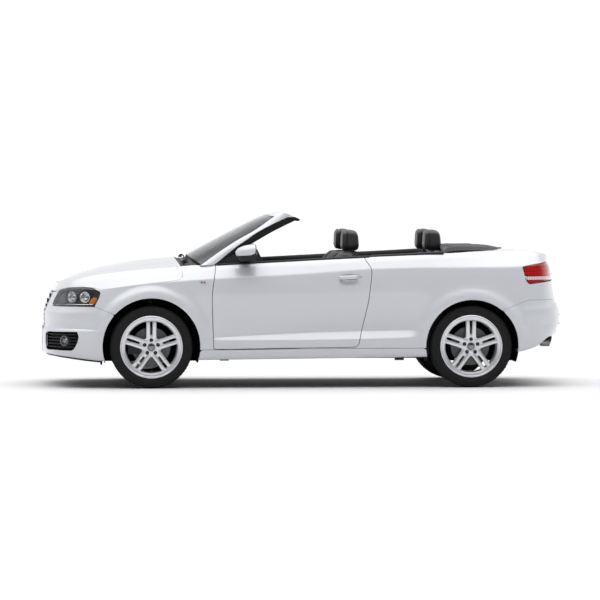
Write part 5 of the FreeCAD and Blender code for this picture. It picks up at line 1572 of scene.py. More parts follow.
class Copies:
    """Two node trees that repeat a template: at the points of a guide, and round an axle."""

    def __init__(self) -> None:
        """Makes both trees."""
        self.on_points = self._points_tree()
        self.round_axle = self._ring_tree()

    @staticmethod
    def _start(name: str, **inputs: str) -> NodeTree:
        """A tree that puts its template on points, and ends in real geometry with a material."""
        made = NodeTree(name, Geometry="Geometry", Template="Object", Material="Material", **inputs)
        made.add("template", "GeometryNodeObjectInfo")
        made.add("copies", "GeometryNodeInstanceOnPoints")
        made.add("real", "GeometryNodeRealizeInstances")
        made.add("dress", "GeometryNodeSetMaterial")
        made.link("start.Template > template.Object", "template.Geometry > copies.Instance",
                  "start.Material > dress.Material", "dress.0 > end.0")
        return made

    def _points_tree(self) -> bpy.types.NodeTree:
        """Copies on a guide's points, turned and sized by its attributes."""
        made = self._start("copies_on_points", Size="Float")
        for name in ("turn", "size"):
            made.add(name, "GeometryNodeInputNamedAttribute", {"Name": name}, data_type="FLOAT_VECTOR")
        made.add("scale", "ShaderNodeVectorMath", operation="SCALE")
        made.link("start.Geometry > copies.Points", "turn.Attribute > copies.Rotation",
                  "size.Attribute > scale.0", "start.Size > scale.Scale", "scale.0 > copies.Scale",
                  "copies.Instances > real.0", "real.0 > dress.Geometry")
        return made.tree

    def _ring_tree(self) -> bpy.types.NodeTree:
        """Copies round the Y axis, each with its own Z axis pointing out."""
        made = self._start("copies_round_axle", Count="Int", Radius="Float", Middle="Vector", Start="Float")
        made.add("line", "GeometryNodeMeshLine", {"Offset": ORIGIN})
        made.add("index", "GeometryNodeInputIndex")
        made.add("share", "ShaderNodeMath", operation="DIVIDE")
        made.add("angle", "ShaderNodeMath", {1: math.tau}, operation="MULTIPLY_ADD")
        made.add("turn", "ShaderNodeCombineXYZ")
        made.add("shift", "GeometryNodeTranslateInstances", {"Local Space": True})
        made.add("up", "ShaderNodeCombineXYZ")
        made.add("place", "GeometryNodeTransform")
        made.link("start.Count > line.Count", "index.0 > share.0", "start.Count > share.1",
                  "share.0 > angle.0", "start.Start > angle.2", "angle.0 > turn.Y", "line.0 > copies.Points",
                  "turn.0 > copies.Rotation", "start.Radius > up.Z", "copies.0 > shift.Instances",
                  "up.0 > shift.Translation", "shift.0 > real.0", "real.0 > place.Geometry",
                  "start.Middle > place.Translation", "place.0 > dress.Geometry")
        return made.tree

    @staticmethod
    def _raw(name: str, shell: Shell, bevel: float = 0.0) -> bpy.types.Object:
        """A plain helper object from a shell, with its normals put right."""
        work = mesh_of(shell)
        if shell.faces:
            bmesh.ops.recalc_face_normals(work, faces=work.faces)
        if bevel:
            bmesh.ops.bevel(work, geom=list(work.edges), offset=bevel * MM, segments=1, affect="EDGES",
                            clamp_overlap=True)
        return object_of(name, work)

    @staticmethod
    def _apply(holder: bpy.types.Object, tree: bpy.types.NodeTree, values: dict[str, Any], use: Use,
               body: str, slot: str) -> None:
        """Runs a tree on a holder and turns the result into a piece.

        Args:
            holder: The object whose mesh the tree starts from.
            tree: The node tree.
            values: The tree's inputs by name.
            use: The piece's finish.
            body: The body it rides on.
            slot: The record's material slot.
        """
        modifier = holder.modifiers.new("copies", "NODES")
        modifier.node_group = tree
        for item in tree.interface.items_tree:
            if item.in_out == "INPUT" and item.name in values:
                modifier[item.identifier] = values[item.name]
        applied(holder)
        bpy.data.objects.remove(values["Template"])
        settled(holder, use, body, slot, Make().crease, ())

    def along(self, name: str, template: Shell, places: Sequence[Sequence[float]], use: Use, body: str,
              slot: str, turns: Sequence = ORIGIN, sizes: Sequence = (1, 1, 1), bevel: float = 0.0) -> None:
        """Copies a template to points.

        Args:
            name: The piece's name.
            template: The shape, round its own origin, in millimetres.
            places: The points in millimetres.
            use: Its finish.
            body: The body it rides on.
            slot: The record's material slot.
            turns: The copies' turn in radians about X, Y and Z, or one for each.
            sizes: The copies' scale along their own axes, or one for each.
            bevel: How much the template's edges are taken off.
        """
        holder = self._raw(name, Shell(np.array(places, float), []))
        for label, rows in (("turn", turns), ("size", sizes)):
            each = np.broadcast_to(np.array(rows, np.float32), (len(places), 3))
            attribute = holder.data.attributes.new(label, "FLOAT_VECTOR", "POINT")
            attribute.data.foreach_set("vector", each.ravel())
        values = {"Template": self._raw(name + "_template", template, bevel), "Size": 1.0,
                  "Material": use.value.material()}
        self._apply(holder, self.on_points, values, use, body, slot)

    def around(self, name: str, template: Shell, count: int, radius: float, middle: Sequence[float], use: Use,
               body: str, slot: str, start: float = 0.0, bevel: float = 0.0) -> None:
        """Copies a template round an axle.

        Args:
            name: The piece's name.
            template: The shape, round its own origin, with Z pointing away from the axle.
            count: How many copies.
            radius: Their distance from the axle.
            middle: The axle's point in millimetres.
            use: Its finish.
            body: The body it rides on.
            slot: The record's material slot.
            start: The first copy's angle in degrees from straight up.
            bevel: How much the template's edges are taken off.
        """
        holder = self._raw(name, Shell(np.zeros((1, 3)), []))
        values = {"Template": self._raw(name + "_template", template, bevel), "Count": count,
                  "Radius": radius * MM, "Middle": [v * MM for v in middle], "Start": math.radians(start),
                  "Material": use.value.material()}
        self._apply(holder, self.round_axle, values, use, body, slot)


COPIES = Copies()


# ------------------------------------------------------------------------------------------------ wheels
@dataclass
class Wheel:
    """One wheel: tyre, double-spoke rim, a bolt for each spoke, cap and valve.

    Depths are out from the tyre's middle plane, and face is the depth of the spokes' faces.
    """

    end: str
    side_name: str
    tyre_radius: float = P.hub_z
    tyre_half: float = P.tyre_width / 2
    rim_radius: float = 252.0
    rim_half: float = 107.0
    spokes: int = 5
    segments: int = 168
    bar_width: float = 31.0
    bar_depth: float = 34.0
    slot_width: float = 19.0
    hub_radius: float = 84.0
    bolt_circle: float = 56.0
    face: float = 88.0
    tread_blocks: int = 68

    def __post_init__(self) -> None:
        """Works out where the wheel is."""
        self.side = SIDES[self.side_name]
        self.centre = np.array([P.axle(self.end), self.side * P.track(self.end) / 2, P.hub_z])
        self.name = f"{self.end}_{self.side_name}"
        self.body = f"wheel_{self.name}"

    def out(self, shell: Shell) -> Shell:
        """Puts a shell made about the origin, with +Y out, on this wheel."""
        return shell.on_side(self.side).moved(*self.centre)

    def tyre(self) -> None:
        """The tyre: bead, side wall with its ribs, shoulders and a grooved tread."""
        r, w = self.tyre_radius, self.tyre_half
        side = [(w - 15, 237), (w - 9, 246), (w - 8, 254), (w - 3.5, 257), (w - 3, 263), (w - 1.6, 268),
                (w - 1, 282), (w - 0.4, 284), (w - 0.4, 287), (w - 1, 289), (w - 2, 300), (w - 5, 310),
                (w - 9, r - 14.5), (w - 15, r - 8.5), (w - 23, r - 4.6)]
        tread = []
        for middle in (-54, -19, 19, 54):
            for shift, depth in ((-6.5, 0.0), (-5, 6.5), (5, 6.5), (6.5, 0.0)):
                out = middle + shift
                tread.append((out, r - 0.4 - 3.2 * (out / w) ** 2 - depth))
        left = [(-a, b) for a, b in reversed(side)]
        inner = [(-w + 15, 237), (-w + 20, 228), (w - 20, 228), (w - 15, 237)]
        profile = side + tread[::-1] + left + inner[1:-1]
        shell = lathe(profile, ORIGIN, self.segments, closed=True)
        piece(f"tyre_{self.name}_rubber", self.out(shell), Use.TYRE, self.body, "tyre_rubber",
              Make(crease=24), [f"tyre_{self.name}"])
        block_shell = block(-5.2, 5.2, -15, 15, -4.5, 3.0)
        for row, away, start in (("outer", 1, 0.0), ("inner", -1, 2.6)):
            middle = self.centre + [0, away * self.side * (w - 19.5), 0]
            tilted = block_shell.turned(ALONG_X, -away * self.side * 24)
            COPIES.around(f"tread_{row}_{self.name}", tilted, self.tread_blocks, r - 8.9, middle, Use.TYRE,
                          self.body, "tyre_rubber", start, 1.0)
        for number, (away, start) in enumerate(((-36, 1.2), (0, 0.4), (36, 3.0)), 1):
            sipes = block(-3.4, 3.4, -10.5, 10.5, -3, 0.0).turned(ALONG_Z, 24 * (1 if away >= 0 else -1))
            COPIES.around(f"tread_rib_{number}_{self.name}", sipes.moved(z=0.15), self.tread_blocks,
                          r - 0.6, self.centre + [0, away, 0], Use.TYRE, self.body, "tyre_rubber", start, 0.6)

    def _bar(self, offset: float) -> Shell:
        """One bar of a double spoke, from the hub to the rim, pointing up.

        Args:
            offset: How far it stands from the spoke's middle.

        Returns:
            The bar as a closed shell.
        """
        rings = []
        for radius, grow, sink in ((58, 1.16, 9), (76, 1.10, 7), (96, 1.02, 4.5), (120, 0.98, 2.5),
                                   (150, 0.96, 1), (180, 0.96, 0), (200, 1.0, 1), (212, 1.12, 4),
                                   (222, 1.3, 9)):
            half, depth = self.bar_width / 2 * grow, self.bar_depth
            top = self.face - sink
            shape = np.array([(-half + 5, top), (half - 5, top), (half - 1.4, top - 1.8), (half, top - 5.5),
                              (half + 1.5, top - depth), (-half - 1.5, top - depth), (-half, top - 5.5),
                              (-half + 1.4, top - 1.8)])
            spread = offset * (1 + 0.03 * (radius - 150) / 60)
            rings.append([(spread + a, b, radius) for a, b in shape])
        return loft(rings)

    def rim(self) -> None:
        """The rim: barrel, stepped lip, five double spokes and the hub."""
        w, r = self.rim_half, self.rim_radius
        lip = [(w - 5, r - 4), (w, r - 1), (w + 1.6, r - 4), (w + 1.2, r - 9), (w - 4, r - 13),
               (w - 9, r - 15), (w - 10.5, r - 20), (w - 11, r - 29), (w - 12.5, r - 32), (w - 17, r - 34),
               (w - 19, r - 39), (w - 24, r - 42), (w - 50, r - 45), (20, r - 50), (-60, r - 44),
               (-w + 6, r - 38), (-w, r - 30), (-w, r - 8), (-w + 6, r - 6), (-w + 8, r - 26), (-60, r - 36),
               (20, r - 40), (w - 40, r - 34), (w - 14, r - 26), (w - 10, r - 6)]
        barrel = lathe(lip, ORIGIN, 120, closed=True)
        offset = (self.bar_width + self.slot_width) / 2
        arm = self._bar(-offset).with_others(self._bar(offset))
        f = self.face
        root, tip = (loft([[(-half, f - sunk, radius), (half, f - sunk, radius), (half, f - deep, radius),
                            (-half, f - deep, radius)] for radius, half, sunk in steps])
                     for deep, steps in ((40, ((62, 20, 11), (82, 17, 9), (98, 13, 13), (101, 12, 30))),
                                         (36, ((205, 11, 24), (207, 12, 7), (216, 14, 5), (226, 15, 12)))))
        spoke = arm.with_others(root, tip)
        star = barrel.with_others(*(spoke.turned(ALONG_Y, 360 * number / self.spokes)
                                    for number in range(self.spokes)))
        hub = lathe([(f - 44, 30), (f - 11, 30), (f - 9.5, 32), (f - 9, 36), (f - 9.5, 60), (f - 10.5, 70),
                     (f - 13, 77), (f - 18, self.hub_radius - 3), (f - 44, self.hub_radius)], ORIGIN, 80,
                    closed=True)
        piece(f"rim_{self.name}_alloy", self.out(star.with_others(hub)), Use.ALLOY, self.body, "wheel_alloy",
              Make(crease=32), [f"rim_{self.name}"])

    def fittings(self) -> None:
        """Bolts in near-black wells that are painted shade, the blank cap and the valve."""
        f = self.face
        # Each well is a near-black cup round a bolt: painted shade standing in for the shadow inside the bolt hole.
        well = lathe([(f - 16, 0.5), (f - 13, 6), (f - 8.6, 14.4), (f - 7.2, 14.8), (f - 6.6, 14.0),
                      (f - 7.4, 12.4), (f - 8.2, 7), (f - 8.4, 0.5)], ORIGIN, 24)
        bolt = lathe([(f - 13, 6.0), (f - 7.0, 6.0), (f - 6.0, 5.2), (f - 6.0, 3.0), (f - 7.6, 2.6),
                      (f - 7.6, 0.3)], ORIGIN, 6)
        for kind, shell, use in (("wells", well, Use.LINER), ("bolts", bolt, Use.STEEL)):
            COPIES.around(f"wheel_{kind}_{self.name}", shell.on_side(self.side), self.spokes,
                          self.bolt_circle, self.centre, use, self.body, "wheel_alloy")
        cap = lathe([(f - 20, 29), (f - 6, 29), (f - 4.4, 27.6), (f - 4.6, 25.5), (f - 5.6, 24.5),
                     (f - 4.2, 20), (f - 3.2, 10), (f - 3, 0.4)], ORIGIN, 48)
        piece(f"wheel_cap_{self.name}", self.out(cap), Use.TIP, self.body, "wheel_alloy", Make(crease=50))
        valve = tube([(0, f - 34, -198), (0, f - 16, -194), (0, f - 7, -191)], [4, 4, 3.2], 10, up=ALONG_X)
        piece(f"valve_{self.name}", self.out(valve), Use.GLOSS, self.body, "wheel_alloy")

    def build(self) -> None:
        """Makes the wheel's pieces and dresses its disc."""
        self.tyre()
        self.rim()
        self.fittings()
        dress(f"brake_disc_{self.name}", Use.STEEL)


def dress(node: str, use: Use) -> None:
    """Gives a CAD node that stays its finish."""
    mesh = frame["nodes"][node].data
    mesh.materials.clear()
    mesh.materials.append(use.value.material())


@dataclass
class RunningGear:
    """What shows under the car and through its wheels: CAD nodes that keep their shape."""

    nodes: tuple[tuple[str, Use], ...] = (("platform", Use.UNDER), ("bulkhead", Use.UNDER),
                                          ("arch_liners", Use.LINER), ("engine_block", Use.IRON),
                                          ("front_suspension", Use.IRON), ("rear_suspension", Use.IRON),
                                          ("knuckle_left", Use.IRON), ("knuckle_right", Use.IRON))

    def build(self) -> None:
        """Dresses the nodes, and adds the flaps at the arches' feet."""
        for node, use in self.nodes:
            dress(node, use)
        for end in ("front", "rear"):
            shells = []
            for side in (LEFT, RIGHT):
                x = P.axle(end) + (-386 if end == "front" else 366)
                flap = block(x - 5, x + 6, 640, 846, 188 if end == "front" else 274, 312)
                shells.append(flap.turned(ALONG_Y, 8 if end == "front" else -10, (x, 0, 300)).on_side(side))
            piece(f"arch_flaps_{end}", joined(shells), Use.LINER, "body", "underbody", Make(bevel=2.5))


# ------------------------------------------------------------------------------- windscreen and mirrors
def bar(upper: np.ndarray, lower: np.ndarray, out: np.ndarray, section: Sequence[Sequence[float]]) -> Shell:
    """A right-hand bar between two edges seen from the side.

    Args:
        upper: The (x, z) points of its upper edge.
        lower: As many points of its lower edge.
        out: How far from the centre plane it lies at each point.
        section: Pairs of how far down from the upper edge, as a share, and how far in.

    Returns:
        The closed bar.
    """
    rings = []
    for top, foot, y in zip(upper, lower, out):
        ring = [(*(top + (foot - top) * share), y - depth) for share, depth in section]
        rings.append([(x, far, z) for x, z, far in ring])
    return loft(rings)


@dataclass
class Windscreen:
    """The screen's frame, seals, glass, cowl and wipers.

    Upper, lower and seal_foot are the pillar's edges and its seal's foot from the side, and out says how far
    from the centre plane they lie. Centre is the glass's own line in the centre plane.
    """

    count: int = 40
    upper: tuple = ((-852, 986), (-830, 996), (-680, 1101), (-542, 1187), (-390, 1272), (-240, 1377),
                    (-196, 1402))
    lower: tuple = ((-742, 984), (-722, 996), (-590, 1100), (-478, 1179), (-350, 1264), (-139, 1365),
                    (-96, 1382))
    seal_foot: tuple = ((-736, 978), (-712, 986), (-560, 1082), (-412, 1165), (-254, 1254), (-76, 1340),
                        (-58, 1349))
    out: tuple = (774, 772, 735, 700, 655, 596, 588)
    centre: tuple = ((-928, 1050), (-915, 1064), (-699, 1179), (-523, 1270), (-375, 1344), (-258, 1391),
                     (-236, 1398))
    header_half: float = 590.0
    bow: float = 16.0

    def _lines(self) -> tuple[np.ndarray, np.ndarray, np.ndarray, np.ndarray]:
        """The pillar's upper and lower edges, its seal's foot and its distance out."""
        paths = [spline(path, self.count) for path in (self.upper, self.lower, self.seal_foot)]
        out = spline([(v, 0.0) for v in self.out], self.count)[:, 0]
        return paths[0], paths[1], paths[2], out

    def frame_pieces(self) -> None:
        """The white pillars and header, with the rubber under them."""
        upper, lower, foot, out = self._lines()
        section = ((0.03, 34), (0.0, 18), (0.05, 6), (0.16, 1), (0.45, -2), (0.84, 0), (0.95, 5), (1.0, 14),
                   (1.0, 40), (0.85, 58), (0.2, 60), (0.04, 52))
        pillar = bar(upper, lower, out, section)
        across = np.linspace(-1, 1, 61)
        profile = np.array([(-262, 1384), (-258, 1390), (-226, 1401), (-186, 1413), (-160, 1415),
                            (-128, 1405), (-84, 1384), (-52, 1370), (-44, 1363), (-46, 1357), (-60, 1355),
                            (-112, 1366), (-170, 1372), (-232, 1376)], float)
        rings = []
        for t in across:
            end = rise(abs(t), 0.965, 1.0)
            centre = profile.mean(0)
            ring = centre + (profile - centre) * (1 - 0.22 * end)
            ring = ring + [-self.bow * (1 - t * t) + 6 * end, 1.8 - 8 * t * t]
            rings.append([(x, t * self.header_half, z) for x, z in ring])
        piece("windscreen_surround", both(pillar).with_others(loft(rings)), Use.BODY, "body", "body_paint",
              Make(crease=40), ["windscreen_frame"])
        inner = ((0.0, 16), (0.0, 52), (0.6, 54), (1.0, 44), (1.0, 22), (0.7, 12))
        seal = bar(lower + (upper - lower) * 0.06, foot, out, inner)
        lip = np.array([(-72, 1378), (-40, 1364), (-32, 1356), (-34, 1348), (-46, 1344), (-112, 1352),
                        (-236, 1366), (-230, 1374)], float)
        rings = [[(x - self.bow * (1 - t * t), t * (self.header_half + 1), z + 3 - 9 * t * t) for x, z in lip]
                 for t in across]
        piece("windscreen_seals", both(seal).with_others(loft(rings)), Use.SEAL, "body", "black_plastic",
              Make(crease=40, bevel=1.5))
        visor = rounded(((-232, -470), (-96, -470), (-96, -110), (-232, -110)), 24)
        low = np.column_stack([visor[:, 0], visor[:, 1], 1362 - (visor[:, 0] + 232) * 0.10])
        panel = loft([low, low - [0, 0, 16]])
        fitted("sun_visors", panel.with_others(panel.mirrored()), Use.ROOF, Make(bevel=5))

    def _sheet(self, rows: np.ndarray, columns: np.ndarray, drop: float = 0.0) -> Shell:
        """The glass's own surface over shares of its height and half width.

        Args:
            rows: Shares of the way up, from the bottom edge.
            columns: Shares of the half width, from -1 to 1.
            drop: How far below the glass it lies.

        Returns:
            The open sheet.
        """
        upper, _, _, out = self._lines()
        centre = spline(self.centre, self.count)
        at = np.linspace(0, 1, self.count)
        points = []
        for v in rows:
            x, y, z, mid_x, mid_z = (np.interp(v, at, values) for values in (
                upper[:, 0], out, upper[:, 1], centre[:, 0], centre[:, 1]))
            edge = np.array([x, y - 14, z]) + [6, 0, -3]
            mid = np.array([mid_x, 0, mid_z])
            points.append([mid + (edge - mid) * [abs(u) ** 2.4, 0, abs(u) ** 2.4] + [0, u * edge[1], -drop]
                           for u in columns])
        return grid(points)

    def glass(self) -> None:
        """The curved glass, its printed black edge and the mirror inside."""
        rows, columns = np.linspace(0.02, 0.975, 44), np.linspace(-1, 1, 81)
        piece("windscreen_glass", self._sheet(rows, columns), Use.GLASS, "body", "screen_glass",
              Make(wall=5, closed=False, crease=60), ["windscreen"])
        edge = self._sheet(rows, columns, 6.5)
        u = np.tile(np.abs(columns), len(rows))
        v = np.repeat(rows, len(columns))
        band = np.maximum(np.maximum(u - 0.935, 0.085 - v), v - 0.915)
        piece("windscreen_band", trimmed(edge, band), Use.GLOSS, "body", "screen_glass",
              Make(wall=1.5, closed=False, crease=60))
        stem = tube([(-306, 0, 1356), (-290, 0, 1334), (-268, 0, 1318)], [13, 9, 9], 12, up=ALONG_Y)
        shape = ring_points(40, 118, 34, 3.0)
        middle, toe = (-268, 0, 1300), 9
        housing = stacked(shape, ((14, 0.97), (8, 1.0), (-10, 0.94), (-22, 0.72), (-28, 0.3)), middle)
        fitted("cabin_mirror", stem.with_others(housing.turned(ALONG_Z, toe, middle)), Use.TRIM,
               Make(bevel=1.5))
        face = slab([(a * 0.93, 1300 + b * 0.88) for a, b in shape], (-252.5, -251), View.FRONT)
        fitted("cabin_mirror_glass", face.turned(ALONG_Z, toe, middle), Use.MIRROR)

    def cowl(self, cuts: Cuts) -> None:
        """The black cowl, sunk behind the bonnet, with its slats and the wipers."""
        skin = cuts.body.skin()
        sunk = skin.points.copy()
        value = np.minimum(cuts.cowl(sunk) - cuts.gap / 2, -760 - sunk[:, 0])
        shell = trimmed(skin, value)
        x = shell.points[:, 0]
        trough = rise(x, -1036, -1000) * (1 - rise(x, -960, -900))
        shell.points[:, 2] -= 9 + 16 * trough + 5 * rise(x, -930, -880)
        piece("cowl_panel", both(shell), Use.TRIM, "body", "black_plastic", walled(7), ["scuttle"])
        slat = block(-17, 17, -2.2, 2.2, -3, 3)
        places = [(-978 + 26 * (y / 640) ** 2, y, 1027 - 46 * (y / 640) ** 2) for y in range(-600, 601, 12)]
        COPIES.along("cowl_slats", slat, places, Use.GLOSS, "body", "black_plastic", bevel=1.0)
        arms, blades = [], []
        for start, end in (((-974, -560, 1018), (-948, -20, 1053)), ((-976, 60, 1050), (-944, 560, 1026))):
            a, b = np.array(start, float), np.array(end, float)
            path = [a, a + (b - a) * 0.1 + [6, 0, 9], a + (b - a) * 0.55 + [14, 0, 9]]
            arms.append(tube(spline(path, 14), np.linspace(11, 5, 14), 8, 0.6))
            arms.append(lathe([(-13, 0.5), (-13, 15), (-3, 15), (2, 10), (3, 0.5)], a, 24, "z"))
            along = np.linspace(0.02, 1.0, 30)
            blade = np.array([a + (b - a) * t + [20, 0, 1.5 + 5 * math.sin(math.pi * t)] for t in along])
            blades.append(tube(blade, 5.5, 8, 0.8))
            blades.append(tube(blade + [-2, 0, 4.5], 2.6 + 1.6 * np.sin(math.pi * along), 6))
        piece("wiper_arms", joined(arms), Use.SEAL, "body", "black_plastic", Make(), ["wipers"])
        piece("wiper_blades", joined(blades), Use.SEAL, "body", "black_plastic")

    def build(self, cuts: Cuts) -> None:
        """Makes the screen's pieces."""
        self.frame_pieces()
        self.glass()
        self.cowl(cuts)


@dataclass
class DoorMirror:
    """A door mirror: painted cap over a black foot, with its glass and the sail at the screen's foot."""

    side_name: str
    near: float = 812.0
    far: float = 984.0
    back: float = -408.0
    middle_z: float = 1102.0

    def _ring(self, y: float, grow: float) -> np.ndarray:
        """The housing's outline in the XZ plane at a y.

        Args:
            y: The distance from the middle plane.
            grow: The outline's size as a share of the full one.

        Returns:
            The outline's points.
        """
        t = (y - self.near) / (self.far - self.near)
        taper = (1 - abs(2 * t - 1.04) ** 3.4 * 0.55) * grow
        high = 56.0 * taper
        deep = 164.0 * (0.62 + 0.38 * math.sin(math.pi * min(1.0, t * 0.92 + 0.12))) * grow
        angles = np.linspace(-math.pi / 2, math.pi / 2, 25)
        front = [(self.back - deep * math.cos(a) ** (0.3 if a < 0 else 0.8),
                  self.middle_z + high * math.sin(a) - 12 * math.cos(a)) for a in angles]
        back = [(self.back + 4 * (1 - s * s), self.middle_z + high * s) for s in (0.6, 0.2, -0.2, -0.6)]
        return np.array([(x, y, z) for x, z in front + back])

    def _housing(self, grow: float) -> Shell:
        """The closed housing."""
        shares = (0.0, 0.015, 0.05, 0.12, 0.22, 0.35, 0.5, 0.65, 0.78, 0.88, 0.95, 0.985, 1.0)
        sizes = (0.42, 0.62, 0.8, 0.93, 0.99, 1.0, 1.0, 1.0, 0.98, 0.93, 0.81, 0.58, 0.24)
        return loft([self._ring(self.near + (self.far - self.near) * t, s * grow)
                     for t, s in zip(shares, sizes)])

    def build(self) -> None:
        """Makes the mirror's pieces on its door."""
        side, body = SIDES[self.side_name], f"door_{self.side_name}"
        whole = self._housing(1.0)
        x, _, z = whole.points.T
        split = z - (1066 + 0.06 * (x + 500))
        cap = trimmed(whole, np.minimum(split - 1.2, self.back - 7 - x))
        piece(f"mirror_cap_{self.side_name}", cap.on_side(side), Use.BODY, body, "body_paint",
              Make(wall=4, closed=False, crease=40), [f"mirror_{self.side_name}"])
        core = self._housing(0.955)
        half_way = (self.near + self.far) / 2
        core.points[:, 1] = half_way + (core.points[:, 1] - half_way) * 0.955
        core.points[:, 2] -= 1.3 * np.clip(1068 - core.points[:, 2], 0, None)
        arm = loft([[(xx, yy, zz + 4 * (yy - 750) / 100) for xx, zz in
                     rounded(((-532 - g, 1030 - g), (-444 + g, 1030 - g), (-444 + g, 1062 + g),
                              (-532 - g, 1056 + g)), 14)]
                    for yy, g in ((748, 14), (756, 3), (790, 0), (826, 4), (850, 10))])
        piece(f"mirror_foot_{self.side_name}", core.with_others(arm).on_side(side), Use.TRIM, body,
              "black_plastic", Make(crease=40))
        glass = stacked(ring_points(36, 64, 32, 3.0), ((0, 1.0), (5.5, 1.0), (6, 0.98)),
                        (self.back, half_way + 2, self.middle_z))
        piece(f"mirror_glass_{self.side_name}", glass.on_side(side), Use.MIRROR, body, "black_plastic")
        sail = rounded(((-722, 984), (-330, 1004), (-352, 1040), (-408, 1157), (-424, 1160)), 12, 5)
        plate = slab(sail, (733, 750))
        rim = tube([(-700, 752, 1000), (-560, 752, 1078), (-424, 752, 1152)], 4, 8)
        piece(f"sail_{self.side_name}", plate.with_others(rim).on_side(side), Use.TRIM, body, "black_plastic",
              Make(bevel=2))


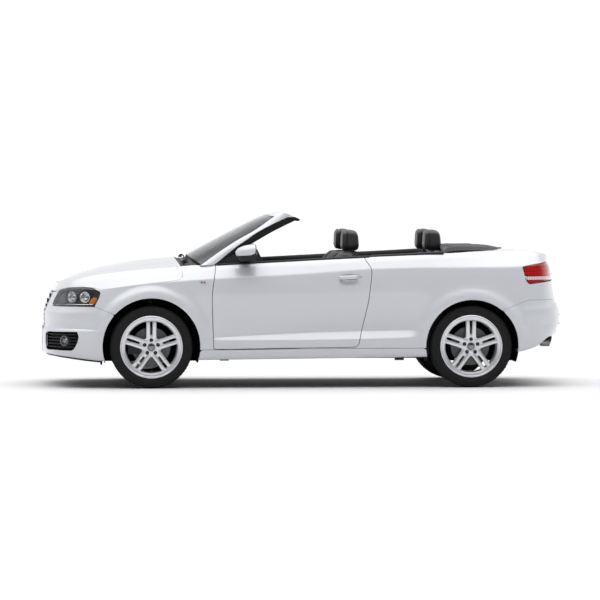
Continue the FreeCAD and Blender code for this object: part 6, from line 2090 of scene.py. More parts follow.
# --------------------------------------------------------------------------------- doors and side trims
@dataclass
class Sides(OnSkin):
    """The doors' insides and fittings, the openings' edges and the trim beside the rear seats."""

    inner: float = 733.0
    panel_depth: float = 13.0

    def _door_ring(self, inset: float, radius: float = 22.0, top: float = 0.0) -> np.ndarray:
        """The door's outline under the belt, drawn in by an inset.

        Args:
            inset: How far it is drawn in.
            radius: The corners' radius.
            top: How much lower the upper edge runs.

        Returns:
            Pairs of x and z.
        """
        path = np.array([*self.cuts.door_corners[:8], (486, 1030), (0, 1006), (-722, 980), (-750, 800),
                         (-757, 723)], float)
        path[8:11, 1] -= top
        ways = np.roll(path, -1, 0) - np.roll(path, 1, 0)
        ways /= np.linalg.norm(ways, axis=1)[:, None]
        inward = np.stack([-ways[:, 1], ways[:, 0]], 1)
        return rounded(path + inward * inset, radius, 5)

    def door(self, side_name: str) -> None:
        """A door's painted edge and its trim, and what is fixed to them."""
        side, body = SIDES[side_name], f"door_{side_name}"
        ring = self._door_ring(15, top=12)
        tight = self._door_ring(19, top=14)
        face = self.inner + self.panel_depth
        edge = grid([[(x, self.side_y(x, z) - 24, z) for x, z in ring], [(x, 760, z) for x, z in ring],
                     [(x, face, z) for x, z in tight]], close_columns=True)
        edge.faces.append(tuple(range(2 * len(ring), 3 * len(ring))))
        piece(f"door_edge_{side_name}", edge.on_side(side), Use.BODY, body, "body_paint", Make(crease=30))
        trim = self._door_ring(26, 30, 4)
        panel = loft([[(x, y, z) for x, z in outline] for outline, y in (
            (trim, face + 1), (trim, self.inner + 6), (self._door_ring(34, 30, 8), self.inner + 1))])
        piece(f"door_trim_{side_name}", panel.on_side(side), Use.DASH, body, "trim_plastic", Make(crease=30))
        self._door_furniture(side_name, side, body)

    def _door_furniture(self, side_name: str, side: int, body: str) -> None:
        """What is fixed to a door's trim and skin.

        Args:
            side_name: "left" or "right".
            side: The sign of y on that side.
            body: The door's body.
        """
        swell = np.sin(np.linspace(0.12, math.pi - 0.12, 19)) ** 0.5
        rest = loft([[(x, self.inner + 2 - 50 * grow * (0.5 + a / 2), 688 + 0.055 * x + 34 * grow * b)
                      for a, b in ring_points(20, 1, 1, 2.8)]
                     for x, grow in zip(np.linspace(-420, 300, 19), swell)])
        inset = rounded(((-470, 760), (330, 790), (300, 900), (-440, 880)), 40)
        cloth = slab(inset, (self.inner + 3, self.inner - 5))
        piece(f"door_armrest_{side_name}", rest.with_others(cloth).on_side(side), Use.SEAT, body,
              "trim_plastic", Make(crease=50, bevel=3))
        pull = tube(spline([(-330, 728, 716), (-322, 690, 742), (-200, 676, 756), (-78, 690, 762),
                            (-70, 728, 740)], 24), 8, 10)
        lever = tube([(-420, 728, 838), (-404, 716, 838), (-320, 714, 842), (-300, 718, 843)], [7, 8, 7, 5],
                     10, 0.6)
        piece(f"door_pulls_{side_name}", pull.with_others(lever).on_side(side), Use.SATIN, body,
              "trim_plastic")
        pocket = rounded(((-500, 372), (180, 384), (210, 420), (196, 500), (-480, 480)), 30)
        bin_shell = slab(pocket, (self.inner + 3, self.inner - 22))
        piece(f"door_pocket_{side_name}", bin_shell.on_side(side), Use.TRIM, body, "trim_plastic",
              Make(bevel=6))
        dots = []
        for number in range(1, 8):
            for angle in np.linspace(0, math.tau, number * 6, endpoint=False):
                dots.append((-590 + 11 * number * math.cos(angle), side * (self.inner - 1.5),
                             470 + 11 * number * math.sin(angle)))
        stud = lathe([(-2.5, 0.4), (-2.5, 3.6), (0, 4.2), (2.5, 3.6), (2.5, 0.4)], ORIGIN, 8)
        COPIES.along(f"speaker_{side_name}", stud, dots, Use.GLOSS, body, "trim_plastic")
        ledge = self._ledge(np.linspace(-712, 519, 42), (
            (772, -4), (770, 6), (761, 13), (746, 12), (736, -6), (733, -26), (742, -60), (758, -60)))
        piece(f"belt_trim_{side_name}", ledge.on_side(side), Use.TRIM, body, "black_plastic",
              Make(crease=40, bevel=2))
        self._outer_handle(side_name, side, body)

    def _ledge(self, run: np.ndarray, section: Sequence[Sequence[float]]) -> Shell:
        """A strip that follows the belt line. Its section is pairs of y and height over the belt."""
        tops = [self.cuts.body.at("belt", x)[2] for x in run]
        return loft([[(x, y, top + rise_by) for y, rise_by in section] for x, top in zip(run, tops)])

    def _outer_handle(self, side_name: str, side: int, body: str) -> None:
        """The bar handle, a black strip under it that is painted shadow, and the left door's lock.

        Args:
            side_name: "left" or "right".
            side: The sign of y on that side.
            body: The door's body.
        """
        start, long = 262, 156
        path = []
        for x in np.linspace(start, start + long, 25):
            t = (x - start) / long
            z = 884 + 7 * t
            path.append((x, self.side_y(x, z) + 13 - 21 * abs(2 * t - 1) ** 5, z))
        ends = np.array([0.45, 0.7] + [1.0] * 21 + [0.8, 0.5])
        grip = tube(path, 15.5 * ends, 16, 0.52, up=ALONG_Y)
        piece(f"door_handle_{side_name}", grip.on_side(side), Use.BODY, body, "body_paint")
        # A black strip just under the bar: painted shadow where the bar shades its bowl.
        slot = [(x, self.side_y(x, z) - 2, z - 14) for x, _, z in path[2:-2]]
        piece(f"handle_slot_{side_name}", tube(slot, 5.5, 8).on_side(side), Use.SEAL, body, "black_plastic")
        if side == LEFT:
            lock = lathe([(-10, 0.4), (4, 0.4), (4, 9), (2, 10.5), (-10, 10.5)],
                         (437, self.side_y(437, 893) - 1, 893), 24)
            piece("door_lock", lock.on_side(side), Use.SATIN, body, "body_paint")

    def openings(self) -> None:
        """The painted edges of the door openings, with their rubber and the tread strips."""
        path = np.array([(-735, 974), (-764, 800), (-771, 723), (-759, 340), (-745, 306), (-700, 304),
                         (380, 321), (412, 324), (436, 340), (455, 452), (513, 694), (540, 900), (541, 944),
                         (532, 974), (500, 1016)], float)
        path = spline(path, 120)
        centre = np.array([-120, 640.0])
        inward = centre - path
        inward /= np.linalg.norm(inward, axis=1)[:, None]
        skin = np.array([self.side_y(x, z) for x, z in path])
        rows = []
        for out, lip in ((skin - 10, 0), (skin - 42, 0), (716, 0), (712, 14), (690, 14)):
            x, z = (path + inward * lip).T
            rows.append(np.stack([x, np.broadcast_to(out, x.shape), z], 1))
        piece("door_openings", both(grid(rows)), Use.BODY, "body", "body_paint",
              Make(wall=3, closed=False, crease=30))
        rubber = [(x, 708, z) for x, z in (path + inward * 13)[::2]]
        piece("door_seals", both(tube(rubber, 7, 8, up=ALONG_Y)), Use.SEAL, "body", "black_plastic")
        strip = rounded(((-520, 728), (240, 728), (240, 786), (-520, 786)), 8)
        plate = loft([[(x, y, z + 0.0142 * (x + 120)) for x, y in strip] for z in (311, 315.5)])
        fitted("tread_strips", both(plate), Use.SATIN, Make(bevel=1.5))

    def rear_trims(self) -> None:
        """The trim beside the rear seats, the kick panels and the strip along the rear belt line."""
        trims = [slab(rounded(path, radius), levels) for path, radius, levels in (
            (((546, 262), (1112, 262), (1112, 1036), (640, 1016), (552, 1010)), 30, (744, 706)),
            (((600, 600), (1040, 612), (1040, 700), (600, 690)), 34, (712, 626)),
            (((-836, 262), (-768, 262), (-768, 640), (-836, 640)), 20, (744, 702)))]
        fitted("side_trims", both(joined(trims)), Use.DASH, Make(bevel=8, segments=3))
        ledge = self._ledge(np.linspace(526, 1120, 24), (
            (764, -3), (760, 9), (748, 15), (716, 14), (706, -8), (704, -30), (750, -34)))
        piece("belt_trim_rear", both(ledge), Use.TRIM, "body", "black_plastic", Make(crease=40, bevel=2))

    def repeaters(self) -> None:
        """The lamps on the front wings."""
        x, z = -829, 850
        out = self.side_y(x, z)
        rings = [[(x + a, out + k, z + b) for a, b in ring_points(28, 29 * s, 13 * s, 3.4)]
                 for k, s in ((-6, 1.0), (2.5, 1.0), (5, 0.9), (5.8, 0.6))]
        piece("side_repeaters", both(loft(rings)), Use.LENS, "body", "clear_lamp", Make(crease=50))
        bulbs = [lathe([(out - 2, 0.4), (out + 3.2, 0.4), (out + 3.2, 7), (out - 2, 7)], (x + s, 0, z), 16)
                 for s in (-11, 11)]
        piece("repeater_bulbs", both(joined(bulbs)), Use.RED, "body", "red_lamp")

    def build(self) -> None:
        """Makes everything on the car's sides but the paint."""
        for side_name in SIDES:
            self.door(side_name)
            DoorMirror(side_name).build()
        self.openings()
        self.rear_trims()
        self.repeaters()


# --------------------------------------------------------------------------------- lamps, grille and ends
@dataclass
class Ends(OnSkin):
    """The car's lamps, grille, openings and fittings at both ends.

    A bowl or a lamp is given by its x and z, and its radius.
    """

    lamp_depth: float = 74.0
    bowls: tuple = ((-1884, 730, 38.0), (-1782, 730, 38.0))
    fog_lamp: tuple = (-1946, 380, 39.0)
    fog_turn: float = 42.0
    slat_count: int = 13
    slat_section: tuple = ((-9, 0.5), (-6.5, 4.4), (8, 6.5), (10, 5), (10, -3.5), (8, -5), (-6.5, -3.6),
                           (-9, -1.5))
    pipes_y: tuple[float, float] = (-490.0, -410.0)

    def sheet(self, inside: np.ndarray, shift: Sequence[float]) -> Shell:
        """The part of the skin inside a region, moved by a shift."""
        return trimmed(self.cuts.body.skin(), inside).moved(*shift)

    def both_sides(self, name: str, shell: Shell, use: Use, slot: str, make: Make = Make(),
                   nodes: Sequence[str] = ()) -> None:
        """A right-hand shell and its mirror image as one piece on the body."""
        piece(name, both(shell), use, "body", slot, make, nodes)

    def _pocket(self, corners: Sequence[Sequence[float]], radius: float, shift: Sequence[float],
                inset: float = 1.5) -> Shell:
        """The wall round an opening in the car's side, from the skin to the opening's floor.

        Args:
            corners: The opening's corners as pairs of x and z.
            radius: The corners' radius.
            shift: The way from the skin to the floor.
            inset: How much smaller it is than the opening, in hundredths.

        Returns:
            The open wall.
        """
        ring = rounded(corners, radius)
        centre = ring.mean(0)
        ring = ring + (centre - ring) * (inset / 100)
        edge = np.array([(x, self.side_y(x, z) - 1, z) for x, z in ring])
        floor = edge + shift
        return grid([edge, edge + np.array(shift) * 0.5, floor + (floor.mean(0) - floor) * 0.03],
                    close_columns=True)

    def headlamps(self) -> None:
        """Clear lenses over grey buckets with two bright bowls, an amber lamp and a bright strip."""
        c = self.cuts
        points = c.body.skin().points
        lamp = c.lamp(points)
        lens = self.sheet(lamp - c.gap / 2, (0.5, -0.5, 0))
        self.both_sides("headlamp_lenses", lens, Use.LENS, "clear_lamp", walled(3), ["headlamps"])
        rim = self.sheet(np.minimum(lamp - c.gap / 2, 10 - lamp), (3, -4, 0))
        self.both_sides("headlamp_rims", rim, Use.GLOSS, "black_plastic", walled(5))
        shift = (26.0, -self.lamp_depth, 0.0)
        floor = self.sheet(lamp - 2, shift)
        bucket = floor.with_others(self._pocket(c.lamp_corners, 15, shift))
        self.both_sides("headlamp_buckets", bucket, Use.BEZEL, "clear_lamp", walled(2))
        chrome, dark, bulbs = [], [], []
        for x, z, radius in self.bowls:
            centre = (x + 8, self.side_y(x, z) - 20, z)
            turn = 0.9 * math.degrees(math.atan((self.side_y(x + 10, z) - self.side_y(x - 10, z)) / 20))
            bowl = lathe([(-44, 3), (-40, radius * 0.42), (-30, radius * 0.68), (-16, radius * 0.88),
                          (-2, radius), (1, radius + 2), (1, radius + 5), (-6, radius + 5), (-18, radius + 1),
                          (-46, radius * 0.5), (-48, 3)], centre, 56, closed=True)
            bulb = lathe([(-40, 4), (-14, 5), (-12, 9), (-4, 10.5), (0, 8), (2, 0.5)], centre, 24)
            hood = lathe([(-34, radius + 9), (-4, radius + 9), (-1, radius + 7), (-3, radius + 4.5),
                          (-36, radius + 4)], centre, 56, closed=True)
            chrome.append(bowl.turned(ALONG_Z, turn, centre))
            bulbs.append(bulb.turned(ALONG_Z, turn, centre))
            dark.append(hood.turned(ALONG_Z, turn, centre))
        self.both_sides("headlamp_bowls", joined(chrome), Use.BOWL, "clear_lamp")
        self.both_sides("headlamp_bulbs", joined(bulbs), Use.SATIN, "clear_lamp")
        self.both_sides("headlamp_hoods", joined(dark), Use.DASH, "black_plastic")
        amber = rounded(((-1746, 676), (-1704, 674), (-1682, 700), (-1676, 722), (-1700, 732), (-1730, 712)),
                        9, 4)
        rings = [[(x + k, self.side_y(x, z) - d, z) for x, z in amber] for d, k in ((16, 0), (40, 8))]
        self.both_sides("headlamp_indicators", loft(rings), Use.AMBER, "clear_lamp", Make(bevel=3, crease=30))
        strip = [(x, self.side_y(x, 668) - 16, 668 + 0.014 * (x + 2010))
                 for x in np.linspace(-2004, -1712, 30)]
        self.both_sides("headlamp_strips", tube(strip, 5.5, 8, 0.6), Use.CHROME, "clear_lamp")
        ribs, turns, sizes = [], [], []
        for side in SIDES.values():
            for x in np.linspace(-2000, -1936, 9):
                ribs.append((x + 12, side * (self.side_y(x, 716) - 58), 690 + (x + 2000) * 0.5))
                turns.append((0, 0, side * 0.6))
                sizes.append((1, 1, 0.6 + (x + 2000) / 110))
        COPIES.along("headlamp_ribs", block(-1.2, 1.2, -16, 16, -34, 34), ribs, Use.SATIN, "body",
                     "clear_lamp", turns, sizes)

    def _slat_line(self, number: int, inset: float, depth: float, count: int,
                   lift: float = 0.0) -> np.ndarray:
        """The line of one of the grille's slats across the nose.

        Args:
            number: The slat's number from the bottom, which may lie between two.
            inset: How far its ends stop short of the grille's edge.
            depth: How far it lies behind the skin.
            count: How many points it has.
            lift: How far it is raised.

        Returns:
            The line's points.
        """
        c = self.cuts
        z = c.grille_z[0] + 22 + self.slat_step * number
        half = float(np.interp(z, c.grille_z, c.grille_half)) - inset
        return np.array([(self.end_x(y, z) + depth, y, z + lift) for y in np.linspace(-half, half, count)])

    @property
    def slat_step(self) -> float:
        """How far one of the grille's slats lies above the next."""
        return (self.cuts.grille_z[2] - self.cuts.grille_z[0] - 44) / (self.slat_count - 1)

    def grille(self) -> None:
        """The bright frame, curved slats with upright ribs between them, and the dark mesh behind."""
        c = self.cuts
        region = c.grille(c.body.skin().points)
        frame_band = np.minimum(region - c.gap / 2, 19 - region)
        self.both_sides("grille_frame", self.sheet(frame_band, (-1, 0, 0)), Use.SATIN, "grille_plastic",
                        walled(12), ["grille"])
        back = self.sheet(region - 6, (46, 0, 0))
        self.both_sides("grille_back", back, Use.LINER, "grille_plastic", walled(3))
        slats, ribs = [], []
        for number in range(self.slat_count):
            path = self._slat_line(number, 22, 16, 41)
            slats.append(loft([[(x + a, y, z + b) for a, b in self.slat_section] for x, y, z in path]))
            half, z = path[-1, 1:]
            if number < self.slat_count - 1:
                ribs += [(self.end_x(y, z) + 30, y, z + self.slat_step / 2)
                         for y in np.arange(-half + 14, half - 10, 24.0)]
        piece("grille_slats", joined(slats), Use.GLOSS, "body", "grille_plastic", Make(crease=30))
        COPIES.along("grille_ribs", block(-8, 8, -1.6, 1.6, -11, 11), ribs, Use.TRIM, "body",
                     "grille_plastic", sizes=(1, 1, self.slat_step / 22.0))
        edges = [tube(self._slat_line(number, 26, 7.5, 31, 0.5), 2.2, 6, up=ALONG_Z)
                 for number in range(1, self.slat_count - 1)]
        piece("grille_brights", joined(edges), Use.CHROME, "body", "grille_plastic")

    def fogs(self) -> None:
        """The lower openings with their bars and round lamps."""
        c = self.cuts
        fog = c.fog(c.body.skin().points)
        shift = (34.0, -34.0, 0.0)
        rim = self.sheet(np.minimum(fog - c.gap / 2, 9 - fog), (2.5, -2.5, 0))
        floor = self.sheet(fog - 1, shift).with_others(self._pocket(c.fog_corners, 14, shift))
        self.both_sides("fog_rims", rim, Use.GLOSS, "black_plastic", walled(6))
        self.both_sides("fog_pockets", floor, Use.LINER, "black_plastic", walled(2))
        bars = []
        for z in (330, 355, 380, 405, 430):
            path = [(x + 9, self.side_y(x, z) - 9, z) for x in np.linspace(-2066, -1850, 30)]
            bars.append(tube(path, 7.5, 8, 0.55))
        self.both_sides("fog_bars", joined(bars), Use.TRIM, "black_plastic")
        x, z, radius = self.fog_lamp
        centre = (x + 4, self.side_y(x, z) - 6, z)
        ring = lathe([(-40, radius + 2), (-2, radius + 4), (2, radius + 2), (2, radius - 4), (-4, radius - 7),
                      (-40, radius - 9)], centre, 56, closed=True)
        bowl = lathe([(-34, 3), (-28, 18), (-14, radius - 11), (-6, radius - 7), (-9, radius - 5),
                      (-20, radius - 7), (-36, 3)], centre, 48)
        bulb = lathe([(-32, 4), (-14, 6), (-10, 8.5), (-6, 7), (-5, 0.5)], centre, 20)
        lens = lathe([(-6, radius - 5), (-1, radius - 8), (1.5, radius * 0.45), (2.2, 0.5)], centre, 48)
        for part, shell, use, slot, make in (
                ("rings", ring, Use.BEZEL, "black_plastic", Make()),
                ("bowls", bowl.with_others(bulb), Use.BOWL, "clear_lamp", Make()),
                ("lenses", lens, Use.LENS, "clear_lamp", Make(wall=1.5, closed=False))):
            self.both_sides(f"fog_lamp_{part}", shell.turned(ALONG_Z, self.fog_turn, centre), use, slot, make)

    def front_lip(self) -> None:
        """The black strip under the front bumper."""
        line = self.cuts.body.keys["foot"]
        path = line[line[:, 0] < -1640]
        ring = np.array([(-8, 8), (-9, -3), (-16, -9), (-26, -10), (-40, -6), (-40, 8)])
        ways = np.gradient(path[:, :2], axis=0)
        ways /= np.linalg.norm(ways, axis=1)[:, None]
        out = np.stack([-ways[:, 1], ways[:, 0]], 1)
        drop = 1 - 0.35 * rise(path[:, 0], -1800, -1640)
        rings = [[(p[0] + o[0] * a, p[1] + o[1] * a, p[2] + b * d) for a, b in ring]
                 for p, o, d in zip(path, out, drop)]
        self.both_sides("front_lip", loft(rings), Use.TRIM, "black_plastic", Make(crease=40))

    def rear_lamps(self) -> None:
        """Red lenses set in dark frames."""
        c = self.cuts
        lamp = c.tail_lamp(c.body.skin().points)
        lens = self.sheet(lamp - c.gap / 2 - 3, (-0.5, -0.5, 0))
        frame_band = np.minimum(lamp - c.gap / 2, 9 - lamp)
        self.both_sides("rear_lamp_frames", self.sheet(frame_band, (-2.5, -3, 0)), Use.GLOSS, "black_plastic",
                        walled(10))
        self.both_sides("rear_lamp_lenses", lens, Use.RED, "red_lamp", walled(6), ["rear_lamps"])

    def tail(self) -> None:
        """The lid's fittings, the blank plate, the lower panel, the pipes and what is set in the bumper."""
        plate_y = np.linspace(-262, 262, 31)
        rows = [[(self.end_x(v, z, "rear") + 1.5, v, z) for v in plate_y] for z in np.linspace(758, 872, 9)]
        piece("rear_plate", grid(rows), Use.PLATE, "boot_lid", "trim_plastic", Make(wall=3, closed=False))

        def strip(z: float, across: np.ndarray, section: Sequence[Sequence[float]]) -> Shell:
            """A strip on the tail's skin at a height. Its section is pairs of x and z from there."""
            return loft([[(self.end_x(y, z, "rear") + a, y, z + b) for a, b in section] for y in across])

        grip = strip(902, np.linspace(-300, 300, 41),
                     ((-3, -12), (9, -11), (15, -3), (13, 7), (4, 12), (-3, 13)))
        piece("lid_grip", grip, Use.CHROME, "boot_lid", "body_paint", Make(crease=40))
        lamp = strip(1014, np.linspace(-190, 190, 25), ((-6, -5), (3, -4), (3, 4), (-6, 5)))
        piece("high_brake_lamp", lamp, Use.RED, "boot_lid", "red_lamp", Make(bevel=1))
        c = self.cuts
        points = c.body.skin().points
        low = np.minimum(np.minimum(452 - points[:, 2], 560 - points[:, 1] - 0.6 * (points[:, 2] - 360)),
                         points[:, 0] - 1960)
        right = trimmed(c.body.skin(), low).moved(2.5, 0, 0)
        left = trimmed(c.body.skin(), np.minimum(low, -c.notch(points) - 6)).moved(2.5, 0, 0).mirrored()
        piece("rear_valance", right.with_others(left), Use.TRIM, "body", "black_plastic", walled(5))
        fins = [(self.end_x(v, 400, "rear") + 4, v, 402) for v in (-220, -110, 0, 110, 220)]
        COPIES.along("valance_fins", block(-9, 9, -5, 5, -30, 30), fins, Use.TRIM, "body", "black_plastic",
                     (0, 0.12, 0), bevel=2.0)
        self.exhaust()
        reflectors = strip(508, np.linspace(440, 552, 12), ((-3, -10), (3, -9), (3, 9), (-3, 10)))
        self.both_sides("rear_reflectors", reflectors, Use.RED, "red_lamp", Make(bevel=1.5))
        sensors = lathe([(-4, 10), (1.5, 10), (2.5, 8), (2.6, 0.5)], ORIGIN, 20, "x")
        for v in (230, 520):
            self.both_sides(f"parking_sensors_{v}", sensors.moved(self.end_x(v, 575, "rear"), v, 575),
                            Use.BODY, "body_paint")

    def exhaust(self) -> None:
        """The pipe in the tunnel, the silencer under the boot and the two pipe ends, cut aslant."""
        tips = [lathe([(1946, 36.6), (2016, 37.4), (2022, 36.4), (2022, 34), (2014, 32.6), (1946, 31)],
                      (0, y, 0), 48, "x", closed=True) for y in self.pipes_y]
        ends = joined(tips)
        ends.points[:, 0] += 0.30 * ends.points[:, 2] * (ends.points[:, 0] > 1990)
        piece("exhaust_tips", ends.moved(0, 0, 352), Use.TIP, "body", "exhaust_steel", Make(crease=40))
        can = rounded(((-520, 312), (60, 312), (60, 436), (-520, 436)), 56, 8)
        middle = can.mean(0)
        rings = []
        for x, share in ((1578, 0.84), (1584, 0.97), (1594, 1.0), (1818, 1.0), (1828, 0.97), (1834, 0.84)):
            rings.append([(x, *(middle + (corner - middle) * share)) for corner in can])
        lines = [spline([(-930, 0, 281), (200, 0, 281), (1100, 0, 281), (1420, 0, 300), (1600, 0, 366)], 40)]
        lines += [spline([(1810, y, 374), (1880, y, 366), (1960, y, 352)], 12) for y in self.pipes_y]
        shells = [tube(line, 26, 20, up=ALONG_Y) for line in lines]
        piece("exhaust_system", loft(rings).with_others(*shells), Use.IRON, "body", "exhaust_steel",
              Make(crease=40, bevel=2), ["exhaust"])

    def linings(self) -> None:
        """The undersides of the bonnet and the boot lid, and the boot's carpet."""
        c = self.cuts
        points = c.body.skin().points
        for name, region, use, body in (("bonnet", c.bonnet(points), Use.UNDER, "bonnet"),
                                        ("boot_lid", c.lid(points), Use.CARPET, "boot_lid")):
            inside = np.minimum(region - 34, c.outside(points, c.opening) - 30)
            if name == "boot_lid":
                inside = np.minimum(inside, points[:, 2] - 1000)
            lining = trimmed(c.body.skin(), inside).moved(0, 0, -19)
            piece(f"{name}_lining", both(lining), use, body, "underbody", walled(8))
        top = np.array(c.body.CENTRE).T
        ribs = [(x, 0, float(np.interp(x, *top)) - 62) for x in np.arange(-1770, -1150, 150)]
        COPIES.along("bonnet_ribs", block(-16, 16, -400, 400, -9, 9), ribs, Use.UNDER, "bonnet", "underbody",
                     (0, -0.12, 0), bevel=4.0)
        floor = rounded(((1170, -520), (1985, -470), (1985, 470), (1170, 520)), 60)
        fitted("boot_carpet", slab(floor, (469, 478), View.PLAN), Use.CARPET, Make(bevel=3))

    def build(self) -> None:
        """Makes both ends' pieces."""
        self.headlamps()
        self.grille()
        self.fogs()
        self.front_lip()
        self.rear_lamps()
        self.tail()
        self.linings()


# ------------------------------------------------------------------------------------------------- cabin
@dataclass
class Pad:
    """A sewn pad: a crowned middle between two bolsters, with rounded ends and sewn channels.

    Its line is the middle of its face, and lift is the way that its face looks.
    """

    line: Sequence[Sequence[float]]
    widths: Sequence[float]
    depths: Sequence[float]
    lift: tuple[float, float]
    bolster: float = 26.0
    insert: float = 0.58
    channel: float = 62.0
    crown: float = 9.0
    around: int = 72

    def stations(self, count: int) -> tuple[np.ndarray, np.ndarray, np.ndarray, np.ndarray]:
        """The line's points, half widths, depths and runs from its start, evenly spread."""
        even = spline(np.column_stack([np.array(self.line, float), self.widths, self.depths]), count)
        points = even[:, :2]
        run = np.concatenate([[0], np.cumsum(np.linalg.norm(np.diff(points, axis=0), axis=1))])
        return points, even[:, 2], even[:, 3], run

    def face(self, share: np.ndarray, run: float, fade: float) -> np.ndarray:
        """How proud the face stands at shares of its half width.

        Args:
            share: Shares of the half width, from -1 to 1.
            run: The length along the pad's line.
            fade: The share of the full relief at this run.

        Returns:
            The height over the flat pad at each share.
        """
        u = np.abs(share)
        inner = np.clip(u / self.insert, 0, 1)
        outer = np.clip((u - self.insert) / (1 - self.insert), 0, 1)
        middle = self.crown * (1 - inner ** 2)
        sewn = 4.5 * np.exp(-(((run / self.channel) % 1.0 - 0.5) / 0.055) ** 2) * (u < self.insert * 0.96)
        side = self.bolster * np.sin(np.pi * np.clip(outer * 0.86, 0, 1)) ** 0.8
        seam = 6.0 * np.exp(-((u - self.insert) / 0.03) ** 2)
        return (middle - sewn + side * (outer > 0) - seam) * fade

    def shell(self, y: float, count: int = 56) -> Shell:
        """The closed pad about a y.

        Args:
            y: The pad's middle.
            count: How many rings it has.

        Returns:
            The closed pad.
        """
        points, widths, depths, run = self.stations(count)
        lift = np.array(self.lift) / np.linalg.norm(self.lift)
        rings = []
        for number, (point, half, depth) in enumerate(zip(points, widths, depths)):
            end = min(run[number], run[-1] - run[number])
            round_off = 1 - (1 - np.clip(end / 46.0, 0, 1)) ** 2
            size = 0.70 + 0.30 * math.sqrt(round_off)
            fade = float(rise(end, 4, 60))
            angles = np.linspace(0, math.tau, self.around, endpoint=False)
            c, s = np.cos(angles), np.sin(angles)
            across = np.sign(c) * np.abs(c) ** 0.62
            up = np.sign(s) * np.abs(s) ** 0.42
            thick = depth / 2 * (0.35 + 0.65 * math.sqrt(round_off))
            proud = np.where(s > 0, self.face(across, run[number], fade) * np.clip(s * 3, 0, 1), 0)
            out = -depth / 2 + up * thick + proud
            rings.append(np.stack([point[0] + lift[0] * out, y + across * half * size,
                                   point[1] + lift[1] * out], 1))
        return loft(rings)

    def seams(self, y: float, step: float = 11.0) -> tuple[list, list]:
        """Where stitches lie beside both seams, and their turns."""
        points, widths, _, run = self.stations(200)
        lift = np.array(self.lift) / np.linalg.norm(self.lift)
        places, turns = [], []
        for at in np.arange(48, run[-1] - 48, step):
            x, z, half = (float(np.interp(at, run, v)) for v in (points[:, 0], points[:, 1], widths))
            x1, z1 = (float(np.interp(at + 2, run, v)) for v in (points[:, 0], points[:, 1]))
            for side in (-1, 1):
                for gap in (-7.0, 9.0):
                    share = (self.insert * half + gap) / half
                    proud = float(self.face(np.array([share]), at, 1.0)[0]) + 0.4
                    places.append((x + lift[0] * proud, y + side * (self.insert * half + gap),
                                   z + lift[1] * proud))
                    turns.append((0, -math.atan2(z1 - z, x1 - x), 0))
        return places, turns


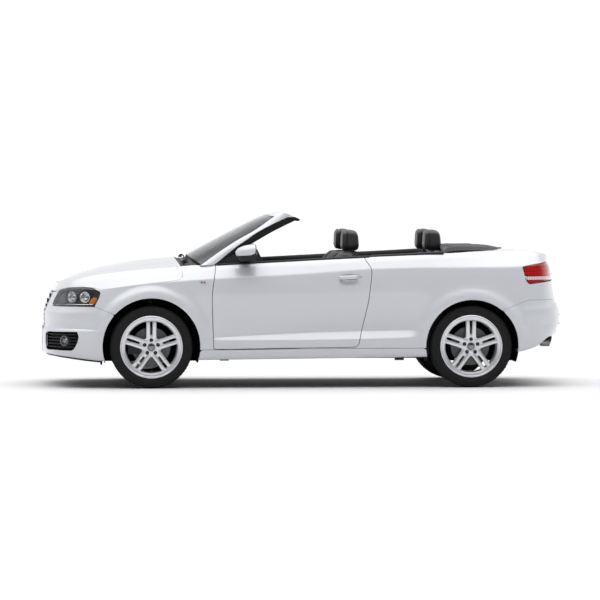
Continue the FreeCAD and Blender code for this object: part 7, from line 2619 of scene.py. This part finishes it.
@dataclass
class Seats:
    """The front seats, the rear bench and the headrests, with their seams, shells and rails."""

    front_y: float = 365.0
    rear_y: float = 296.0
    rear_rest_y: float = 330.0
    thread: Shell = field(default_factory=lambda: block(-3.2, 3.2, -0.8, 0.8, -0.7, 0.9))

    def pads(self) -> dict[str, tuple[Pad, float]]:
        """Every sewn pad with its y, by name."""
        cushion = Pad(((-338, 508), (-322, 546), (-270, 562), (-90, 556), (70, 546), (148, 552)),
                      (214, 226, 234, 238, 236, 226), (60, 96, 118, 124, 124, 116), (0, 1))
        back = Pad(((96, 556), (112, 640), (138, 780), (178, 900), (244, 1000), (308, 1068), (358, 1096)),
                   (224, 232, 236, 232, 216, 194, 166), (96, 112, 124, 130, 126, 112, 80), (-0.95, 0.31),
                   30.0)
        bench = Pad(((656, 528), (668, 566), (720, 582), (860, 574), (960, 566), (1010, 566)),
                    (228, 236, 240, 240, 238, 236), (70, 104, 128, 132, 132, 124), (0, 1), 14.0, 0.66)
        rest = Pad(((930, 560), (938, 660), (956, 800), (978, 930), (1000, 1024), (1026, 1076)),
                   (238, 240, 240, 238, 230, 206), (70, 92, 98, 94, 84, 64), (-0.975, 0.2), 14.0, 0.66)
        return {f"{stem}_{name}": (pad, side * y) for name, side in SIDES.items() for stem, pad, y in (
            ("front_cushion", cushion, self.front_y), ("front_backrest", back, self.front_y),
            ("rear_cushion", bench, self.rear_y), ("rear_backrest", rest, self.rear_y))}

    def headrest(self, name: str, x: float, z: float, y: float, half: float) -> None:
        """A headrest: a soft front pad, sewn to its shell, on two posts.

        Args:
            name: The start of its pieces' names.
            x: Its place along the car.
            z: The height of its foot.
            y: Its middle across the car.
            half: Half its width.
        """
        front = rounded(((-74, 20), (-60, -10), (-34, -12), (-26, 60), (-26, 150), (-46, 160), (-68, 136)),
                        20, 5)
        back = rounded(((-50, -14), (52, -16), (74, 14), (67, 112), (46, 152), (-22, 162), (-46, 136)), 26, 5)
        shares = np.array([0, 0.01, 0.04, 0.1, 0.2, 0.35, 0.5, 0.65, 0.8, 0.9, 0.96, 0.99, 1.0]) * 2 - 1
        for part, outline in (("pad", front), ("shell", back)):
            centre = outline.mean(0)
            rings = []
            for share in shares:
                size = (1 - abs(share) ** 5) ** 0.34 * 0.62 + 0.38
                taper = 1 - 0.10 * share ** 2
                ring = centre + (outline - centre) * size * taper
                wide = half * (0.99 if part == "pad" else 1.0)
                rings.append([(x + a, y + share * wide, z + b) for a, b in ring])
            self._sewn(f"{name}_{part}", loft(rings), (), Make(subdivide=1, crease=60), 0.85)
        posts = [tube([(x - 2, y + s, z - 62), (x + 6, y + s, z - 20), (x + 10, y + s, z + 10)], 6.5, 12,
                      up=ALONG_Y) for s in (-58, 58)]
        collars = [lathe([(z - 34, 15), (z - 26, 15), (z - 22, 12), (z - 22, 6)], (x + 4, y + s, 0), 20, "z")
                   for s in (-58, 58)]
        fitted(f"{name}_posts", posts[0].with_others(posts[1], *collars), Use.GLOSS)

    def build(self) -> None:
        """Makes the seats."""
        places, turns = [], []
        nodes = {"front_cushion_left": ["front_seats"], "rear_cushion_left": ["rear_seat"]}
        for name, (pad, y) in self.pads().items():
            self._sewn(name, pad.shell(y), nodes.get(name, ()))
            more = pad.seams(y)
            places += more[0]
            turns += more[1]
        COPIES.along("seat_stitches", self.thread, places, Use.THREAD, "body", "seat_leather", turns)
        for name, side in SIDES.items():
            self.headrest(f"front_headrest_{name}", 391, 1108, side * self.front_y, 122)
            self.headrest(f"rear_headrest_{name}", 1066, 1108, side * self.rear_rest_y, 114)
        self._shells()

    @staticmethod
    def _sewn(name: str, shell: Shell, nodes: Sequence[str] = (), make: Make = Make(crease=60),
              fill: float = 0.8) -> None:
        """A padded piece of seat leather."""
        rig.padded(piece(name, shell, Use.SEAT, "body", "seat_leather", make, nodes), fill)

    def _shells(self) -> None:
        """The hard backs, bases and rails of the front seats, and the bench's middle."""
        shells, steel = [], []
        for side in SIDES.values():
            y = side * self.front_y
            outline = rounded(((214, 500), (232, 492), (408, 960), (464, 1050), (460, 1086), (418, 1096),
                               (342, 960)), 16, 4)
            rings = [[(a, y + t * 206 * (1 - 0.10 * max(0, (b - 900) / 190)), b) for a, b in outline]
                     for t in np.linspace(-1, 1, 9)]
            shells.append(loft(rings))
            base = rounded(((-312, 330), (150, 330), (190, 380), (196, 462), (150, 470), (-300, 470),
                            (-326, 440)), 26, 4)
            shells += [slab(base, levels) for levels in (
                (y - 214, y - 232), (y + 214, y + 232), (y - 212, y + 212))]
            shells.append(tube([(-60, y - side * 238, 372), (60, y - side * 246, 384),
                                (110, y - side * 246, 400)], 9, 10))
            for s in (-170, 170):
                steel.append(block(-260, 300, y + s - 17, y + s + 17, 263, 286))
                steel.append(block(-200, 180, y + s - 11, y + s + 11, 284, 336))
        fitted("seat_shells", joined(shells), Use.DASH, Make(bevel=4, crease=30))
        piece("seat_rails", joined(steel), Use.IRON, "body", "suspension_iron", Make(bevel=2))
        middle = Pad(((672, 548), (690, 572), (740, 582), (860, 574), (950, 566)), (56, 58, 60, 60, 58),
                     (70, 100, 120, 124, 120), (0, 1), 2.0, 0.8)
        rest = Pad(((938, 570), (950, 680), (968, 820), (990, 950), (1010, 1030)), (56, 58, 60, 58, 54),
                   (60, 86, 92, 88, 70), (-0.975, 0.2), 2.0, 0.8)
        for name, pad in (("rear_middle_cushion", middle), ("rear_middle_backrest", rest)):
            self._sewn(name, pad.shell(0, 40))
        base = rounded(((672, 300), (1118, 300), (1118, 1040), (1080, 1046), (1000, 560), (690, 470)), 20, 4)
        fitted("bench_base", slab(base, (-536, 536)), Use.CARPET, Make(bevel=6))


@dataclass
class Dashboard:
    """The dashboard, instruments, vents, centre stack, console and steering wheel."""

    half: float = 700.0
    wheel: tuple[float, float, float] = (-364.0, -365.0, 900.0)
    rake: float = -25.0
    grip_radius: float = 175.0

    @staticmethod
    def _bow(share: float) -> float:
        """How far the dashboard's face comes back at a share of its half width."""
        return 26 * (1 - share * share) - 14

    def board(self) -> None:
        """The main moulding, its lower half and the hood over the instruments."""
        top = np.array([(-914, 905), (-900, 930), (-784, 985), (-640, 986), (-556, 978), (-500, 956),
                        (-476, 922), (-470, 905), (-500, 894), (-700, 880), (-900, 880)], float)
        low = np.array([(-900, 876), (-560, 888), (-478, 898), (-462, 870), (-476, 820), (-520, 742),
                        (-628, 644), (-700, 642), (-900, 650)], float)
        for name, outline, use, node in (("dash_top", top, Use.DASH, ["dashboard"]),
                                         ("dash_lower", low, Use.TRIM, ())):
            rings = []
            for t in np.linspace(-1, 1, 49):
                end = float(rise(abs(t), 0.97, 1.0))
                centre = outline.mean(0)
                ring = centre + (outline - centre) * (1 - 0.05 * end)
                front = rise(ring[:, 0], -640, -480)
                rings.append([(a + self._bow(t) * f, t * self.half, b) for (a, b), f in zip(ring, front)])
            fitted(name, loft(rings), use, Make(bevel=4, crease=30), node)
        y = self.wheel[1]
        rings = []
        for t in np.linspace(-1, 1, 25):
            high = 46 * (1 - abs(t) ** 2.6) ** 0.7
            rings.append([(-700, y + t * 176, 974), (-690, y + t * 176, 978 + high * 0.5),
                          (-600, y + t * 172, 980 + high * 0.9), (-500, y + t * 168, 974 + high),
                          (-474, y + t * 166, 964 + high), (-482, y + t * 158, 956 + high * 0.86),
                          (-600, y + t * 158, 966 + high * 0.6), (-690, y + t * 170, 970)])
        fitted("instrument_hood", loft(rings), Use.DASH, Make(crease=40))

    def dials(self) -> None:
        """Two dials with bright rings, marks and needles."""
        rings, faces, needles, marks, turns = [], [], [], [], []
        for s in (-1, 1):
            centre = x, y, z = (-520, self.wheel[1] + s * 82, 962)
            rings.append(lathe([(-4, 52), (4, 54), (6, 51), (2, 48), (-4, 48)], centre, 56, "x", closed=True))
            faces.append(lathe([(-12, 50), (-3, 49), (-3, 0.5)], centre, 48, "x"))
            needles.append(block(-1, 1.4, -1.3, 1.3, -4, 42).turned(ALONG_X, 40 * s).moved(*centre))
            for step in range(25):
                angle = math.radians(-135 + step * 11.25)
                marks.append((x - 1.6, y + 42 * math.sin(angle), z + 42 * math.cos(angle)))
                turns.append((-angle, 0, 0))
        fitted("dial_rings", joined(rings), Use.SATIN)
        fitted("dial_faces", joined(faces), Use.GLOSS)
        piece("dial_needles", joined(needles), Use.RED, "body", "red_lamp")
        COPIES.along("dial_marks", block(-0.8, 0.8, -0.8, 0.8, -3.6, 3.6), marks, Use.PLATE, "body",
                     "trim_plastic", turns)

    def vents(self) -> None:
        """Four round vents with bright rings and slats."""
        rings, wells, places, sizes = [], [], [], []
        for y in (-612, -92, 92, 612):
            centre = (-462 + self._bow(y / self.half) * 0.9, y, 868)
            rings.append(lathe([(-16, 47), (0, 47), (4, 44), (3, 40), (-4, 38), (-16, 38)], centre, 56, "x",
                               closed=True).turned(ALONG_Y, -12, centre))
            wells.append(lathe([(-14, 42), (-14, 0.5)], centre, 40, "x").turned(ALONG_Y, -12, centre))
            for k in (-24, -12, 0, 12, 24):
                places.append((centre[0] - 4 - 0.2 * k, y, centre[2] + k))
                sizes.append((1, math.sqrt(1 - (k / 38) ** 2), 1))
        fitted("vent_rings", joined(rings), Use.SATIN)
        fitted("vent_wells", joined(wells), Use.LINER)
        COPIES.along("vent_slats", block(-8, 3, -37, 37, -1.1, 1.1), places, Use.GLOSS, "body",
                     "trim_plastic", (0, 0.3, 0), sizes, bevel=0.6)

    def stack(self) -> None:
        """The centre stack's panels, screen, knobs and buttons."""
        panel = rounded(((-94, 668), (94, 668), (104, 806), (-104, 806)), 16)

        def face(z: float) -> float:
            """The stack's x at a height."""
            return float(np.interp(z, (640, 744, 820, 870), (-606, -498, -452, -440)))

        rings = [[(face(z) + k, y * s, 737 + (z - 737) * s) for y, z in panel]
                 for k, s in ((-40, 1), (10, 1), (16, 0.97))]
        fitted("centre_stack", loft(rings), Use.GLOSS, Make(crease=30))
        screen = [[(face(z) + 17.5, y, z) for y in np.linspace(-72, 72, 9)] for z in np.linspace(742, 796, 5)]
        fitted("stack_screen", grid(screen), Use.MIRROR, Make(wall=1.5, closed=False))
        knobs = []
        for y in (-62, 0, 62):
            centre = (face(706) + 14, y, 706)
            knobs.append(lathe([(-6, 15), (12, 14), (15, 12), (15, 0.5)], centre, 32, "x")
                         .turned(ALONG_Y, -40, centre))
        fitted("stack_knobs", joined(knobs), Use.SATIN)
        places = [(face(z) + 17, y, z) for z in (680, 690) for y in np.linspace(-80, 80, 9)]
        places += [(face(z) + 17, y, z) for y in (-86, 86) for z in np.linspace(738, 798, 5)]
        COPIES.along("stack_buttons", block(-3, 3, -6.5, 6.5, -3.2, 3.2), places, Use.TRIM, "body",
                     "trim_plastic", (0, -0.7, 0), bevel=1.2)

    def console(self) -> None:
        """The console between the seats, with its lever, brake, cups and armrest."""
        stations = ((-640, 300, 640), (-600, 300, 600), (-540, 300, 552), (-400, 300, 540), (-154, 300, 532),
                    (-110, 320, 560), (-80, 330, 590), (100, 380, 594), (300, 404, 592), (322, 406, 570))
        rings = []
        for x, foot, top in spline(stations, 40):
            shape = rounded(((-104, foot), (104, foot), (100, top - 8), (84, top), (-84, top),
                             (-100, top - 8)), 9, 3)
            rings.append([(x, y, z) for y, z in shape])
        fitted("console_body", loft(rings), Use.DASH, Make(crease=35), ["centre_console"])
        lid = rounded(((-84, -88), (316, -88), (316, 88), (-84, 88)), 34)
        rings = [[(116 + (x - 116) * s, y * s, z) for x, y in lid]
                 for z, s in ((590, 0.97), (596, 1), (616, 1), (626, 0.93))]
        armrest = piece("console_armrest", loft(rings), Use.SEAT, "body", "seat_leather",
                        Make(subdivide=1, crease=60))
        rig.padded(armrest, 0.9)
        lever_x = -430
        boot = loft([[(lever_x + a * s + k, b * s, z) for a, b in ring_points(28, 48, 40, 3.0)]
                     for z, s, k in ((538, 1.0, 0), (546, 0.94, 0), (560, 0.62, 2), (572, 0.58, 4),
                                     (586, 0.36, 6), (600, 0.30, 8), (616, 0.2, 10))])
        fitted("gear_boot", boot, Use.SEAT, Make(crease=60))
        knob = lathe([(604, 8), (622, 11), (636, 20), (654, 25), (668, 22), (676, 12), (678, 0.5)],
                     (lever_x + 12, 0, 0), 32, "z")
        fitted("gear_knob", knob, Use.SATIN)
        surround = loft([[(lever_x + a * s, b * s, z) for a, b in ring_points(40, 62, 54, 3.4)]
                         for z, s in ((534, 1.0), (543, 1.0), (545, 0.96), (538, 0.86))], capped=False)
        cups = [lathe([(500, 30), (536, 33), (541, 37), (543, 36), (541, 33), (504, 28), (504, 0.5)],
                      (x, 0, 0), 40, "z") for x in (-300, -216)]
        fitted("console_rings", surround.with_others(*cups), Use.SATIN)
        brake = tube(spline([(-60, 62, 575), (-120, 62, 600), (-190, 62, 626), (-262, 62, 648)], 20),
                     [9, 9, 9, 10, 11, 12, 13, 13.5] + [14] * 8 + [13.5, 13, 11, 7], 14)
        fitted("hand_brake", brake, Use.SEAT)
        pedals = []
        for y, w in ((-440, 34), (-365, 40), (-290, 26)):
            plate = block(-4, 4, y - w, y + w, -34, 34).turned(ALONG_Y, -28, (0, y, 0))
            pedals.append(plate.moved(-770, 0, 420))
            pedals.append(tube([(-776, y, 440), (-800, y, 520), (-840, y, 640)], 8, 8, up=ALONG_Y))
        fitted("pedals", joined(pedals), Use.GLOSS, Make(bevel=3))

    def steering(self) -> None:
        """The steering wheel: a sewn rim, three spokes, its pad and column."""
        cx, cy, cz = self.wheel

        def set_up(shell: Shell) -> Shell:
            """Puts a shell made about the origin, its axle along X, in the wheel's place."""
            return shell.turned(ALONG_Y, self.rake).moved(cx, cy, cz)

        rings = []
        for angle in np.linspace(0, math.tau, 121)[:-1]:
            fat = 14.6 + 1.2 * abs(math.cos(angle)) ** 8
            out = np.array([0, math.sin(angle), math.cos(angle)])
            ring = ring_points(20, fat, fat * 1.08)
            rings.append([out * (self.grip_radius + a) + np.array([b, 0, 0]) for a, b in ring])
        rim = grid(rings, close_rows=True, close_columns=True)
        piece("steering_rim", set_up(rim), Use.SEAT, "steering_wheel", "trim_plastic", Make(crease=60),
              ["steering_wheel"])
        stitches, turns = [], []
        tilt, out, depth = math.radians(self.rake), 168, 13.2
        for angle in np.linspace(0, math.tau, 150, endpoint=False):
            high = math.cos(angle) * out
            stitches.append((cx + depth * math.cos(tilt) + high * math.sin(tilt), cy + math.sin(angle) * out,
                             cz - depth * math.sin(tilt) + high * math.cos(tilt)))
            turns.append((-angle, tilt, 0))
        COPIES.along("steering_stitches", block(-0.9, 0.9, -2.2, 2.2, -0.9, 0.9), stitches, Use.THREAD,
                     "steering_wheel", "trim_plastic", turns)
        pad = ring_points(48, 78, 62, 2.8)
        hub = loft([[(k, a * s, b * s + 2) for a, b in pad]
                    for k, s in ((-34, 0.7), (-22, 0.96), (0, 1.0), (14, 0.95), (22, 0.78), (25, 0.4))])
        cap = lathe([(22, 24), (26, 23), (27, 20), (27.5, 0.5)], (0, 0, 2), 40, "x")
        piece("steering_pad", set_up(hub), Use.DASH, "steering_wheel", "trim_plastic", Make(crease=50))
        piece("steering_badge_blank", set_up(cap), Use.SATIN, "steering_wheel", "trim_plastic")
        spokes = []
        path = spline([(2, 0, 58), (6, 0, 110), (2, 0, 166)], 12)
        for angle, width in ((90, 26), (-90, 26), (180, 30)):
            spoke = tube(path, np.linspace(width, width * 0.62, 12), 16, 0.34, up=ALONG_X)
            spokes.append(spoke.turned(ALONG_X, angle))
        piece("steering_spokes", set_up(joined(spokes)), Use.SATIN, "steering_wheel", "trim_plastic")
        column = lathe([(-150, 34), (-44, 34), (-34, 40), (-24, 40), (-24, 10)], ORIGIN, 36, "x")
        piece("steering_column", set_up(column), Use.TRIM, "steering_wheel", "trim_plastic")
        stalks = [tube([(-62, s * 30, 0), (-60, s * 90, 8), (-56, s * 150, 18)], [7, 6, 8], 10, 0.7,
                       up=ALONG_X) for s in (-1, 1)]
        shroud = loft([[(k, a * s, b * s - 8) for a, b in ring_points(32, 62, 54, 3)]
                       for k, s in ((-160, 0.9), (-70, 1.0), (-54, 0.94), (-50, 0.8))])
        fitted("column_shroud", set_up(shroud.with_others(*stalks)), Use.TRIM, Make(crease=40))

    def build(self) -> None:
        """Makes the cabin's front."""
        self.board()
        self.dials()
        self.vents()
        self.stack()
        self.console()
        self.steering()


@dataclass
class Roof:
    """The fabric roof folded into its well behind the rear seats, and the carpets."""

    cuts: Cuts
    clear: float = 9.0
    front: float = 1134.0
    back: float = 1652.0

    def half_width(self, x: float) -> float:
        """Half the well's width at an x."""
        return float(np.interp(x, (1100, 1200, 1300, 1375, 1440, 1500, 1550, 1592, 1622, 1642, 1654, 1660),
                               (742, 732, 714, 692, 660, 614, 560, 492, 416, 320, 215, 60))) - self.clear

    def fabric(self) -> None:
        """The roof's top panel, with its frame's ridges and the slack folds between them."""
        tops = spline(((1134, 1110), (1150, 1128), (1194, 1138), (1325, 1142), (1495, 1138), (1579, 1129),
                       (1636, 1112), (1656, 1086)), 200)
        rows = []
        for x in np.linspace(self.front, self.back, 110):
            half = self.half_width(x)
            height = float(np.interp(x, *tops.T))
            ridge = 4.5 * math.exp(-((x - 1262) / 13) ** 2) + 4.0 * math.exp(-((x - 1408) / 15) ** 2)
            row = []
            for u in np.linspace(-1, 1, 97):
                y = u * half
                edge = half - abs(y)
                drop = 30 * (1 - rise(edge, 0, 70)) ** 1.6 + 8 * u * u
                slack = 2.4 * math.sin(y / 84 + x / 61) * math.sin(x / 47 - y / 140)
                slack *= float(rise(edge, 20, 120))
                seam = 4.5 * math.exp(-((x - self._seam_x(u)) / 3.2) ** 2)
                row.append((x, y, height - drop + ridge * (1 - u * u) + slack - seam))
            rows.append(row)
        top = np.array(rows)
        skirt = top.copy()
        skirt[..., 2] = np.minimum(skirt[..., 2] - 40, 1062)
        made = piece("roof_fabric", self._closed(top, skirt), Use.ROOF, "body", "roof_fabric",
                     Make(crease=50), ["folded_roof"])
        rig.padded(made, 0.7)
        places = []
        for offset in (-8, 8):
            for u in np.linspace(-0.93, 0.93, 150):
                x = self._seam_x(u) + offset
                nearest = top[int((x - self.front) / (self.back - self.front) * (len(top) - 1)),
                              int((u + 1) * 48)]
                places.append((x, u * self.half_width(x), nearest[2] + 0.9))
        COPIES.along("roof_stitches", block(-3.0, 3.0, -0.7, 0.7, -0.7, 0.7), places, Use.THREAD, "body",
                     "roof_fabric", (0, 0, math.pi / 2))
        line = [(x, self.half_width(x) + self.clear - 3, float(np.interp(x, (1100, 1300, 1500, 1660),
                                                                       (1070, 1084, 1098, 1107))) - 2)
                for x in np.concatenate([np.linspace(1124, 1500, 30), np.linspace(1512, 1659, 34)])]
        piece("well_rubber", both(tube(line, 4, 8)), Use.SEAL, "body", "black_plastic")

    @staticmethod
    def _seam_x(share: float) -> float:
        """Where the seam across the roof lies at a share of its half width."""
        return 1186 + 14 * share * share

    @staticmethod
    def _closed(top: np.ndarray, under: np.ndarray) -> Shell:
        """A closed slab between two grids of the same size.

        Args:
            top: The upper grid.
            under: The lower grid.

        Returns:
            The closed slab.
        """
        rows, columns = top.shape[:2]
        upper, lower = grid(top), grid(under)
        lower.faces = [face[::-1] for face in lower.faces]
        shell = upper.with_others(lower)
        start = rows * columns
        edge = ([(0, c) for c in range(columns)] + [(r, columns - 1) for r in range(1, rows)]
                + [(rows - 1, c) for c in range(columns - 2, -1, -1)]
                + [(r, 0) for r in range(rows - 2, 0, -1)])
        ring = [r * columns + c for r, c in edge]
        for a, b in zip(ring, ring[1:] + ring[:1]):
            shell.faces.append((a, a + start, b + start, b))
        return shell

    def carpets(self) -> None:
        """Carpet over the floor and tunnel, with four mats."""
        rows = []
        for x in np.linspace(-905, 668, 60):
            toe = 250 * float(rise(-x, 700, 905)) ** 1.5
            rows.append([(x, 686, 268 + toe), (x, 640, 264 + toe), (x, 400, 264 + toe), (x, 150, 264 + toe),
                         (x, 128, 276 + toe), (x, 122, 380 + toe * 0.2), (x, 112, 402), (x, 0, 405)])
        fitted("cabin_carpet", both(grid(rows)), Use.CARPET, Make(wall=3, closed=False, crease=40))
        mats, edges = [], []
        for x0, x1, y0, y1 in ((-690, -340, 170, 560), (330, 640, 180, 560)):
            ring = rounded(((x0, y0), (x1, y0), (x1, y1), (x0, y1)), 46)
            mats.append(both(slab(ring, (265, 274), View.PLAN)))
            loop = np.vstack([ring, ring[:1]])
            edges.append(both(tube([(x, y, 274) for x, y in loop], 4.5, 6)))
        fitted("floor_mats", joined(mats), Use.CARPET)
        fitted("mat_edges", joined(edges), Use.SEAL)

    def build(self) -> None:
        """Makes the roof and the carpets."""
        self.fabric()
        self.carpets()


def main() -> None:
    """Builds the car's pieces in order and reports each."""
    logging.basicConfig(level=logging.INFO, format="%(message)s")
    cad_box = [list(corner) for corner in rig.bounds()]
    cuts = Cuts()
    PaintedPanels(cuts).build()
    for end in ("front", "rear"):
        for side_name in SIDES:
            Wheel(end, side_name).build()
    RunningGear().build()
    Windscreen().build(cuts)
    Sides(cuts).build()
    Ends(cuts).build()
    Seats().build()
    Dashboard().build()
    Roof(cuts).build()
    Studio().build()
    with open("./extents.json", "w") as file:
        json.dump({"cad": cad_box, "visual": [list(corner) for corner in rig.bounds()]}, file)


if __name__ == "__main__":
    main()
